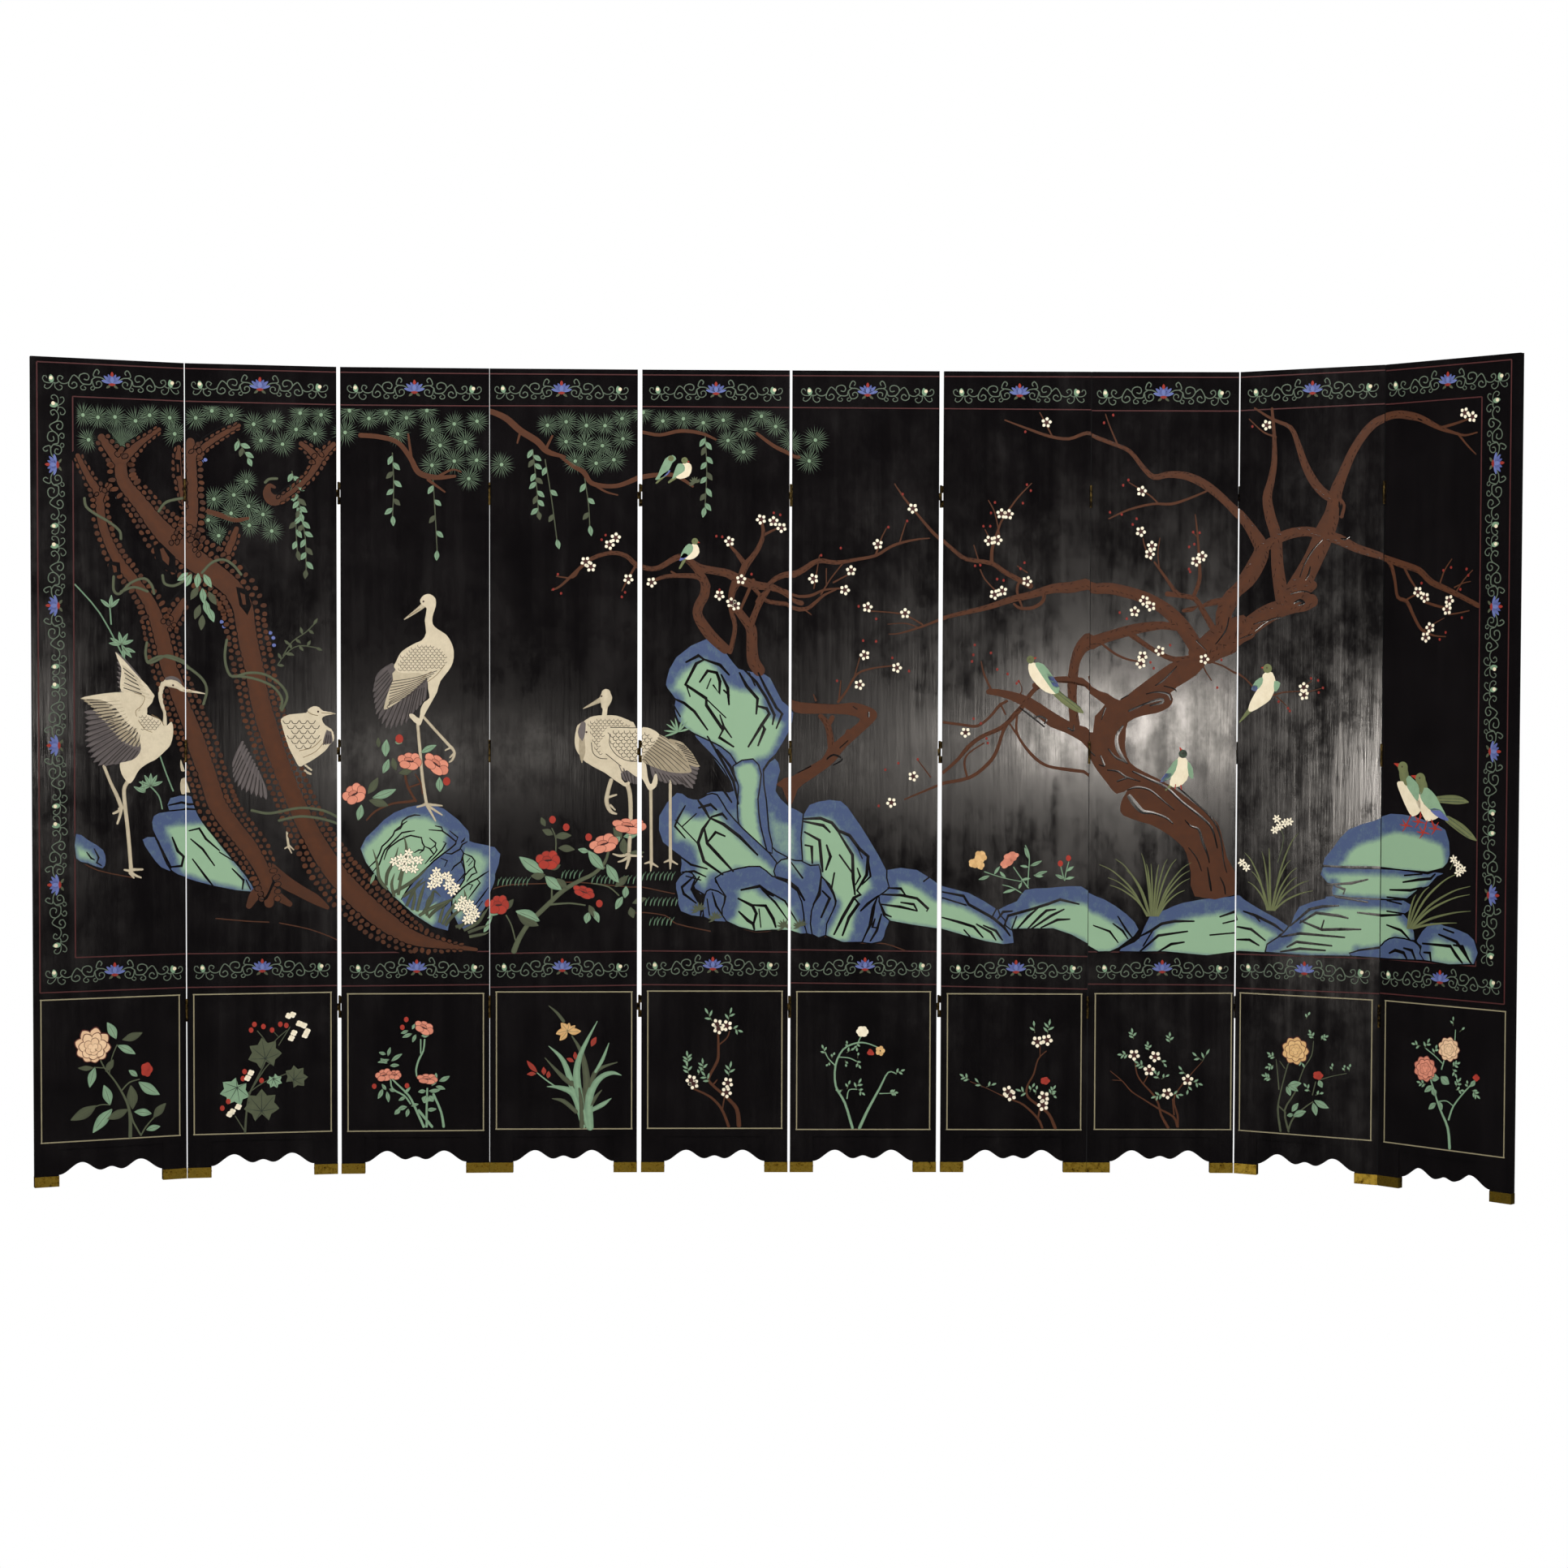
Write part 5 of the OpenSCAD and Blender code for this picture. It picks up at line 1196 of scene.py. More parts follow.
legs([(806, 1238, 9), (818, 1222, 8), (834, 1214, 6)], [(818, 1240, 6), (836, 1226, 5)],
    [(762, 1050, 6), (764, 1020, 7), (768, 992, 7)], [(768, 1000, 5), (782, 986, 4)],
    [(766, 996, 5), (756, 990, 4)], [(768, 992, 5), (776, 976, 3)])
cream([(440, 1262), (468, 1258), (492, 1240), (512, 1202), (488, 1214), (462, 1226), (440, 1224)], 0.5, 0.3)
cream([(440, 1200), (474, 1200), (500, 1178), (496, 1160), (462, 1160), (440, 1156)], 0.4, 0.3)
fan([(630, 1310), (668, 1240), (690, 1200)], [(600, 1236), (602, 1196), (622, 1168), (664, 1150),
    (700, 1138)], 11, 13, "feather_grey", 0.3, 0.85)

# %% Crane on the flowering rock, panel 3
fan([(1080, 1550), (1130, 1525), (1184, 1500)], [(1029, 1502), (1022, 1470), (1026, 1436), (1032, 1396),
    (1050, 1372), (1066, 1354), (1094, 1362), (1120, 1370), (1136, 1396), (1160, 1420), (1176, 1440)],
    19, 17, "feather_grey", 0.6, 0.6, -0.05)
patch("cranes", "crane_cream", [(1093, 1537), (1218, 1537), (1187, 1512), (1134, 1463), (1064, 1416),
    (1056, 1424), (1067, 1463), (1083, 1505)], 0.7, 2, 0.5)
for i in range(10):  # parting lines of the middle feathers, from the shoulder side to the tips
    fine([(1216 - 8.5 * i, 1532 - 8 * i), (1150 - 9 * i, 1511 - 9.2 * i),
        (1080 - 2.4 * i + 0.16 * i * i, 1500 - 9.2 * i)], wide=2.2, colour="feather_dark")
cream([(1186, 1720), (1180, 1685), (1184, 1647), (1172, 1625), (1153, 1616), (1124, 1600), (1105, 1584),
    (1092, 1558), (1086, 1544), (1100, 1528), (1130, 1524), (1160, 1526), (1186, 1510), (1190, 1476),
    (1194, 1450), (1178, 1437), (1167, 1416), (1163, 1388), (1146, 1400), (1134, 1402), (1134, 1392),
    (1160, 1367), (1169, 1374), (1176, 1393), (1190, 1420), (1206, 1448), (1217, 1469), (1227, 1501),
    (1252, 1533), (1265, 1558), (1268, 1590), (1261, 1616), (1245, 1641), (1220, 1657), (1204, 1673),
    (1204, 1698), (1213, 1727), (1212, 1750), (1196, 1763), (1178, 1760), (1166, 1746), (1170, 1732)], 0.9,
    0.74, 2)
stroke("cranes", "crane_cream", [(1180, 1733, 16), (1160, 1717, 12), (1138, 1701, 8), (1118, 1687, 3)],
    tall=0.72, cuts=3, shade=0.5,
    rim=0.2)
scallops([(1092, 1550), (1106, 1580), (1150, 1610), (1200, 1620), (1240, 1598), (1254, 1560), (1236, 1540),
    (1180, 1532), (1100, 1532)], 13, -20)
fine([(1190, 1500), (1216, 1520), (1240, 1550)], [(1172, 1512), (1200, 1530)], [(1166, 1720), (1132, 1698)])
eye(1176, 1741)
legs([(1158, 1370, 9), (1164, 1300, 9), (1172, 1210, 9), (1184, 1132, 9)],
    [(1184, 1130, 9), (1170, 1124, 7), (1156, 1120, 5)], [(1186, 1128, 9), (1210, 1126, 7),
    (1232, 1124, 4)], [(1186, 1126, 8), (1210, 1110, 7), (1232, 1096, 4)],
    [(1186, 1124, 8), (1200, 1100, 7), (1212, 1078, 4)], [(1176, 1392, 8), (1212, 1352, 8),
    (1262, 1298, 9)], [(1262, 1300, 8), (1270, 1284, 8), (1264, 1264, 7), (1254, 1256, 4)],
    [(1258, 1300, 6), (1242, 1292, 4)], [(1266, 1280, 6), (1256, 1270, 4)])

# %% Two cranes crossing panels 4 and 5
cream([(1650, 1337), (1655, 1353), (1672, 1363), (1693, 1377), (1717, 1382), (1743, 1383), (1773, 1382),
    (1800, 1373), (1817, 1365), (1833, 1347), (1833, 1240), (1787, 1207), (1800, 1178), (1813, 1184),
    (1815, 1175), (1802, 1167), (1787, 1175), (1767, 1188), (1747, 1203), (1733, 1212), (1707, 1225),
    (1687, 1237), (1675, 1245), (1655, 1270), (1648, 1287), (1646, 1310)], 0.8, 0.6, 2)
scallops([(1680, 1366), (1716, 1378), (1780, 1378), (1826, 1352), (1800, 1345), (1745, 1345), (1728, 1290),
    (1745, 1256), (1710, 1262), (1698, 1300)], 13, -20)
stroke("cranes", "feather_grey", [(1672, 1356, 16), (1667, 1332, 23), (1668, 1310, 12)], tall=0.78, cuts=3,
    shade=0.9)
stroke("cranes", "crane_cream", [(1668, 1312, 16), (1669, 1275, 20), (1668, 1252, 10), (1668, 1240, 3)],
    tall=0.76, cuts=3, shade=0.1)
eye(1682, 1332)
fine([(1697, 1300), (1702, 1270), (1720, 1254), (1745, 1251)], wide=2.2, colour="feather_dark")
fan([(1782, 1232), (1812, 1214), (1836, 1200)], [(1802, 1184), (1818, 1178), (1836, 1172)], 5, 11,
    "feather_grey", 0.62, 0.8)
fan([(1878, 1222), (1930, 1204), (1985, 1206), (2000, 1222)],
    [(1894, 1180), (1913, 1177), (1933, 1170), (1957, 1168), (1980, 1172), (2003, 1152), (2015, 1178),
    (2024, 1216)], 13, 16,
    "feather_grey", 0.58, 1.0)
fan([(1935, 1303), (1962, 1272), (1980, 1240)], [(1980, 1287), (2004, 1262), (2026, 1224)], 9, 13,
    "crane_cream", 0.6, 0.12)
patch("cranes", "crane_cream", [(1898, 1322), (1940, 1298), (1958, 1273), (1980, 1248), (2001, 1213),
    (1993, 1204), (1953, 1204), (1920, 1210), (1884, 1222), (1860, 1233), (1846, 1243), (1856, 1268),
    (1886, 1296)], 0.68, 2, 0.05)
bend = [[(1902, 1318), (1886, 1292), (1862, 1266), (1850, 1246)],
    [(1962, 1268), (1985, 1240), (1995, 1210), (1930, 1208), (1870, 1228)]]
for i in range(11):
    root, tip = (along(line, i / 10) for line in bend)
    bow = ((root[0] + tip[0]) / 2, (root[1] + tip[1]) / 2 + 5, 2.2)
    stroke("cranes", "feather_dark", [(*root, 2.2), bow, (*tip, 1.6)], tall=0.74, cuts=2, shade=0.3,
        edge=0.95)
stroke("cranes", "crane_cream", [(1900, 1316, 5), (1930, 1298, 6), (1956, 1274, 5)], tall=0.8, cuts=2,
    shade=0.5)
cream([(1728, 1425), (1732, 1400), (1728, 1377), (1722, 1350), (1722, 1313), (1727, 1287), (1740, 1267),
    (1760, 1250), (1787, 1228), (1813, 1213), (1833, 1197), (1850, 1187), (1867, 1155), (1878, 1151),
    (1893, 1163), (1897, 1182), (1894, 1200), (1887, 1197), (1880, 1173), (1873, 1171), (1866, 1193),
    (1861, 1230), (1848, 1242), (1862, 1266), (1888, 1294), (1902, 1320), (1877, 1337), (1853, 1343),
    (1800, 1346), (1760, 1346), (1747, 1353), (1744, 1373), (1746, 1400), (1748, 1425)], 0.9, 0.7, 2)
stroke("cranes", "crane_cream", [(1738, 1412, 22), (1741, 1426, 33), (1742, 1438, 37), (1742, 1449, 28)],
    tall=0.76, cuts=4, shade=0.9, rim=0.6,
    edge=0.95)
stroke("cranes", "crane_cream", [(1726, 1430, 16), (1708, 1421, 11), (1690, 1412, 7), (1672, 1403, 2)],
    tall=0.72, cuts=3, shade=0.3,
    rim=0.1)
scallops([(1754, 1336), (1772, 1343), (1850, 1341), (1898, 1320), (1884, 1292), (1858, 1266), (1842, 1245),
    (1806, 1248), (1776, 1262), (1756, 1292)], 17, -25, 2)
fine([(1748, 1330), (1754, 1322), (1752, 1300), (1760, 1280), (1778, 1260), (1806, 1246), (1840, 1242)],
    [(1756, 1346), (1800, 1346), (1850, 1343)], [(1742, 1266), (1762, 1250), (1788, 1229)], wide=2.2,
    colour="feather_dark")
eye(1728, 1441)
legs([(1758, 1186, 12), (1748, 1152, 12), (1744, 1120, 13), (1756, 1092, 11), (1774, 1084, 5)],
    [(1748, 1134, 8), (1774, 1142, 5)], [(1756, 1110, 7), (1770, 1096, 4)],
    [(1808, 1172, 14), (1816, 1140, 13), (1818, 1066, 12), (1812, 946, 11)],
    [(1812, 962, 9), (1788, 956, 8), (1764, 962, 4)], [(1812, 958, 9), (1834, 956, 7), (1850, 950, 4)],
    [(1810, 952, 9), (1794, 942, 7), (1780, 938, 4)], [(1814, 950, 9), (1808, 930, 8), (1804, 918, 5)],
    [(1876, 1156, 10), (1877, 1050, 9), (1878, 926, 10)], [(1936, 1180, 9), (1936, 1060, 9),
    (1937, 934, 10)], [(1878, 934, 8), (1858, 928, 4)], [(1878, 930, 8), (1898, 918, 4)],
    [(1878, 928, 8), (1876, 906, 4)], [(1937, 940, 8), (1918, 932, 4)], [(1937, 938, 8), (1958, 926, 4)],
    [(1937, 934, 8), (1936, 912, 4)])
print("cranes:", len(sheet["cranes"]), "feathers, lines and limbs")

# %% [markdown]
# ## Small birds
# Pairs of long-tailed birds sit in the plum branches and on the last rock, with cream fronts, olive
# heads, red beaks and green wings edged with blue. Each is a few flat patches with a stroke for its tail.

# %% Birds
BIRDS = (  # colour, shade, outline
    ("leaf_green", 0.7, [(1940, 2148), (1952, 2160), (1942, 2172), (1918, 2160), (1896, 2110), (1888, 2096),
    (1902, 2098), (1926, 2118)]),
    ("lotus_blue", 0.6, [(1902, 2100), (1926, 2112), (1934, 2126), (1912, 2114)]),
    ("petal_cream", 0.5, [(1972, 2146), (1992, 2148), (2000, 2134), (1992, 2108), (1964, 2098),
    (1950, 2106), (1952, 2124)]),
    ("leaf_green", 0.8, [(1958, 2146), (1976, 2142), (1978, 2124), (1958, 2110), (1940, 2098), (1948, 2124)]),
    ("petal_cream", 0.5, [(2004, 1900), (2018, 1896), (2024, 1874), (2008, 1856), (1986, 1852),
    (1974, 1862), (1984, 1884)]),
    ("leaf_green", 0.8, [(1990, 1900), (2004, 1894), (2002, 1876), (1984, 1860), (1966, 1858), (1974, 1882)]),
    ("lotus_blue", 0.6, [(1976, 1872), (1990, 1864), (1972, 1850), (1962, 1850)]),
    ("petal_cream", 0.5, [(3036, 1552), (3056, 1556), (3084, 1530), (3104, 1490), (3120, 1462),
    (3090, 1468), (3062, 1490), (3040, 1520)]),
    ("leaf_green", 0.8, [(3056, 1556), (3082, 1552), (3112, 1514), (3132, 1478), (3120, 1462), (3090, 1500),
    (3068, 1532)]),
    ("lotus_blue", 0.6, [(3092, 1524), (3114, 1512), (3130, 1484), (3112, 1486)]),
    ("petal_cream", 0.5, [(3508, 1296), (3532, 1292), (3542, 1262), (3534, 1226), (3508, 1206),
    (3482, 1210), (3488, 1240), (3500, 1270)]),
    ("leaf_green", 0.75, [(3506, 1290), (3490, 1278), (3470, 1246), (3456, 1222), (3480, 1230),
    (3500, 1256)]),
    ("lotus_blue", 0.6, [(3470, 1246), (3488, 1244), (3472, 1226), (3452, 1220)]),
    ("leaf_green", 0.7, [(3536, 1284), (3552, 1262), (3554, 1232), (3540, 1240)]),
    ("leaf_green", 0.8, [(3774, 1520), (3752, 1508), (3741, 1484), (3756, 1480), (3774, 1500)]),
    ("lotus_blue", 0.6, [(3744, 1494), (3758, 1494), (3756, 1478), (3740, 1482)]),
    ("leaf_green", 0.8, [(3812, 1508), (3831, 1502), (3822, 1480), (3812, 1478)]),
    ("petal_cream", 0.5, [(3775, 1527), (3790, 1536), (3806, 1533), (3816, 1507), (3813, 1482),
    (3800, 1453), (3775, 1434), (3740, 1415), (3730, 1422), (3736, 1444), (3752, 1473), (3771, 1504)]),
    ("petal_cream", 0.5, [(4215, 1212), (4212, 1200), (4224, 1174), (4232, 1158), (4244, 1136),
    (4260, 1113), (4272, 1112), (4292, 1126), (4290, 1160), (4270, 1190), (4244, 1210)]),
    ("leaf_green", 0.85, [(4240, 1208), (4250, 1230), (4264, 1222), (4284, 1204), (4288, 1180),
    (4282, 1156), (4262, 1176)]),
    ("petal_cream", 0.45, [(4284, 1186), (4276, 1166), (4279, 1150), (4294, 1126), (4311, 1100),
    (4328, 1100), (4356, 1112), (4334, 1126), (4304, 1148)]),
    ("leaf_green", 0.95, [(4296, 1190), (4316, 1196), (4346, 1171), (4360, 1148), (4384, 1110),
    (4358, 1131), (4330, 1130), (4306, 1148), (4292, 1168)]),
    ("lotus_blue", 0.6, [(4326, 1134), (4359, 1134), (4390, 1104), (4376, 1103), (4356, 1110), (4338, 1120)]),
)
HEADS = (  # head outline by its middle, radius, tip of the beak, shade, colour
    (1936, 2162, 9, (1922, 2158), 0.7, "grass_olive"), (1978, 2156, 10, (1992, 2152), 0.8, "grass_olive"),
    (2010, 1908, 10, (2024, 1904), 0.8, "grass_olive"), (3042, 1566, 12, (3060, 1572), 0.5, "grass_olive"),
    (3522, 1306, 13, (3512, 1326), 0.1, "pine_green"), (3790, 1546, 14, (3770, 1549), 0.9, "grass_olive"),
    (4230, 1254, 17, (4200, 1265), 0.9, "grass_olive"), (4291, 1222, 17, (4260, 1230), 0.9, "grass_olive"),
)
TAILS = [[(1920, 2112, 9), (1892, 2086, 5)], [(1956, 2108, 12), (1930, 2088, 6)],
    [(1984, 1862, 12), (1964, 1826, 6)], [(3108, 1478, 20), (3150, 1442, 24), (3186, 1418, 20),
    (3204, 1406, 6)], [(3492, 1216, 12), (3470, 1196, 5)], [(3738, 1424, 16), (3704, 1387, 7)],
    [(4350, 1163, 18), (4396, 1164, 26), (4428, 1162, 22), (4454, 1158, 4)],
    [(4386, 1106, 20), (4426, 1084, 27), (4460, 1062, 20), (4482, 1048, 4)]]


TAIL_STRIPES = [[(3112, 1474), (3192, 1414)], [(3120, 1478), (3196, 1422)], [(4356, 1166), (4440, 1166)],
    [(4360, 1158), (4440, 1158)], [(4390, 1110), (4466, 1062)], [(4388, 1098), (4456, 1056)]]


def bird_line(colour, path, tall, shade):
    """A stroke on a bird, darker at its sides."""
    stroke("birds", colour, path, tall=tall, cuts=3, shade=shade, rim=shade - 0.35)


for path in TAILS:
    bird_line("grass_olive", path, 0.62, 0.95)
for path in TAIL_STRIPES:
    stroke("birds", "pine_green", path, 2, 0.7, 1, 0.1)
for colour, shade, outline in BIRDS:
    patch("birds", colour, outline, 0.66 if colour == "petal_cream" else 0.7, 2, shade)
for u, z, size, beak, shade, colour in HEADS:
    stroke("birds", "petal_red", [(u, z, size), ((u + beak[0]) / 2, (z + beak[1]) / 2, size * 0.7),
        (*beak, 1.5)],
        tall=0.72, cuts=1, shade=0.9)
    patch("birds", colour, disc(u, z, size), 0.76, 2, shade)
    patch("birds", "heart_red", [(u - 2 + size * 0.16 * c, z + 2 + size * 0.16 * s) for c, s in ROUND8],
        0.82, 1, 0)
for neck in [[(4232, 1246, 30), (4236, 1224, 32), (4240, 1212, 26)],
    [(4294, 1214, 30), (4300, 1198, 32), (4298, 1188, 24)]]:
    bird_line("grass_olive", neck, 0.74, 0.9)
for u, z in [(4244, 1083), (4287, 1095), (4303, 1064), (4344, 1077)]:
    for angle in (60, 125, 175, 235, 350):
        bird_line("petal_red", turned([(0, 0, 5), (10, 1, 4), (22, 0, 1.5)], angle, (u, z)), 0.8, 0.9)
for path in [[(3500, 1212, 4), (3498, 1200, 3)], [(3516, 1210, 4), (3518, 1198, 3)],
    [(4260, 1114, 4), (4246, 1086, 4)], [(4294, 1122, 4), (4288, 1096, 4)],
    [(4330, 1102, 4), (4344, 1080, 4)], [(4316, 1100, 4), (4304, 1068, 4)]]:
    bird_line("petal_red", path, 0.78, 0.8)
print("birds:", len(HEADS))

# %% [markdown]
# ## Flowers of the garden
# Camellias on an arching stem, narcissus in white clusters and tufts of long grass grow at the foot of
# the rocks. A full flower is rings of petals, each ring raised on the one outside it; the petals differ
# a little in shade, and a leaf is one stroke that swells and comes to a point.


# %% Flowers and foliage
def petals(layer, colour, u, z, wide, high, count, tilt=0.0, far=0.6, size=0.4, tall=0.6):
    """A ring of round petals in an oval."""
    for i in range(count):
        a = math.radians(i * 360 / count)
        middle = turned([(math.cos(a) * wide * far, math.sin(a) * high * far)], tilt, (u, z))[0]
        ring = [(wide * size * c * dice.uniform(0.92, 1.1), high * size * s) for c, s in ROUND8]
        patch(layer, colour, turned(ring, tilt, middle), tall + 0.03 * (i % 3), 2, (0.95, 0.6, 0.8)[i % 3])


def star(u, z, size, turn, tall):
    """A narcissus: six pointed petals with dark gaps, from one point."""
    for i in range(6):
        angle = turn + i * 60
        foot = turned([(size * 0.12, 0)], angle, (u, z))[0]
        patch("garden", "lacquer", turned(almond(size, size * 0.56, 0.55), angle, foot), tall, 2)
        petal = turned(almond(size * 0.92, size * 0.46, 0.55), angle, foot)
        patch("garden", "petal_cream", petal, tall + 0.015 + 0.01 * (i % 2), 2, 0.9)


PEONY = (  # rings of petals, outermost first: from, to and step of their angles, length, width and shade
    (0, 360, 40, 1.0, 0.62, 0.7), (18, 360, 51, 0.78, 0.52, 0.9), (0, 360, 72, 0.5, 0.42, 0.75),
    (30, 360, 120, 0.28, 0.3, 0.95),
)


def peony(layer, colour, u, z, size, lift=0.0, tall=0.56):
    """A full peony or rose: rings of notched petals, each with a fine dark edge; lift opens it upward."""
    for ring, (start, stop, step, long, wide, shade) in enumerate(PEONY):
        for angle in range(start, stop, step):
            up = 1 + lift * math.sin(math.radians(angle))
            shape = almond(size * long * up, size * wide, 0.68)
            for more, hue, high in ((1.06, "heart_red", 0), (1, colour, 0.02)):
                grown = [(x * more, y * (more + 0.06 * (more > 1))) for x, y in shape]
                patch(layer, hue, turned(grown, angle, (u, z)), tall + 0.05 * ring + high, 2, shade)


CAMELLIA = (  # each petal: its middle and half size as parts of the flower's, and its shade
    (-0.12, 0.52, 0.4, 0.42, 0.75), (0.42, 0.55, 0.36, 0.44, 0.9), (-0.66, 0.16, 0.36, 0.44, 0.85),
    (0.68, 0.02, 0.34, 0.52, 0.7),
    (-0.1, 0.18, 0.34, 0.24, 0.5), (0.22, -0.46, 0.56, 0.44, 0.95), (-0.36, -0.42, 0.44, 0.42, 0.8),
)


def camellia(layer, colour, u, z, wide, high, tilt=0.0):
    """A camellia seen a little from the side: petals one over another, each with a fine dark edge."""
    for i, (x, y, across, up, shade) in enumerate(CAMELLIA):
        for more, hue, tall in ((1.3, "heart_red", 0.6), (0, colour, 0.62)):
            middle = turned([(x * wide, y * high)], tilt, (u, z))[0]
            ring = [((wide * across + more) * c, (high * up + more) * s) for c, s in ROUND8]
            patch(layer, hue, turned(ring, tilt, middle), tall + 0.035 * i, 2, shade)
    patch(layer, "heart_red", turned([(wide * 0.3 * c, high * 0.1 * s) for c, s in ROUND8], tilt, (u, z)),
        0.88, 2,
        0.2)


def bud(layer, u, z, size):
    """A closed red bud."""
    patch(layer, "petal_red", disc(u, z, size, size * 1.15), 0.62, 2, 0.7)


def leaves(layer, colour, *places):
    """Single leaves, each given by its stalk end, direction, length and width."""
    for u, z, angle, long, wide in places:
        leaf(layer, (u, z), angle, long, wide, colour, 0.6, 0.1 * dice.choice((-1, 1)))


def sprig(layer, u, z, angle, count=3, long=24, wide=11, colour="leaf_green"):
    """A twig with small pointed leaves on both sides and one at its tip."""
    tip = turned([(long * 0.8, 0)], angle, (u, z))[0]
    stroke(layer, "leaf_olive", [(u, z, 2.2), (*tip, 1.4)], tall=0.45, cuts=1)
    for i in range(count):
        along = (i + 0.6) / count
        at = (u + (tip[0] - u) * along, z + (tip[1] - z) * along)
        side = 0 if i == count - 1 else (52, -52)[i % 2]
        leaf(layer, at, angle + side, long * 0.6, wide * 0.6, colour, 0.56 + 0.02 * i, rib=False)


def stems(layer, colour, *paths, shade=0.8):
    """Stems and twigs, thin at their tips."""
    for path in paths:
        stroke(layer, colour, path, tall=0.45, cuts=3, shade=shade, rim=shade - 0.4)


def blades(base, tips, wide):
    """Grass blades from a tuft, arching outward; base is its place and its own width."""
    for i, (u, z) in enumerate(tips):
        foot = (base[0] + (i / max(1, len(tips) - 1) - 0.5) * base[2], base[1])
        du, dz = u - foot[0], z - foot[1]
        low = (foot[0] + du * 0.3, foot[1] + dz * 0.5, wide)
        path = [(*foot, wide * 0.8), low, (foot[0] + du * 0.7, foot[1] + dz * 0.86, wide * 0.6), (u, z, 1.2)]
        stroke("garden", "grass_olive", path, tall=0.8 + 0.01 * (i % 4), cuts=4, shade=(0.9, 0.65)[i % 2],
            rim=0.3)


# Camellias by the crane of panel 3.
stems("garden", "bark_brown", [(1002, 1080, 4), (1030, 1108, 6), (1080, 1130, 6), (1128, 1136, 8),
    (1150, 1140, 8)], [(1120, 1215, 8), (1128, 1180, 8), (1152, 1138, 7)],
    [(1128, 1178, 6), (1162, 1190, 5)], [(1150, 1220, 3), (1168, 1190, 5), (1172, 1160, 4)])
for place in [(1133, 1258, 36, 27, -8), (1214, 1249, 42, 27, -38), (965, 1158, 36, 30, 25)]:
    camellia("garden", "petal_coral", *place)
bud("garden", 1102, 1326, 12)
bud("garden", 1246, 1198, 11)
leaves("garden", "leaf_green", (1060, 1272, 92, 52, 24), (1052, 1222, 62, 46, 20), (1168, 1284, 32, 52, 18),
    (1226, 1166, 98, 44, 22), (1020, 1148, 14, 76, 24), (976, 1080, 72, 48, 22), (1088, 1316, 0, 22, 12))
leaves("garden", "leaf_olive", (1100, 1222, 10, 46, 20), (1006, 1160, 52, 58, 24),
    (1010, 1140, -10, 60, 26), (1092, 1230, 110, 40, 18), (1040, 1300, 100, 30, 14))
# Narcissus in front of that rock.
for i, path in enumerate([[(1065, 869, 9), (1040, 903, 11), (1034, 948, 8), (1021, 992, 1.5)],
    [(1061, 882, 9), (1065, 919, 11), (1086, 957, 8), (1098, 998, 1.5)],
    [(1100, 898, 9), (1119, 957, 11), (1123, 998, 8), (1115, 1033, 1.5)],
    [(1080, 858, 9), (1128, 886, 11), (1161, 911, 8), (1190, 938, 1.5)],
    [(1098, 853, 9), (1107, 903, 9), (1117, 928, 1.5)], [(1113, 848, 9), (1148, 874, 9), (1186, 898, 1.5)],
    [(1086, 848, 9), (1078, 886, 9), (1087, 919, 1.5)], [(1123, 819, 9), (1136, 848, 11), (1157, 886, 8),
    (1175, 905, 1.5)], [(1155, 803, 9), (1165, 844, 11), (1173, 869, 8), (1180, 892, 1.5)],
    [(1173, 798, 9), (1198, 836, 11), (1207, 865, 8), (1228, 848, 1.5)],
    [(1161, 790, 9), (1194, 811, 11), (1232, 828, 8), (1273, 846, 1.5)],
    [(1190, 784, 9), (1207, 803, 11), (1232, 819, 8), (1263, 838, 1.5)],
    [(1140, 807, 9), (1148, 844, 9), (1150, 869, 1.5)], [(1186, 790, 9), (1186, 828, 9), (1196, 853, 1.5)],
    [(1232, 763, 9), (1248, 794, 11), (1269, 824, 8), (1274, 838, 1.5)],
    [(1242, 759, 9), (1257, 782, 11), (1286, 807, 8), (1296, 803, 1.5)],
    [(1294, 819, 9), (1303, 844, 9), (1299, 870, 1.5)], [(1273, 756, 9), (1315, 769, 9), (1338, 774, 1.5)],
    [(1298, 746, 9), (1340, 769, 11), (1361, 798, 8), (1375, 813, 1.5)],
    [(1311, 739, 9), (1348, 753, 9), (1375, 760, 1.5)], [(1315, 726, 9), (1348, 732, 9), (1375, 736, 1.5)],
    [(1282, 751, 9), (1319, 782, 9), (1357, 805, 1.5)], [(1223, 769, 9), (1232, 803, 9), (1240, 819, 1.5)]]):
    stroke("garden", "leaf_olive", path, tall=0.7 + 0.008 * i, cuts=4, shade=(0.95, 0.6)[i % 2], rim=0.3,
        blunt=False)
leaf("garden", (1013, 886), 68, 36, 11, tall=0.75)
for i, (u, z) in enumerate([(1086, 955), (1107, 965), (1107, 942), (1130, 980), (1142, 959), (1161, 959),
    (1123, 934), (1146, 932), (1125, 957), (1215, 924), (1205, 903), (1199, 883), (1228, 908), (1248, 911),
    (1258, 894), (1249, 881), (1262, 863), (1274, 876), (1218, 890), (1282, 818), (1295, 837), (1302, 813),
    (1317, 826), (1328, 809), (1335, 794), (1314, 794), (1307, 777), (1323, 779)]):
    star(u, z, 14.5, 11 + i * 23, tall=0.9 + 0.03 * (i % 9))
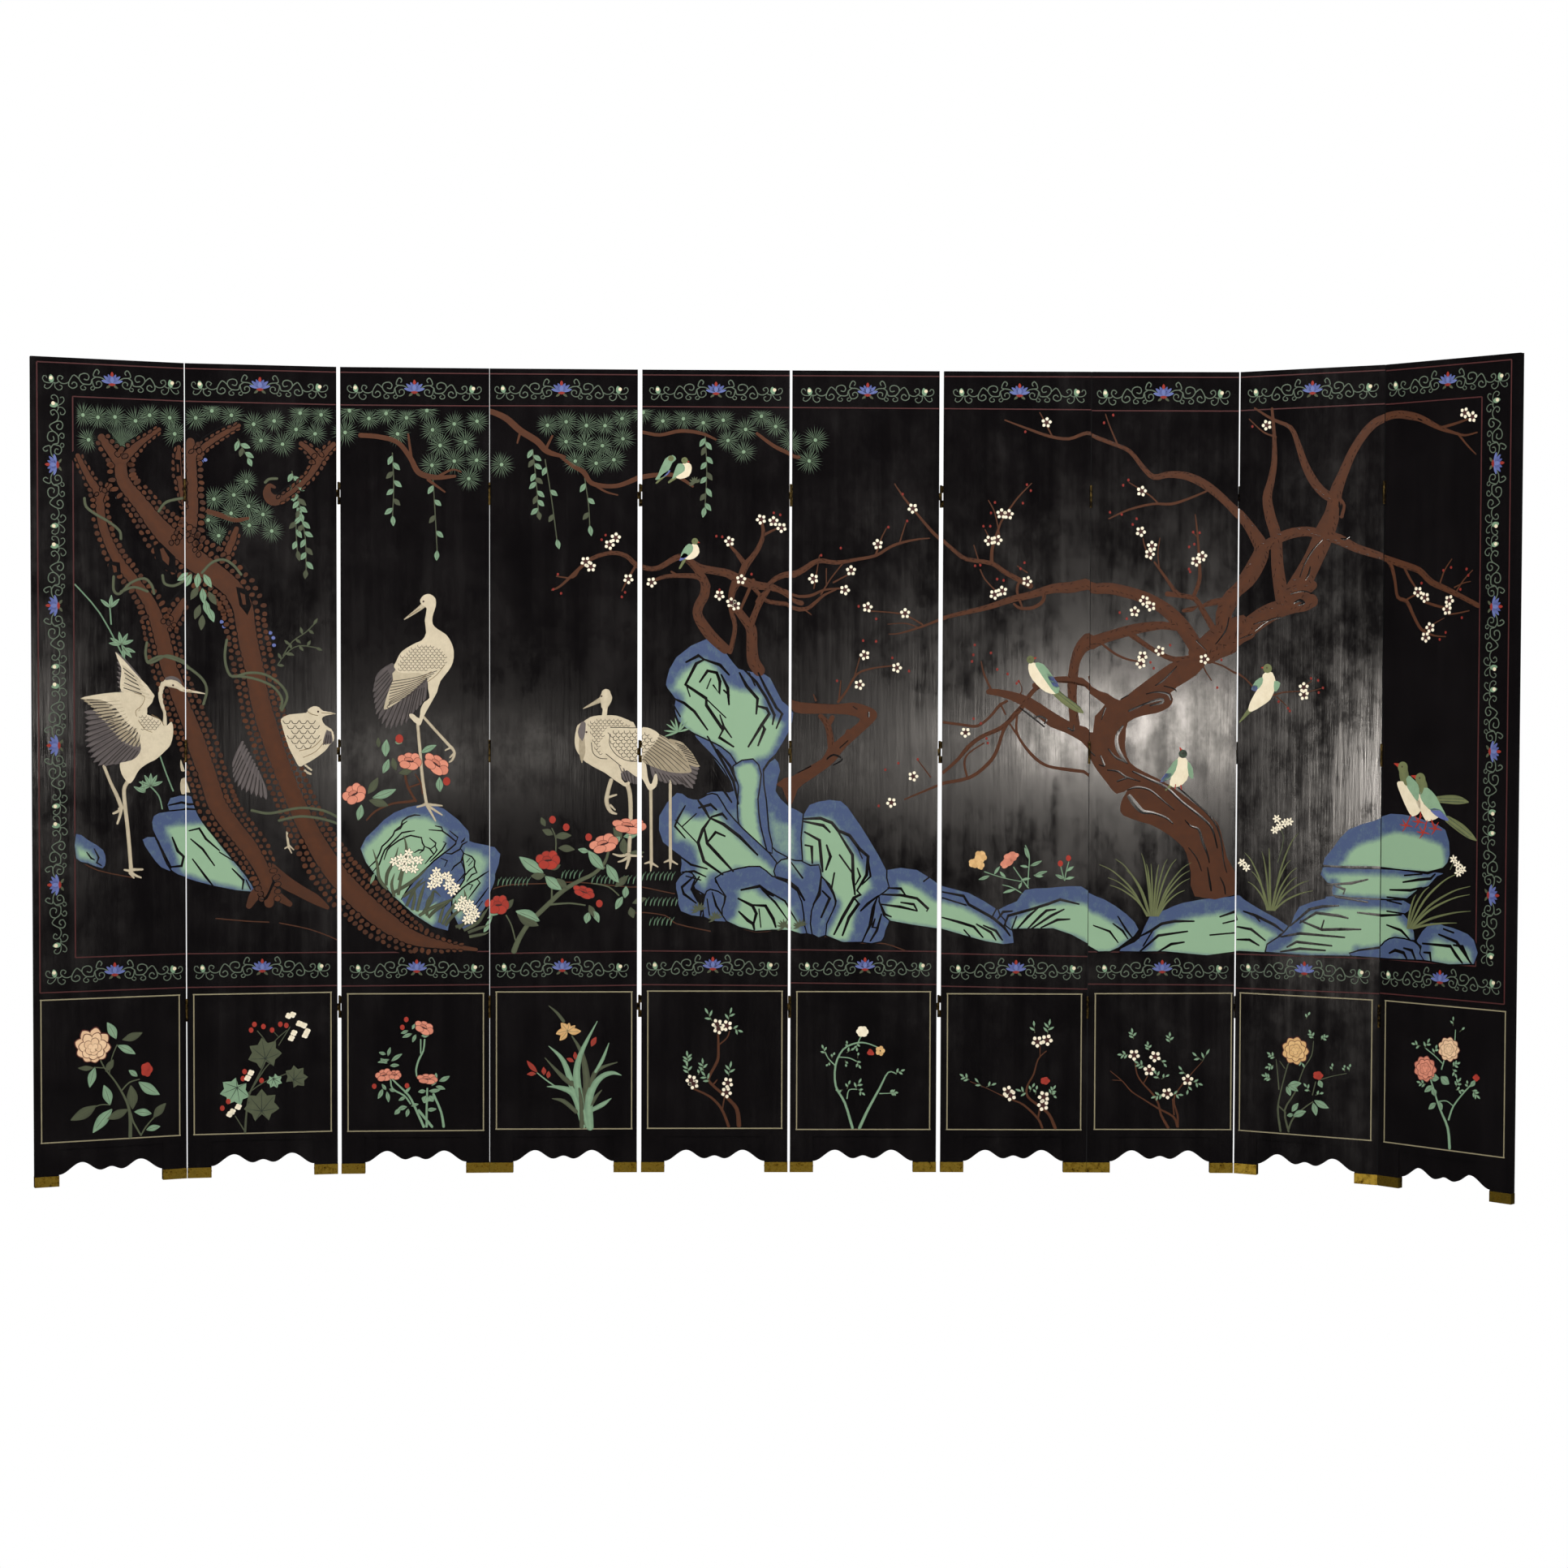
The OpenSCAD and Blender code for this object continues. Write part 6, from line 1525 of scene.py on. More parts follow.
# Camellia bush of panel 4.
stems("garden", "leaf_olive", [(1460, 667, 17), (1476, 705, 15), (1505, 750, 13), (1540, 785, 14),
    (1575, 818, 14), (1610, 850, 14), (1660, 880, 12), (1705, 902, 11), (1738, 935, 9), (1750, 970, 7)],
    [(1574, 808, 6), (1630, 812, 5), (1678, 806, 4)], [(1576, 812, 6), (1576, 856, 5)],
    [(1464, 700, 4), (1452, 745, 4), (1436, 775, 4)], [(1704, 872, 4), (1750, 862, 4), (1782, 836, 4)],
    [(1588, 965, 3), (1588, 1010, 4), (1576, 1040, 3)], [(1738, 920, 6), (1715, 935, 4)], shade=1.0)
for place in ((1736, 992, 44, 28, 15), (1812, 1046, 50, 24, -8)):
    camellia("garden", "petal_coral", *place)
for place in [(1564, 942, 36, 30, 0), (1412, 806, 32, 30, 0), (1674, 846, 34, 18, -22)]:
    camellia("garden", "petal_red", *place)
for u, z in [(1578, 1066), (1620, 1043), (1689, 1013), (1722, 811), (1372, 826)]:
    bud("garden", u, z, 10)
leaves("garden", "leaf_green", (1550, 904, 152, 88, 34), (1556, 894, -45, 64, 32), (1735, 915, 135, 74, 30),
    (1745, 930, -62, 66, 28), (1538, 758, 152, 78, 34), (1430, 800, 205, 62, 26), (1394, 776, 220, 50, 22),
    (1690, 970, 175, 34, 16), (1690, 784, 250, 34, 22), (1704, 790, -60, 40, 18), (1800, 828, 78, 36, 20),
    (1794, 832, 235, 44, 20), (1760, 996, 30, 34, 20), (1796, 1014, 15, 48, 20))
leaves("garden", "leaf_olive", (1470, 780, -35, 74, 34), (1556, 898, 190, 44, 24), (1622, 856, 130, 44, 22),
    (1580, 1020, 150, 36, 20), (1584, 1014, 10, 52, 22), (1596, 980, 0, 50, 22), (1556, 1046, 120, 30, 16),
    (1572, 914, 20, 34, 14), (1770, 862, 35, 52, 22), (1790, 1008, 120, 42, 26), (1800, 960, 100, 50, 26),
    (1812, 966, -10, 44, 18), (1818, 800, -80, 34, 22), (1824, 812, 20, 40, 18), (1434, 790, 60, 42, 18),
    (1690, 806, -60, 40, 20))
# Grass ticks on the ground lines, and small starry tufts.
for u, z, count in [(1410, 866, 8), (1606, 888, 5), (1700, 872, 6), (1786, 872, 4), (1851, 878, 8),
    (1860, 800, 8), (1872, 740, 6)]:
    for i in range(count):
        at = u + i * 13 + dice.uniform(-2, 2)
        for lean, high in ((4, 20), (12, 25)):
            tick = [(at, z, 1.8), (at + lean * 0.3, z + high * 0.5, 1.6), (at + lean, z + high, 0.8)]
            stroke("garden", "leaf_green", tick, tall=0.4, cuts=1, shade=0.1)
for u, z, size, colour in ((2025, 785, 26, "leaf_olive"), (2076, 760, 24, "leaf_olive"),
    (2290, 735, 26, "leaf_olive"), (2340, 752, 24, "leaf_olive"), (1960, 1328, 44, "leaf_green"),
    (2010, 2086, 20, "leaf_olive")):
    for i in range(8):
        leaf("garden", (u, z), 20 + i * 26 + dice.uniform(-6, 6), size, 6, colour, 0.82, rib=False)
# Roses, grasses and narcissus from panel 7 to panel 10.
stems("garden", "leaf_green", [(3040, 870, 4), (3018, 900, 3), (2994, 934, 3)],
    [(3024, 852, 3), (2990, 872, 3), (2960, 880, 2)], [(3038, 874, 3), (3040, 920, 3), (3042, 970, 3),
    (3030, 1000, 3)], [(3020, 890, 2), (2960, 902, 2), (2904, 920, 3)],
    [(3152, 894, 3), (3156, 920, 3), (3164, 950, 3)], [(3150, 896, 3), (3140, 935, 3)], shade=0.7)
for colour, *place in (("petal_yellow", 2892, 966, 18, 20, 60), ("petal_yellow", 2872, 946, 18, 15, 0),
    ("petal_yellow", 2892, 940, 12, 14, 0), ("petal_coral", 2986, 966, 24, 15, 15),
    ("petal_coral", 2974, 950, 26, 15, 40)):
    petals("garden", colour, *place[:4], 5, place[4], 0.5, 0.5)
for u, z in ((3138, 946), (3163, 962)):
    bud("garden", u, z, 8)
leaves("garden", "leaf_green", (2920, 908, 205, 36, 10), (2934, 912, 60, 30, 9), (2970, 902, 140, 26, 9),
    (3040, 960, 105, 36, 11), (3044, 938, 18, 40, 10), (3058, 908, 25, 42, 10), (3056, 910, -12, 30, 9),
    (3040, 934, 165, 26, 8), (3046, 900, 185, 30, 8), (3000, 866, 190, 40, 9), (3010, 868, 70, 22, 8),
    (3150, 898, 148, 30, 10), (3154, 898, 18, 28, 9), (3158, 922, 40, 26, 9))
blades((3432, 812, 36), [(3267, 968), (3294, 928), (3300, 905), (3316, 985), (3350, 950), (3396, 1002),
    (3412, 970), (3426, 970), (3450, 968), (3476, 985), (3504, 985), (3550, 975), (3545, 950), (3545, 926),
    (3530, 890)], 5.5)
blades((3808, 815, 26), [(3722, 986), (3734, 898), (3745, 930), (3777, 990), (3800, 1002), (3800, 945),
    (3868, 968), (3892, 1050), (3888, 945), (3926, 908), (3940, 878), (3890, 918)], 5.5)
blades((4262, 780, 20), [(4280, 880), (4325, 905), (4426, 950), (4464, 914), (4462, 890), (4466, 842),
    (4420, 805)], 7)
stems("garden", "leaf_olive", [(3828, 960, 3), (3846, 1030, 3), (3838, 1056, 3)],
    [(4396, 960, 3), (4412, 990, 3)])
for i, (u, z) in enumerate([(3714, 956), (3728, 942), (3824, 1092), (3834, 1070), (3818, 1058),
    (3850, 1080), (3864, 1084), (4408, 990), (4422, 974), (4438, 962), (4424, 952)]):
    star(u, z, 13, i * 31, tall=0.9 + 0.03 * i)
print("garden:", len(sheet["garden"]), "strokes")

# %% [markdown]
# ## Flowers of the lower boxes
# Each lower box holds one plant: peony, vine, wild rose, lily, plum, and so on, spaced far apart on bare
# lacquer. The roses' stems rise from the bottom line of the box.


# %% Vine leaf
# angle, part of the size
VINE_LOBES = ((90, 1.0), (66, 0.7), (42, 1.0), (22, 0.72), (-4, 0.95), (-34, 0.62), (-62, 0.8), (-88, 0.35),
    (-116, 0.8), (-148, 0.62), (-176, 0.95), (158, 0.72), (138, 1.0), (114, 0.7))


def vine_leaf(u, z, size, angle, colour, shade):
    """A leaf with seven lobes and its veins."""
    patch("boxes", colour, [(u + math.cos(math.radians(a + angle)) * size * r,
        z + math.sin(math.radians(a + angle)) * size * r) for a, r in VINE_LOBES], 0.5, 2, shade)
    for a in (90, 42, 138, -4, 184, -62, -116):
        path = turned([(0, -size * 0.2, 2.2), (math.cos(math.radians(a)) * size * 0.8,
            math.sin(math.radians(a)) * size * 0.8, 1)], angle, (u, z))
        stroke("boxes", "pine_green", path, tall=0.62, cuts=1, shade=0.0)


# %% Boxes 1 to 5
stems("boxes", "leaf_olive", [(282, 136, 11), (282, 195, 10), (272, 240, 7), (240, 300, 5), (206, 345, 4),
    (188, 385, 4)], [(314, 138, 5), (292, 178, 5), (284, 205, 6)],
    [(314, 138, 4), (330, 164, 4), (354, 190, 4)], [(222, 234, 3), (196, 236, 3), (176, 230, 3)],
    [(258, 276, 4), (280, 298, 4), (310, 306, 3)], [(244, 412, 3), (228, 374, 3), (220, 325, 3)],
    [(206, 345, 3), (176, 348, 3)], shade=0.9)
leaves("boxes", "leaf_green", (241, 430, 112, 56, 26), (245, 410, -22, 60, 22), (178, 347, -111, 60, 24),
    (222, 234, 101, 62, 28), (228, 221, 224, 88, 32), (308, 298, -39, 74, 30), (304, 315, 137, 32, 16),
    (346, 201, 165, 52, 22), (330, 153, 17, 43, 18))
leaves("boxes", "leaf_olive", (260, 426, 12, 62, 24), (209, 334, 50, 42, 20), (174, 347, 184, 46, 15),
    (289, 218, 88, 71, 32), (181, 234, 213, 85, 32), (276, 218, 207, 68, 26), (352, 188, 54, 56, 24))
peony("boxes", "petal_blush", 172, 406, 52, 0.16)
petals("boxes", "petal_red", 332, 334, 18, 22, 5, 0, 0.45, 0.55)
stems("boxes", "leaf_olive", [(634, 134, 7), (638, 190, 6), (648, 250, 5), (672, 300, 4), (696, 350, 4),
    (700, 400, 3), (672, 440, 3)], [(634, 136, 4), (605, 184, 3)],
    [(640, 250, 4), (690, 284, 3), (740, 302, 3), (780, 316, 3)],
    [(650, 258, 4), (690, 320, 4), (712, 345, 3)], [(708, 392, 3), (736, 420, 3), (760, 440, 3)],
    [(736, 396, 3), (770, 450, 3)], [(736, 420, 2), (718, 440, 2)], shade=0.6)
for place in ((694, 366, 54, 10, "leaf_olive", 0.75), (684, 208, 56, 0, "leaf_olive", 0.75),
    (786, 296, 38, -40, "leaf_olive", 0.75), (606, 262, 48, 150, "leaf_green", 0.7),
    (722, 290, 25, 200, "leaf_green", 0.8)):
    vine_leaf(*place)
for u, z in [(663, 460), (653, 443), (690, 453), (716, 442), (741, 459), (759, 455), (633, 318), (628, 297),
    (684, 290), (584, 229), (566, 209)]:
    bud("boxes", u, z, 7)
for u, z in [(766, 484), (778, 487), (798, 460), (812, 454), (782, 432), (774, 416), (822, 436), (816, 424),
    (652, 314), (642, 298), (614, 212), (596, 198), (588, 190)]:
    petals("boxes", "petal_cream", u, z, 10, 9, 4, 20, 0.5, 0.55)
stems("boxes", "leaf_green", [(1175, 144, 8), (1150, 200, 7), (1130, 240, 6), (1090, 280, 5),
    (1072, 300, 4)], [(1200, 144, 8), (1160, 194, 8)], [(1184, 144, 7), (1184, 200, 6), (1186, 262, 5)],
    [(1236, 144, 8), (1228, 190, 7), (1205, 244, 7)], [(1154, 300, 4), (1152, 320, 5), (1160, 350, 6),
    (1174, 378, 5), (1178, 412, 5)], [(1166, 412, 4), (1166, 370, 4)],
    [(1074, 290, 4), (1080, 262, 5), (1116, 240, 5), (1134, 216, 5)])
for place in [(1176, 448, 30, 20, -28), (1054, 303, 26, 19, 10), (1086, 304, 20, 15, -5),
    (1186, 291, 31, 16, -6)]:
    camellia("boxes", "petal_coral", *place)
for u, z in [(1122, 474), (1110, 450), (1024, 270), (1124, 271)]:
    bud("boxes", u, z, 7)
leaves("boxes", "leaf_green", (1064, 340, 150, 26, 11), (1066, 362, 80, 28, 10), (1070, 352, 200, 36, 11),
    (1076, 346, 40, 40, 12), (1072, 332, 10, 28, 11), (1060, 368, 170, 22, 10), (1128, 440, 205, 24, 10),
    (1140, 444, 60, 18, 9), (1140, 430, 195, 32, 11), (1152, 428, 240, 26, 11), (1168, 424, 0, 24, 12),
    (1050, 262, 250, 34, 13), (1060, 258, 120, 22, 10), (1062, 254, 285, 34, 12), (1070, 262, 330, 20, 10),
    (1116, 248, 40, 26, 9), (1120, 236, 200, 24, 10), (1124, 206, 190, 30, 14), (1128, 200, 262, 26, 12),
    (1136, 208, 20, 24, 10), (1104, 198, 215, 24, 14), (1182, 254, 180, 24, 12), (1190, 254, 0, 36, 12),
    (1184, 240, 255, 24, 24), (1192, 240, -60, 22, 20), (1200, 270, 60, 30, 12), (1222, 284, 20, 36, 14),
    (1212, 268, -10, 30, 12), (1214, 292, 100, 18, 9), (1184, 196, 0, 30, 12))
BOX_LILY = (  # colour and path of each blade
    ("leaf_green", [(1676, 137, 8), (1645, 239, 20), (1612, 334, 14), (1567, 379, 2)]),
    ("leaf_green", [(1670, 150, 14), (1645, 232, 20), (1600, 254, 12), (1562, 257, 2)]),
    ("leaf_green", [(1702, 188, 12), (1734, 204, 13), (1759, 221, 2)]),
    ("leaf_olive", [(1673, 150, 12), (1668, 239, 20), (1613, 283, 14), (1555, 344, 2)]),
    ("leaf_olive", [(1676, 150, 14), (1684, 264, 22), (1670, 353, 14), (1638, 410, 4)]),
    ("leaf_olive", [(1612, 455, 10), (1592, 480, 8), (1567, 501, 2)]),
    ("leaf_olive", [(1690, 240, 14), (1708, 296, 14), (1734, 316, 9), (1777, 330, 3)]),
    ("leaf_olive", [(1651, 182, 12), (1613, 213, 12), (1577, 221, 2)]),
    ("leaf_olive", [(1696, 200, 12), (1712, 226, 10), (1730, 246, 2)]),
    ("leaf_green", [(1686, 137, 10), (1655, 264, 22), (1662, 347, 16), (1716, 454, 2)]),
    ("leaf_green", [(1694, 137, 22), (1692, 226, 24), (1722, 280, 17), (1760, 298, 12), (1790, 291, 2)]),
    ("leaf_green", [(1711, 302, 8), (1733, 340, 10), (1752, 388, 2)]),
    ("leaf_green", [(1587, 258, 4), (1560, 276, 4), (1532, 298, 3)]),
    ("leaf_olive", [(1668, 137, 12), (1668, 200, 14), (1660, 250, 8)]),
)
for i, (colour, path) in enumerate(BOX_LILY):
    stroke("boxes", colour, path, tall=0.4 + 0.02 * i, cuts=4, shade=0.85, rim=0.35)
leaves("boxes", "petal_yellow", (1624, 426, 190, 36, 20), (1624, 424, 235, 36, 18),
    (1624, 426, 125, 30, 20), (1624, 424, 72, 26, 14), (1624, 424, -5, 42, 20), (1624, 424, 30, 30, 14))
leaves("boxes", "petal_red", (1532, 300, 138, 48, 15), (1528, 296, 178, 28, 12), (1552, 292, 88, 24, 14),
    (1564, 282, 78, 22, 13), (1644, 332, 150, 24, 12), (1648, 338, 86, 24, 12), (1698, 378, 68, 32, 16))
stems("boxes", "bark_brown", [(2118, 137, 9), (2096, 188, 8), (2061, 223, 7), (2007, 248, 5)],
    [(2150, 140, 14), (2143, 188, 12), (2111, 222, 9), (2062, 264, 8), (2058, 284, 8), (2083, 331, 9),
    (2086, 366, 8), (2085, 410, 6)], [(2086, 378, 4), (2112, 400, 4), (2120, 420, 3)],
    [(2098, 182, 4), (2104, 215, 4), (2110, 228, 3)], [(2072, 262, 5), (2082, 274, 3)])
for u, z in [(2082, 441), (2086, 428), (2112, 437), (2002, 273), (2009, 262), (2115, 265), (2111, 236)]:
    blossom(u, z, 16, "boxes")
for place in [(2066, 452, 120, 3, 34), (2116, 452, 75, 3, 32), (2128, 430, -20, 3, 28),
    (1994, 292, 100, 4, 30), (1992, 322, 95, 5, 30), (2024, 290, 60, 2, 20), (2040, 300, 95, 4, 30),
    (2060, 268, 130, 4, 32), (2118, 286, 80, 4, 34)]:
    sprig("boxes", *place)

# %% Boxes 6 to 10
stems("boxes", "leaf_green", [(2503, 136, 8), (2479, 213, 7), (2451, 264, 6), (2450, 328, 6),
    (2473, 376, 5), (2511, 395, 5), (2543, 396, 4), (2578, 384, 3)],
    [(2525, 136, 9), (2549, 188, 8), (2587, 258, 6), (2613, 306, 4), (2638, 302, 3)],
    [(2460, 353, 3), (2492, 350, 3), (2514, 340, 3)], [(2448, 328, 4), (2428, 348, 3), (2418, 368, 3)],
    [(2486, 226, 4), (2492, 252, 3), (2516, 254, 3)], [(2587, 241, 3), (2622, 242, 2)],
    [(2520, 398, 3), (2527, 414, 3)])
for place in [(2418, 362, 110, 3, 24), (2438, 350, 60, 2, 16), (2432, 338, 230, 2, 14),
    (2484, 366, 30, 2, 24), (2480, 342, -80, 2, 16), (2514, 342, -60, 3, 22), (2518, 350, 80, 1, 16),
    (2516, 396, -90, 3, 20), (2490, 384, 110, 2, 16), (2472, 252, 180, 2, 18), (2486, 256, 70, 2, 22),
    (2512, 256, 60, 3, 28), (2520, 254, -40, 3, 22), (2636, 304, 20, 3, 24), (2618, 244, 0, 5, 20)]:
    sprig("boxes", *place)
petals("boxes", "petal_cream", 2533, 431, 19, 17, 6, 0, 0.5, 0.5)
petals("boxes", "petal_yellow", 2588, 372, 14, 15, 5, 0, 0.6, 0.45)
petals("boxes", "petal_red", 2558, 367, 12, 10, 3, -30, 0.4, 0.6)
stems("boxes", "bark_brown", [(3087, 137, 7), (3073, 166, 7), (3029, 207, 6), (2990, 224, 4),
    (2952, 240, 3), (2914, 258, 2), (2864, 278, 2)], [(3127, 137, 10), (3108, 178, 9), (3080, 202, 8),
    (3042, 232, 7), (3040, 264, 6), (3060, 302, 5), (3073, 347, 4), (3098, 372, 3)],
    [(3079, 355, 3), (3079, 388, 3)], [(3074, 166, 6), (3080, 200, 5)],
    [(3485, 146, 9), (3463, 188, 7), (3454, 226, 6), (3435, 258, 6), (3403, 293, 4), (3387, 321, 4),
    (3381, 360, 3)], [(3514, 150, 9), (3501, 182, 7), (3454, 210, 6), (3409, 239, 4), (3371, 264, 4),
    (3343, 296, 3), (3305, 328, 2)], [(3514, 152, 7), (3514, 188, 6), (3502, 240, 5), (3526, 284, 4),
    (3562, 328, 3), (3590, 360, 2)], [(3408, 290, 3), (3420, 312, 3)], [(3342, 298, 2), (3312, 300, 2)],
    [(3503, 190, 5), (3498, 240, 4)])
for u, z in [(3070, 401), (3100, 406), (2980, 248), (2988, 236), (3091, 232), (3089, 206), (3378, 379),
    (3443, 374), (3425, 331), (3544, 301), (3481, 258)]:
    blossom(u, z, 17, "boxes")
petals("boxes", "petal_red", 3095, 281, 15, 12, 5, 0, 0.5, 0.5)
for place in [(3062, 428, 95, 2, 30), (3102, 426, 80, 4, 34), (2860, 284, 150, 4, 26),
    (2900, 262, 130, 2, 28), (2914, 262, 20, 2, 26), (3040, 242, 160, 3, 30), (3048, 248, 60, 2, 24),
    (3066, 240, 80, 2, 22), (3112, 240, 60, 4, 24), (3112, 244, -40, 2, 20), (3376, 430, 100, 4, 26),
    (3360, 380, 180, 4, 26), (3424, 394, 100, 4, 22), (3460, 364, -50, 2, 24), (3410, 342, 150, 4, 28),
    (3456, 304, 120, 3, 26), (3464, 304, 30, 2, 22), (3488, 418, 90, 4, 26), (3466, 256, 200, 4, 28),
    (3498, 256, -5, 3, 26), (3538, 318, 130, 2, 28), (3560, 296, -20, 3, 26), (3548, 286, -100, 2, 26),
    (3586, 364, 140, 2, 30), (3590, 362, 60, 2, 34)]:
    sprig("boxes", *place)
stems("boxes", "leaf_olive", [(3844, 142, 7), (3835, 207, 6), (3844, 264, 4), (3862, 334, 4),
    (3870, 356, 3)], [(3870, 142, 6), (3857, 207, 6), (3889, 264, 4), (3914, 334, 3), (3940, 379, 3),
    (3946, 423, 2)], [(3870, 150, 6), (3884, 184, 5), (3920, 220, 4), (3946, 239, 3)],
    [(3954, 300, 3), (3944, 260, 3)], [(3968, 308, 3), (4010, 322, 2), (4050, 332, 2)],
    [(3838, 270, 4), (3832, 330, 3), (3828, 360, 2)], [(3856, 335, 3), (3840, 356, 2)],
    [(3836, 220, 4), (3860, 200, 4)], shade=0.75)
stems("boxes", "leaf_green", [(4404, 141, 9), (4397, 201, 8), (4368, 258, 6), (4346, 315, 5),
    (4336, 340, 4)], [(4400, 226, 6), (4416, 268, 5), (4454, 315, 4), (4486, 347, 4)],
    [(4414, 268, 3), (4392, 280, 3), (4366, 276, 3)], [(4374, 372, 4), (4384, 404, 4)],
    [(4376, 390, 3), (4350, 410, 3), (4320, 428, 3)], [(4418, 462, 3), (4420, 492, 2)])
for colour, *place in (("petal_yellow", 3889, 391, 42), ("petal_blush", 4398, 433, 36),
    ("petal_coral", 4318, 368, 38)):
    peony("boxes", colour, *place)
petals("boxes", "petal_red", 3961, 320, 17, 14, 5, 0, 0.45, 0.5)
petals("boxes", "petal_red", 4491, 358, 12, 11, 4, 0, 0.45, 0.5)
leaves("boxes", "leaf_green", (3964, 306, -70, 24, 16), (4488, 350, 235, 26, 14), (3862, 280, -60, 30, 16),
    (3866, 282, 20, 44, 20), (3866, 284, -20, 36, 16), (3950, 244, -30, 50, 20), (3946, 236, -70, 40, 18),
    (3884, 190, 30, 44, 20), (3880, 204, 60, 34, 16), (3884, 196, 200, 20, 12), (4372, 350, -40, 34, 26),
    (4366, 344, 180, 34, 22), (4354, 290, 110, 26, 18), (4366, 276, -70, 26, 16), (4356, 270, 215, 32, 16),
    (4346, 320, 210, 36, 16))
for place in [(3824, 366, 150, 4, 22), (3820, 342, 200, 4, 22), (3812, 300, 160, 5, 24),
    (3902, 370, -60, 3, 26), (3946, 432, 120, 4, 22), (3970, 430, 30, 4, 20), (3936, 270, 130, 3, 24),
    (3954, 260, 20, 2, 22), (4006, 338, 90, 2, 18), (4044, 338, 90, 2, 16), (4058, 340, 80, 2, 18),
    (3922, 490, 60, 2, 20), (4300, 434, 170, 3, 24), (4316, 430, 60, 3, 26), (4348, 416, 70, 3, 22),
    (4412, 384, 30, 4, 22), (4412, 376, -60, 3, 22), (4320, 322, 170, 4, 24), (4424, 326, 60, 4, 24),
    (4424, 316, 0, 3, 22), (4478, 320, -40, 5, 26), (4464, 326, 100, 2, 18), (4412, 504, 90, 2, 22, 9),
    (4434, 488, 40, 1, 20)]:
    sprig("boxes", *place)
print("boxes:", len(sheet["boxes"]), "strokes")

# %% [markdown]
# ## Materials
# The ground is black lacquer rubbed to a satin: almost black, a little brown, with a soft shine that
# shows the upright joints of the planks below and the wiping marks of years. The colours of the picture
# are thick and matt, with a broken, brushed surface. The brass of the shoes is bright and worn, and
# the hinges have gone dull and dark. Each is a node material in real millimetres.


# %% Colours and nodes
def linear(code):
    """An sRGB hex colour as the linear colour that a shader wants."""
    parts = [int(code[i : i + 2], 16) / 255 for i in (1, 3, 5)]
    return (*[p / 12.92 if p <= 0.04045 else ((p + 0.055) / 1.055) ** 2.4 for p in parts], 1)


def add_node(tree, kind, settings=None, **inputs):
    """Adds one node, sets its properties and its inputs; a socket as a value is linked."""
    node = tree.nodes.new(kind)
    for name, value in (settings or {}).items():
        setattr(node, name, value)
    for name, value in inputs.items():
        numbered = name[0] == "_" and name[1:].isdigit()
        socket = node.inputs[int(name[1:]) if numbered else name.replace("_", " ")]
        if isinstance(value, bpy.types.NodeSocket):
            tree.links.new(value, socket)
        else:
            socket.default_value = value
    return node


def new_material(name):
    """A material with an empty tree, its output and its Principled shader."""
    material = bpy.data.materials.new(name)
    material.use_nodes = True
    tree = material.node_tree
    tree.nodes.clear()
    shader = add_node(tree, "ShaderNodeBsdfPrincipled")
    output = add_node(tree, "ShaderNodeOutputMaterial", Surface=shader.outputs[0])
    where = add_node(tree, "ShaderNodeTexCoord").outputs["Object"]
    return material, tree, shader, where


def blend_colours(tree, factor, dark, light):
    """A colour between two, by a factor."""
    mix = add_node(tree, "ShaderNodeMix", {"data_type": "RGBA"}, _0=factor)
    for place, colour in ((6, dark), (7, light)):
        if isinstance(colour, bpy.types.NodeSocket):
            tree.links.new(colour, mix.inputs[place])
        else:
            mix.inputs[place].default_value = linear(colour)
    return mix.outputs[2]


def stretched(tree, where, x, y, z):
    """Texture coordinates scaled apart in each direction, in features per metre."""
    return add_node(tree, "ShaderNodeMapping", _0=where, Scale=(x, y, z)).outputs[0]


def spread(tree, value, low, high, to_low, to_high):
    """A value moved from one range to another, and held inside it."""
    return add_node(tree, "ShaderNodeMapRange", _0=value, _1=low, _2=high, _3=to_low, _4=to_high).outputs[0]


def noise(tree, where, scale, detail, rough=0.5):
    """Soft random patches; scale is how many go in a metre."""
    return add_node(tree, "ShaderNodeTexNoise", Vector=where, Scale=scale, Detail=detail,
        Roughness=rough).outputs[0]


def combined(tree, how, a, b):
    """Two values added or multiplied."""
    return add_node(tree, "ShaderNodeMath", {"operation": how}, _0=a, _1=b).outputs[0]


def relief(tree, height, strength, depth, **below):
    """A surface raised by a value, with a depth in metres."""
    return add_node(tree, "ShaderNodeBump", Strength=strength, Distance=depth, Height=height,
        **below).outputs[0]


# %% Black lacquer
def black_lacquer():
    """Satin black lacquer: slow cloudy patches, upright plank and wiping streaks, fine rubbed grain."""
    material, tree, shader, where = new_material("satin_black_lacquer")
    clouds = noise(tree, where, 5.0, 5.0, 0.6)
    streaks = noise(tree, stretched(tree, where, 16, 16, 0.9), 1.0, 5.0, 0.65)
    grain = noise(tree, stretched(tree, where, 700, 700, 240), 1.0, 3.0)
    wear = combined(tree, "MULTIPLY", clouds, streaks)
    worn = spread(tree, wear, 0.14, 0.42, 0, 1)
    tree.links.new(blend_colours(tree, worn, "#0a0809", "#120f10"), shader.inputs["Base Color"])
    smears = noise(tree, stretched(tree, where, 22, 22, 14), 1.0, 6.0, 0.7)
    dulled = combined(tree, "ADD", wear, spread(tree, smears, 0.3, 0.7, -0.1, 0.1))
    rough = spread(tree, dulled, 0.1, 0.42, 0.07, 0.22)
    tree.links.new(rough, shader.inputs["Roughness"])
    shader.inputs["IOR"].default_value = 1.5
    swell = relief(tree, streaks, 0.12, 0.004)
    rubbed = relief(tree, grain, 0.06, 0.0002, Normal=swell)
    tree.links.new(rubbed, shader.inputs["Normal"])
    return material


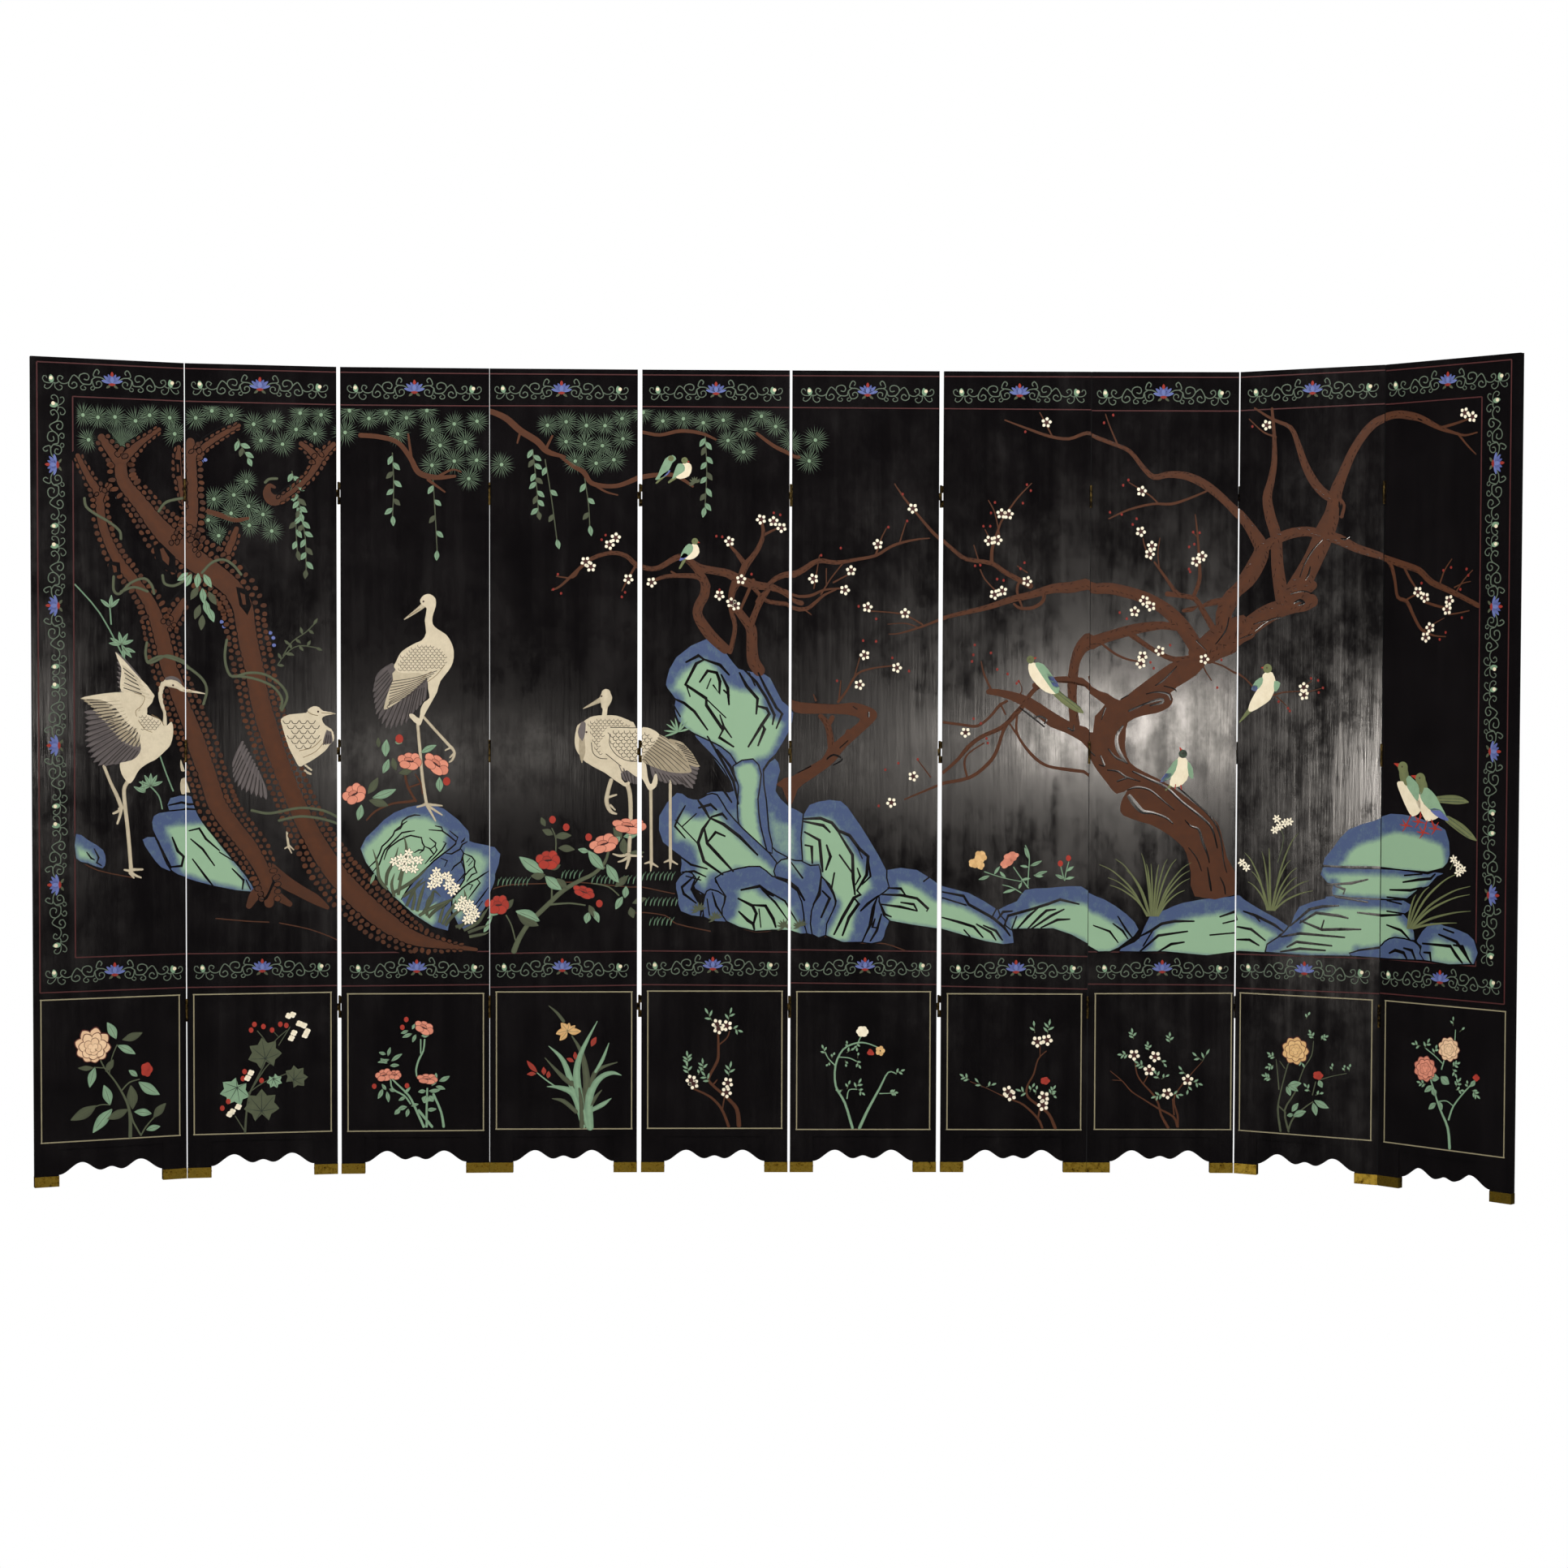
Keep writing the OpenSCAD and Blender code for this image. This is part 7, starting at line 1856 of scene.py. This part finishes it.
# %% Picture colours
PAINTS = {  # each colour of the picture: darker shade, lighter shade, roughness
    "line_red": ("#35100f", "#552020", 0.5),
    "line_gold": ("#766e54", "#9a9172", 0.5),
    "scroll_green": ("#38443a", "#66745f", 0.6),
    "lotus_blue": ("#333c7c", "#6470a6", 0.6),
    "petal_cream": ("#cdbc98", "#f3e9d0", 0.6),
    "petal_red": ("#7c1a0e", "#a82c19", 0.55),
    "petal_coral": ("#9c4e3a", "#d88a70", 0.6),
    "petal_yellow": ("#a8773c", "#dcb47a", 0.6),
    "petal_blush": ("#b98d66", "#e6c39c", 0.6),
    "leaf_green": ("#516f56", "#83a282", 0.6),
    "leaf_olive": ("#2d3122", "#51583e", 0.62),
    "grass_olive": ("#454a2c", "#6c7348", 0.62),
    "bark_brown": ("#301402", "#582a02", 0.62),
    "rock_colour": ("#3c4d72", "#86a686", 0.6),
    "crane_cream": ("#94876e", "#cdc0a5", 0.58),
    "feather_grey": ("#3c3636", "#665d5b", 0.6),
    "feather_line": ("#5a4628", "#86704a", 0.6),
    "feather_dark": ("#1d1715", "#382b24", 0.6),
    "pine_green": ("#161f19", "#7f9a7a", 0.62),
    "heart_red": ("#33110f", "#5e2019", 0.55),
}


def paint(name, dark, light, rough):
    """Thick matt colour: its shade comes from the drawn piece, broken by brush marks and fine cracks."""
    material, tree, shader, where = new_material(name)
    shade = add_node(tree, "ShaderNodeAttribute", {"attribute_name": "shade"}).outputs["Fac"]
    brushed = noise(tree, stretched(tree, where, 260, 260, 130), 1.0, 4.0, 0.7)
    blotch = noise(tree, where, 45.0, 3.0)
    uneven = combined(tree, "ADD", brushed, blotch)
    shift = spread(tree, uneven, 0.6, 1.4, -0.22, 0.22)
    tone = add_node(tree, "ShaderNodeMath", {"operation": "ADD", "use_clamp": True}, _0=shade,
        _1=shift).outputs[0]
    tree.links.new(blend_colours(tree, tone, dark, light), shader.inputs["Base Color"])
    tree.links.new(spread(tree, brushed, 0.3, 0.7, rough - 0.06, rough + 0.1), shader.inputs["Roughness"])
    shader.inputs["IOR"].default_value = 1.45
    cracks = add_node(tree, "ShaderNodeTexVoronoi", {"feature": "DISTANCE_TO_EDGE"}, Vector=where,
        Scale=300.0).outputs[0]
    crackle = relief(tree, spread(tree, cracks, 0.0, 0.06, 0, 1), 0.25, 0.0001)
    marks = relief(tree, brushed, 0.35, 0.0003, Normal=crackle)
    tree.links.new(marks, shader.inputs["Normal"])
    return material


# %% Brass
def brass(name, bright, dull, dark, shine, stain):
    """Brass with tarnish: bright metal where it is rubbed, dull film over it, dark stains in patches."""
    material, tree, shader, where = new_material(name)
    film = noise(tree, where, 70.0, 6.0, 0.65)
    spots = noise(tree, where, 230.0, 4.0)
    scratches = noise(tree, stretched(tree, where, 90, 90, 2600), 1.0, 2.0)
    filmed = blend_colours(tree, spread(tree, film, 0.4, 0.62, 0, 1), bright, dull)
    both = combined(tree, "MULTIPLY", film, spots)
    tree.links.new(blend_colours(tree, spread(tree, both, *stain, 0, 1), filmed, dark),
        shader.inputs["Base Color"])
    shader.inputs["Metallic"].default_value = 1.0
    tree.links.new(spread(tree, film, 0.35, 0.65, *shine), shader.inputs["Roughness"])
    scored = relief(tree, scratches, 0.3, 0.0001)
    tree.links.new(scored, shader.inputs["Normal"])
    return material


lacquer = black_lacquer()
colours = {name: paint(name, *recipe) for name, recipe in PAINTS.items()}
shoe_brass = brass("worn_bright_brass", "#e2bf4e", "#a8862c", "#4a3712", (0.3, 0.5), (0.3, 0.42))
aged_brass = brass("dull_aged_brass", "#8c7442", "#57472a", "#171310", (0.38, 0.6), (0.2, 0.32))
FINISH = {"shoes": shoe_brass, "hinges": aged_brass, "fasteners": aged_brass}
for name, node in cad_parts.items():
    node.data.materials.clear()
    node.data.materials.append(FINISH.get(name.split("_")[-1], lacquer))
print("materials:", len(bpy.data.materials))

# %% [markdown]
# ## Cutting the sheet into boards
# Now the long drawing is cut at the board edges and laid on the faces. A shape that runs over a joint
# is cut in two there, and gets a closing side down to the lacquer where it was cut. All the shapes of
# one kind on one panel make one piece, which rides on that panel.


# %% Laying the picture
def kept(corners, line, side):
    """The part of one face that is right (side 1) or left (side -1) of an upright line."""
    out = []
    for a, b in zip(corners, corners[1:] + corners[:1]):
        da, db = (a[0] - line) * side, (b[0] - line) * side
        if da >= 0:
            out.append(a)
        if da * db < 0:
            t = da / (da - db)
            out.append(tuple(p + (q - p) * t for p, q in zip(a, b)))
    return out


def cut_shape(points, faces, low, high):
    """A shape cut to the panel between two upright lines, with closing sides."""
    seen, new_points, new_faces = {}, [], []
    for face in faces:
        corners = [points[i] for i in face]
        for line, side in ((low, 1), (high, -1)):
            corners = kept(corners, line, side) if corners else corners
        ring = []
        for corner in corners:
            key = tuple(round(c, 3) for c in corner[:3])
            if key not in seen:
                seen[key] = len(new_points)
                new_points.append(corner)
            if seen[key] not in ring:
                ring.append(seen[key])
        if len(ring) > 2:
            new_faces.append(tuple(ring))
    used = {(a, b) for ring in new_faces for a, b in zip(ring, ring[1:] + ring[:1])}
    foot = {}
    for a, b in used:
        ends = new_points[a], new_points[b]
        on_cut = any(abs(ends[0][0] - line) + abs(ends[1][0] - line) < 1e-3 for line in (low, high))
        if (b, a) in used or not on_cut:
            continue
        for end in (a, b):
            if end not in foot and new_points[end][2] > SUNK + 1e-4:
                foot[end] = len(new_points)
                u, z, _, shade = new_points[end]
                new_points.append((u, z, SUNK, shade))
        side = [a, foot.get(a, a), foot.get(b, b), b]
        side = [p for i, p in enumerate(side) if p not in side[:i]]
        if len(side) > 2:
            new_faces.append(tuple(side))
    return new_points, new_faces


def lay_on(number, layer):
    """Makes the piece that carries one layer of the picture on one panel."""
    corner, along, out, width = STANDS[number]
    left, right = edge_of(number), edge_of(number) + SHEET_PANEL
    stretch = width * MM / SHEET_PANEL
    verts, faces, shades, slots, used = [], [], [], [], []
    for colour, points, shape_faces in sheet[layer]:
        us = [p[0] for p in points]
        if max(us) <= left or min(us) >= right:
            continue
        if min(us) < left or max(us) > right:
            points, shape_faces = cut_shape(points, shape_faces, left, right)
        if not shape_faces:
            continue
        if colour not in used:
            used.append(colour)
        base = len(verts)
        for u, z, height, shade in points:
            place = corner + along * ((u - left) * stretch / MM) + out * (height / MM)
            verts.append(place + Vector((0, 0, z / MM)))
            shades.append(shade)
        faces.extend(tuple(base + i for i in face) for face in shape_faces)
        slots.extend([used.index(colour)] * len(shape_faces))
    if not faces:
        return None
    mesh = bpy.data.meshes.new(f"panel_{number}_{layer}")
    mesh.from_pydata(verts, [], faces)
    for colour in used:
        mesh.materials.append(lacquer if colour == "lacquer" else colours[colour])
    mesh.polygons.foreach_set("material_index", slots)
    mesh.attributes.new("shade", "FLOAT", "POINT").data.foreach_set("value", shades)
    mesh.update()
    piece = bpy.data.objects.new(mesh.name, mesh)
    bpy.context.scene.collection.objects.link(piece)
    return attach(piece, f"panel_{number}")


pieces = [lay_on(number, layer) for layer in sheet for number in PANELS]
pieces = [piece for piece in pieces if piece]
print("picture pieces:", len(pieces), "with", sum(len(p.data.polygons) for p in pieces), "faces")

# %% [markdown]
# ## Floor, light and camera
# The screen is photographed from the front, a little below its middle, against plain white. A pale
# floor and white surroundings stand for that. Two wide soft lights hang high in front and one behind. Five
# weak warm ones stand low behind the camera: the satin lacquer mirrors those as soft hazes on the boards.

# %% Studio
scene = bpy.context.scene
scene.view_settings.view_transform = "Standard"
# m; degrees: round, down, tipped
CAMERA_PLACE, CAMERA_TURN = (-0.1224, -8.4328, 1.4741), (-1.194, 1.897, 0.18)
LENS = 65.77  # mm on a 36 mm sensor


def white_surroundings():
    """White where the camera looks past the screen, and a soft grey for the light that falls on it."""
    world = bpy.data.worlds.new("white_surroundings")
    scene.world = world
    world.use_nodes = True
    tree = world.node_tree
    tree.nodes.clear()
    path = add_node(tree, "ShaderNodeLightPath")
    soft = add_node(tree, "ShaderNodeBackground", Color=(1, 1, 1, 1), Strength=0.34)
    seen = add_node(tree, "ShaderNodeBackground", Color=(1, 1, 1, 1), Strength=1.0)
    shiny = add_node(tree, "ShaderNodeBackground", Color=(1, 1, 1, 1), Strength=0.025)
    dim = add_node(tree, "ShaderNodeMixShader", _0=path.outputs["Is Glossy Ray"], _1=soft.outputs[0],
        _2=shiny.outputs[0])
    both = add_node(tree, "ShaderNodeMixShader", _0=path.outputs["Is Camera Ray"], _1=dim.outputs[0],
        _2=seen.outputs[0])
    add_node(tree, "ShaderNodeOutputWorld", Surface=both.outputs[0])


def pale_floor():
    """A plain pale floor that runs out of sight."""
    mesh = bpy.data.meshes.new("pale_floor")
    half = 60
    mesh.from_pydata([(-half, -half, 0), (half, -half, 0), (half, half, 0), (-half, half, 0)], [],
        [(0, 1, 2, 3)])
    floor = bpy.data.objects.new("pale_floor", mesh)
    scene.collection.objects.link(floor)
    material, tree, shader, where = new_material("white_paper")
    fibres = noise(tree, where, 30.0, 4.0)
    tree.links.new(blend_colours(tree, fibres, "#e9e9e8", "#f1f1f0"), shader.inputs["Base Color"])
    shader.inputs["Roughness"].default_value = 0.8
    path = add_node(tree, "ShaderNodeLightPath")
    white = add_node(tree, "ShaderNodeEmission", Color=(1, 1, 1, 1), Strength=1.0)
    dim = add_node(tree, "ShaderNodeEmission", Color=(1, 1, 1, 1), Strength=0.03)
    lit = add_node(tree, "ShaderNodeMixShader", _0=path.outputs["Is Glossy Ray"], _1=shader.outputs[0],
        _2=dim.outputs[0])
    shown = add_node(tree, "ShaderNodeMixShader", _0=path.outputs["Is Camera Ray"], _1=lit.outputs[0],
        _2=white.outputs[0])
    output = next(n for n in tree.nodes if n.type == "OUTPUT_MATERIAL")
    tree.links.new(shown.outputs[0], output.inputs["Surface"])
    mesh.materials.append(material)
    return floor


def soft_light(name, place, aim, size, power, colour=(1, 1, 1)):
    """A soft rectangular light that looks at a point."""
    data = bpy.data.lights.new(name, "AREA")
    data.shape, data.size, data.size_y, data.energy = "RECTANGLE", *size, power
    data.color = colour
    lamp = bpy.data.objects.new(name, data)
    lamp.location = place
    lamp.rotation_euler = (Vector(aim) - Vector(place)).to_track_quat("-Z", "Y").to_euler()
    scene.collection.objects.link(lamp)
    return lamp


WARM = (1, 0.93, 0.85)  # the colour of the hazes that the lacquer mirrors
white_surroundings()
pale_floor()
LAMPS = (  # name, place, aim and size in m, power in W, and the colour where it isn't white
    ("left_overhead", (-3.2, -4.6, 6.4), (-0.3, 0, 1.2), (3.0, 2.0), 260),
    ("right_overhead", (3.2, -4.6, 6.4), (0.3, 0, 1.2), (3.0, 2.0), 260),
    ("rear_overhead", (0.6, 5.6, 6.6), (0.0, 0.2, 1.1), (3.0, 1.6), 170),
    ("low_haze", (2.1, -8.9, 1.24), (1.2, 0, 1.3), (1.3, 0.5), 42, WARM),
    ("wide_haze", (1.06, -9.2, 1.06), (0.4, 0, 1.2), (0.9, 0.5), 5, WARM),
    ("faint_haze", (0.3, -9.2, 1.05), (0, 0, 1.2), (0.4, 0.5), 1, WARM),
    ("dim_haze", (-1.3, -9.1, 1.05), (-1, 0, 1.2), (1.3, 0.5), 4, WARM),
    ("left_haze", (-6.34, -8.86, 0.86), (1.8, 0, 1.2), (0.24, 0.6), 125, WARM),
)
for lamp in LAMPS:
    soft_light(*lamp)

camera_data = bpy.data.cameras.new("front_camera")
camera_data.lens, camera_data.sensor_width = LENS, 36
camera = bpy.data.objects.new("front_camera", camera_data)
scene.collection.objects.link(camera)
camera.location = CAMERA_PLACE
around, down, tipped = (math.radians(a) for a in CAMERA_TURN)
camera.rotation_mode = "XYZ"
camera.rotation_euler = (
    Matrix.Rotation(around, 3, "Z") @ Matrix.Rotation(math.pi / 2 - down, 3, "X") @ Matrix.Rotation(tipped,
    3, "Z")
).to_euler()
scene.camera = camera
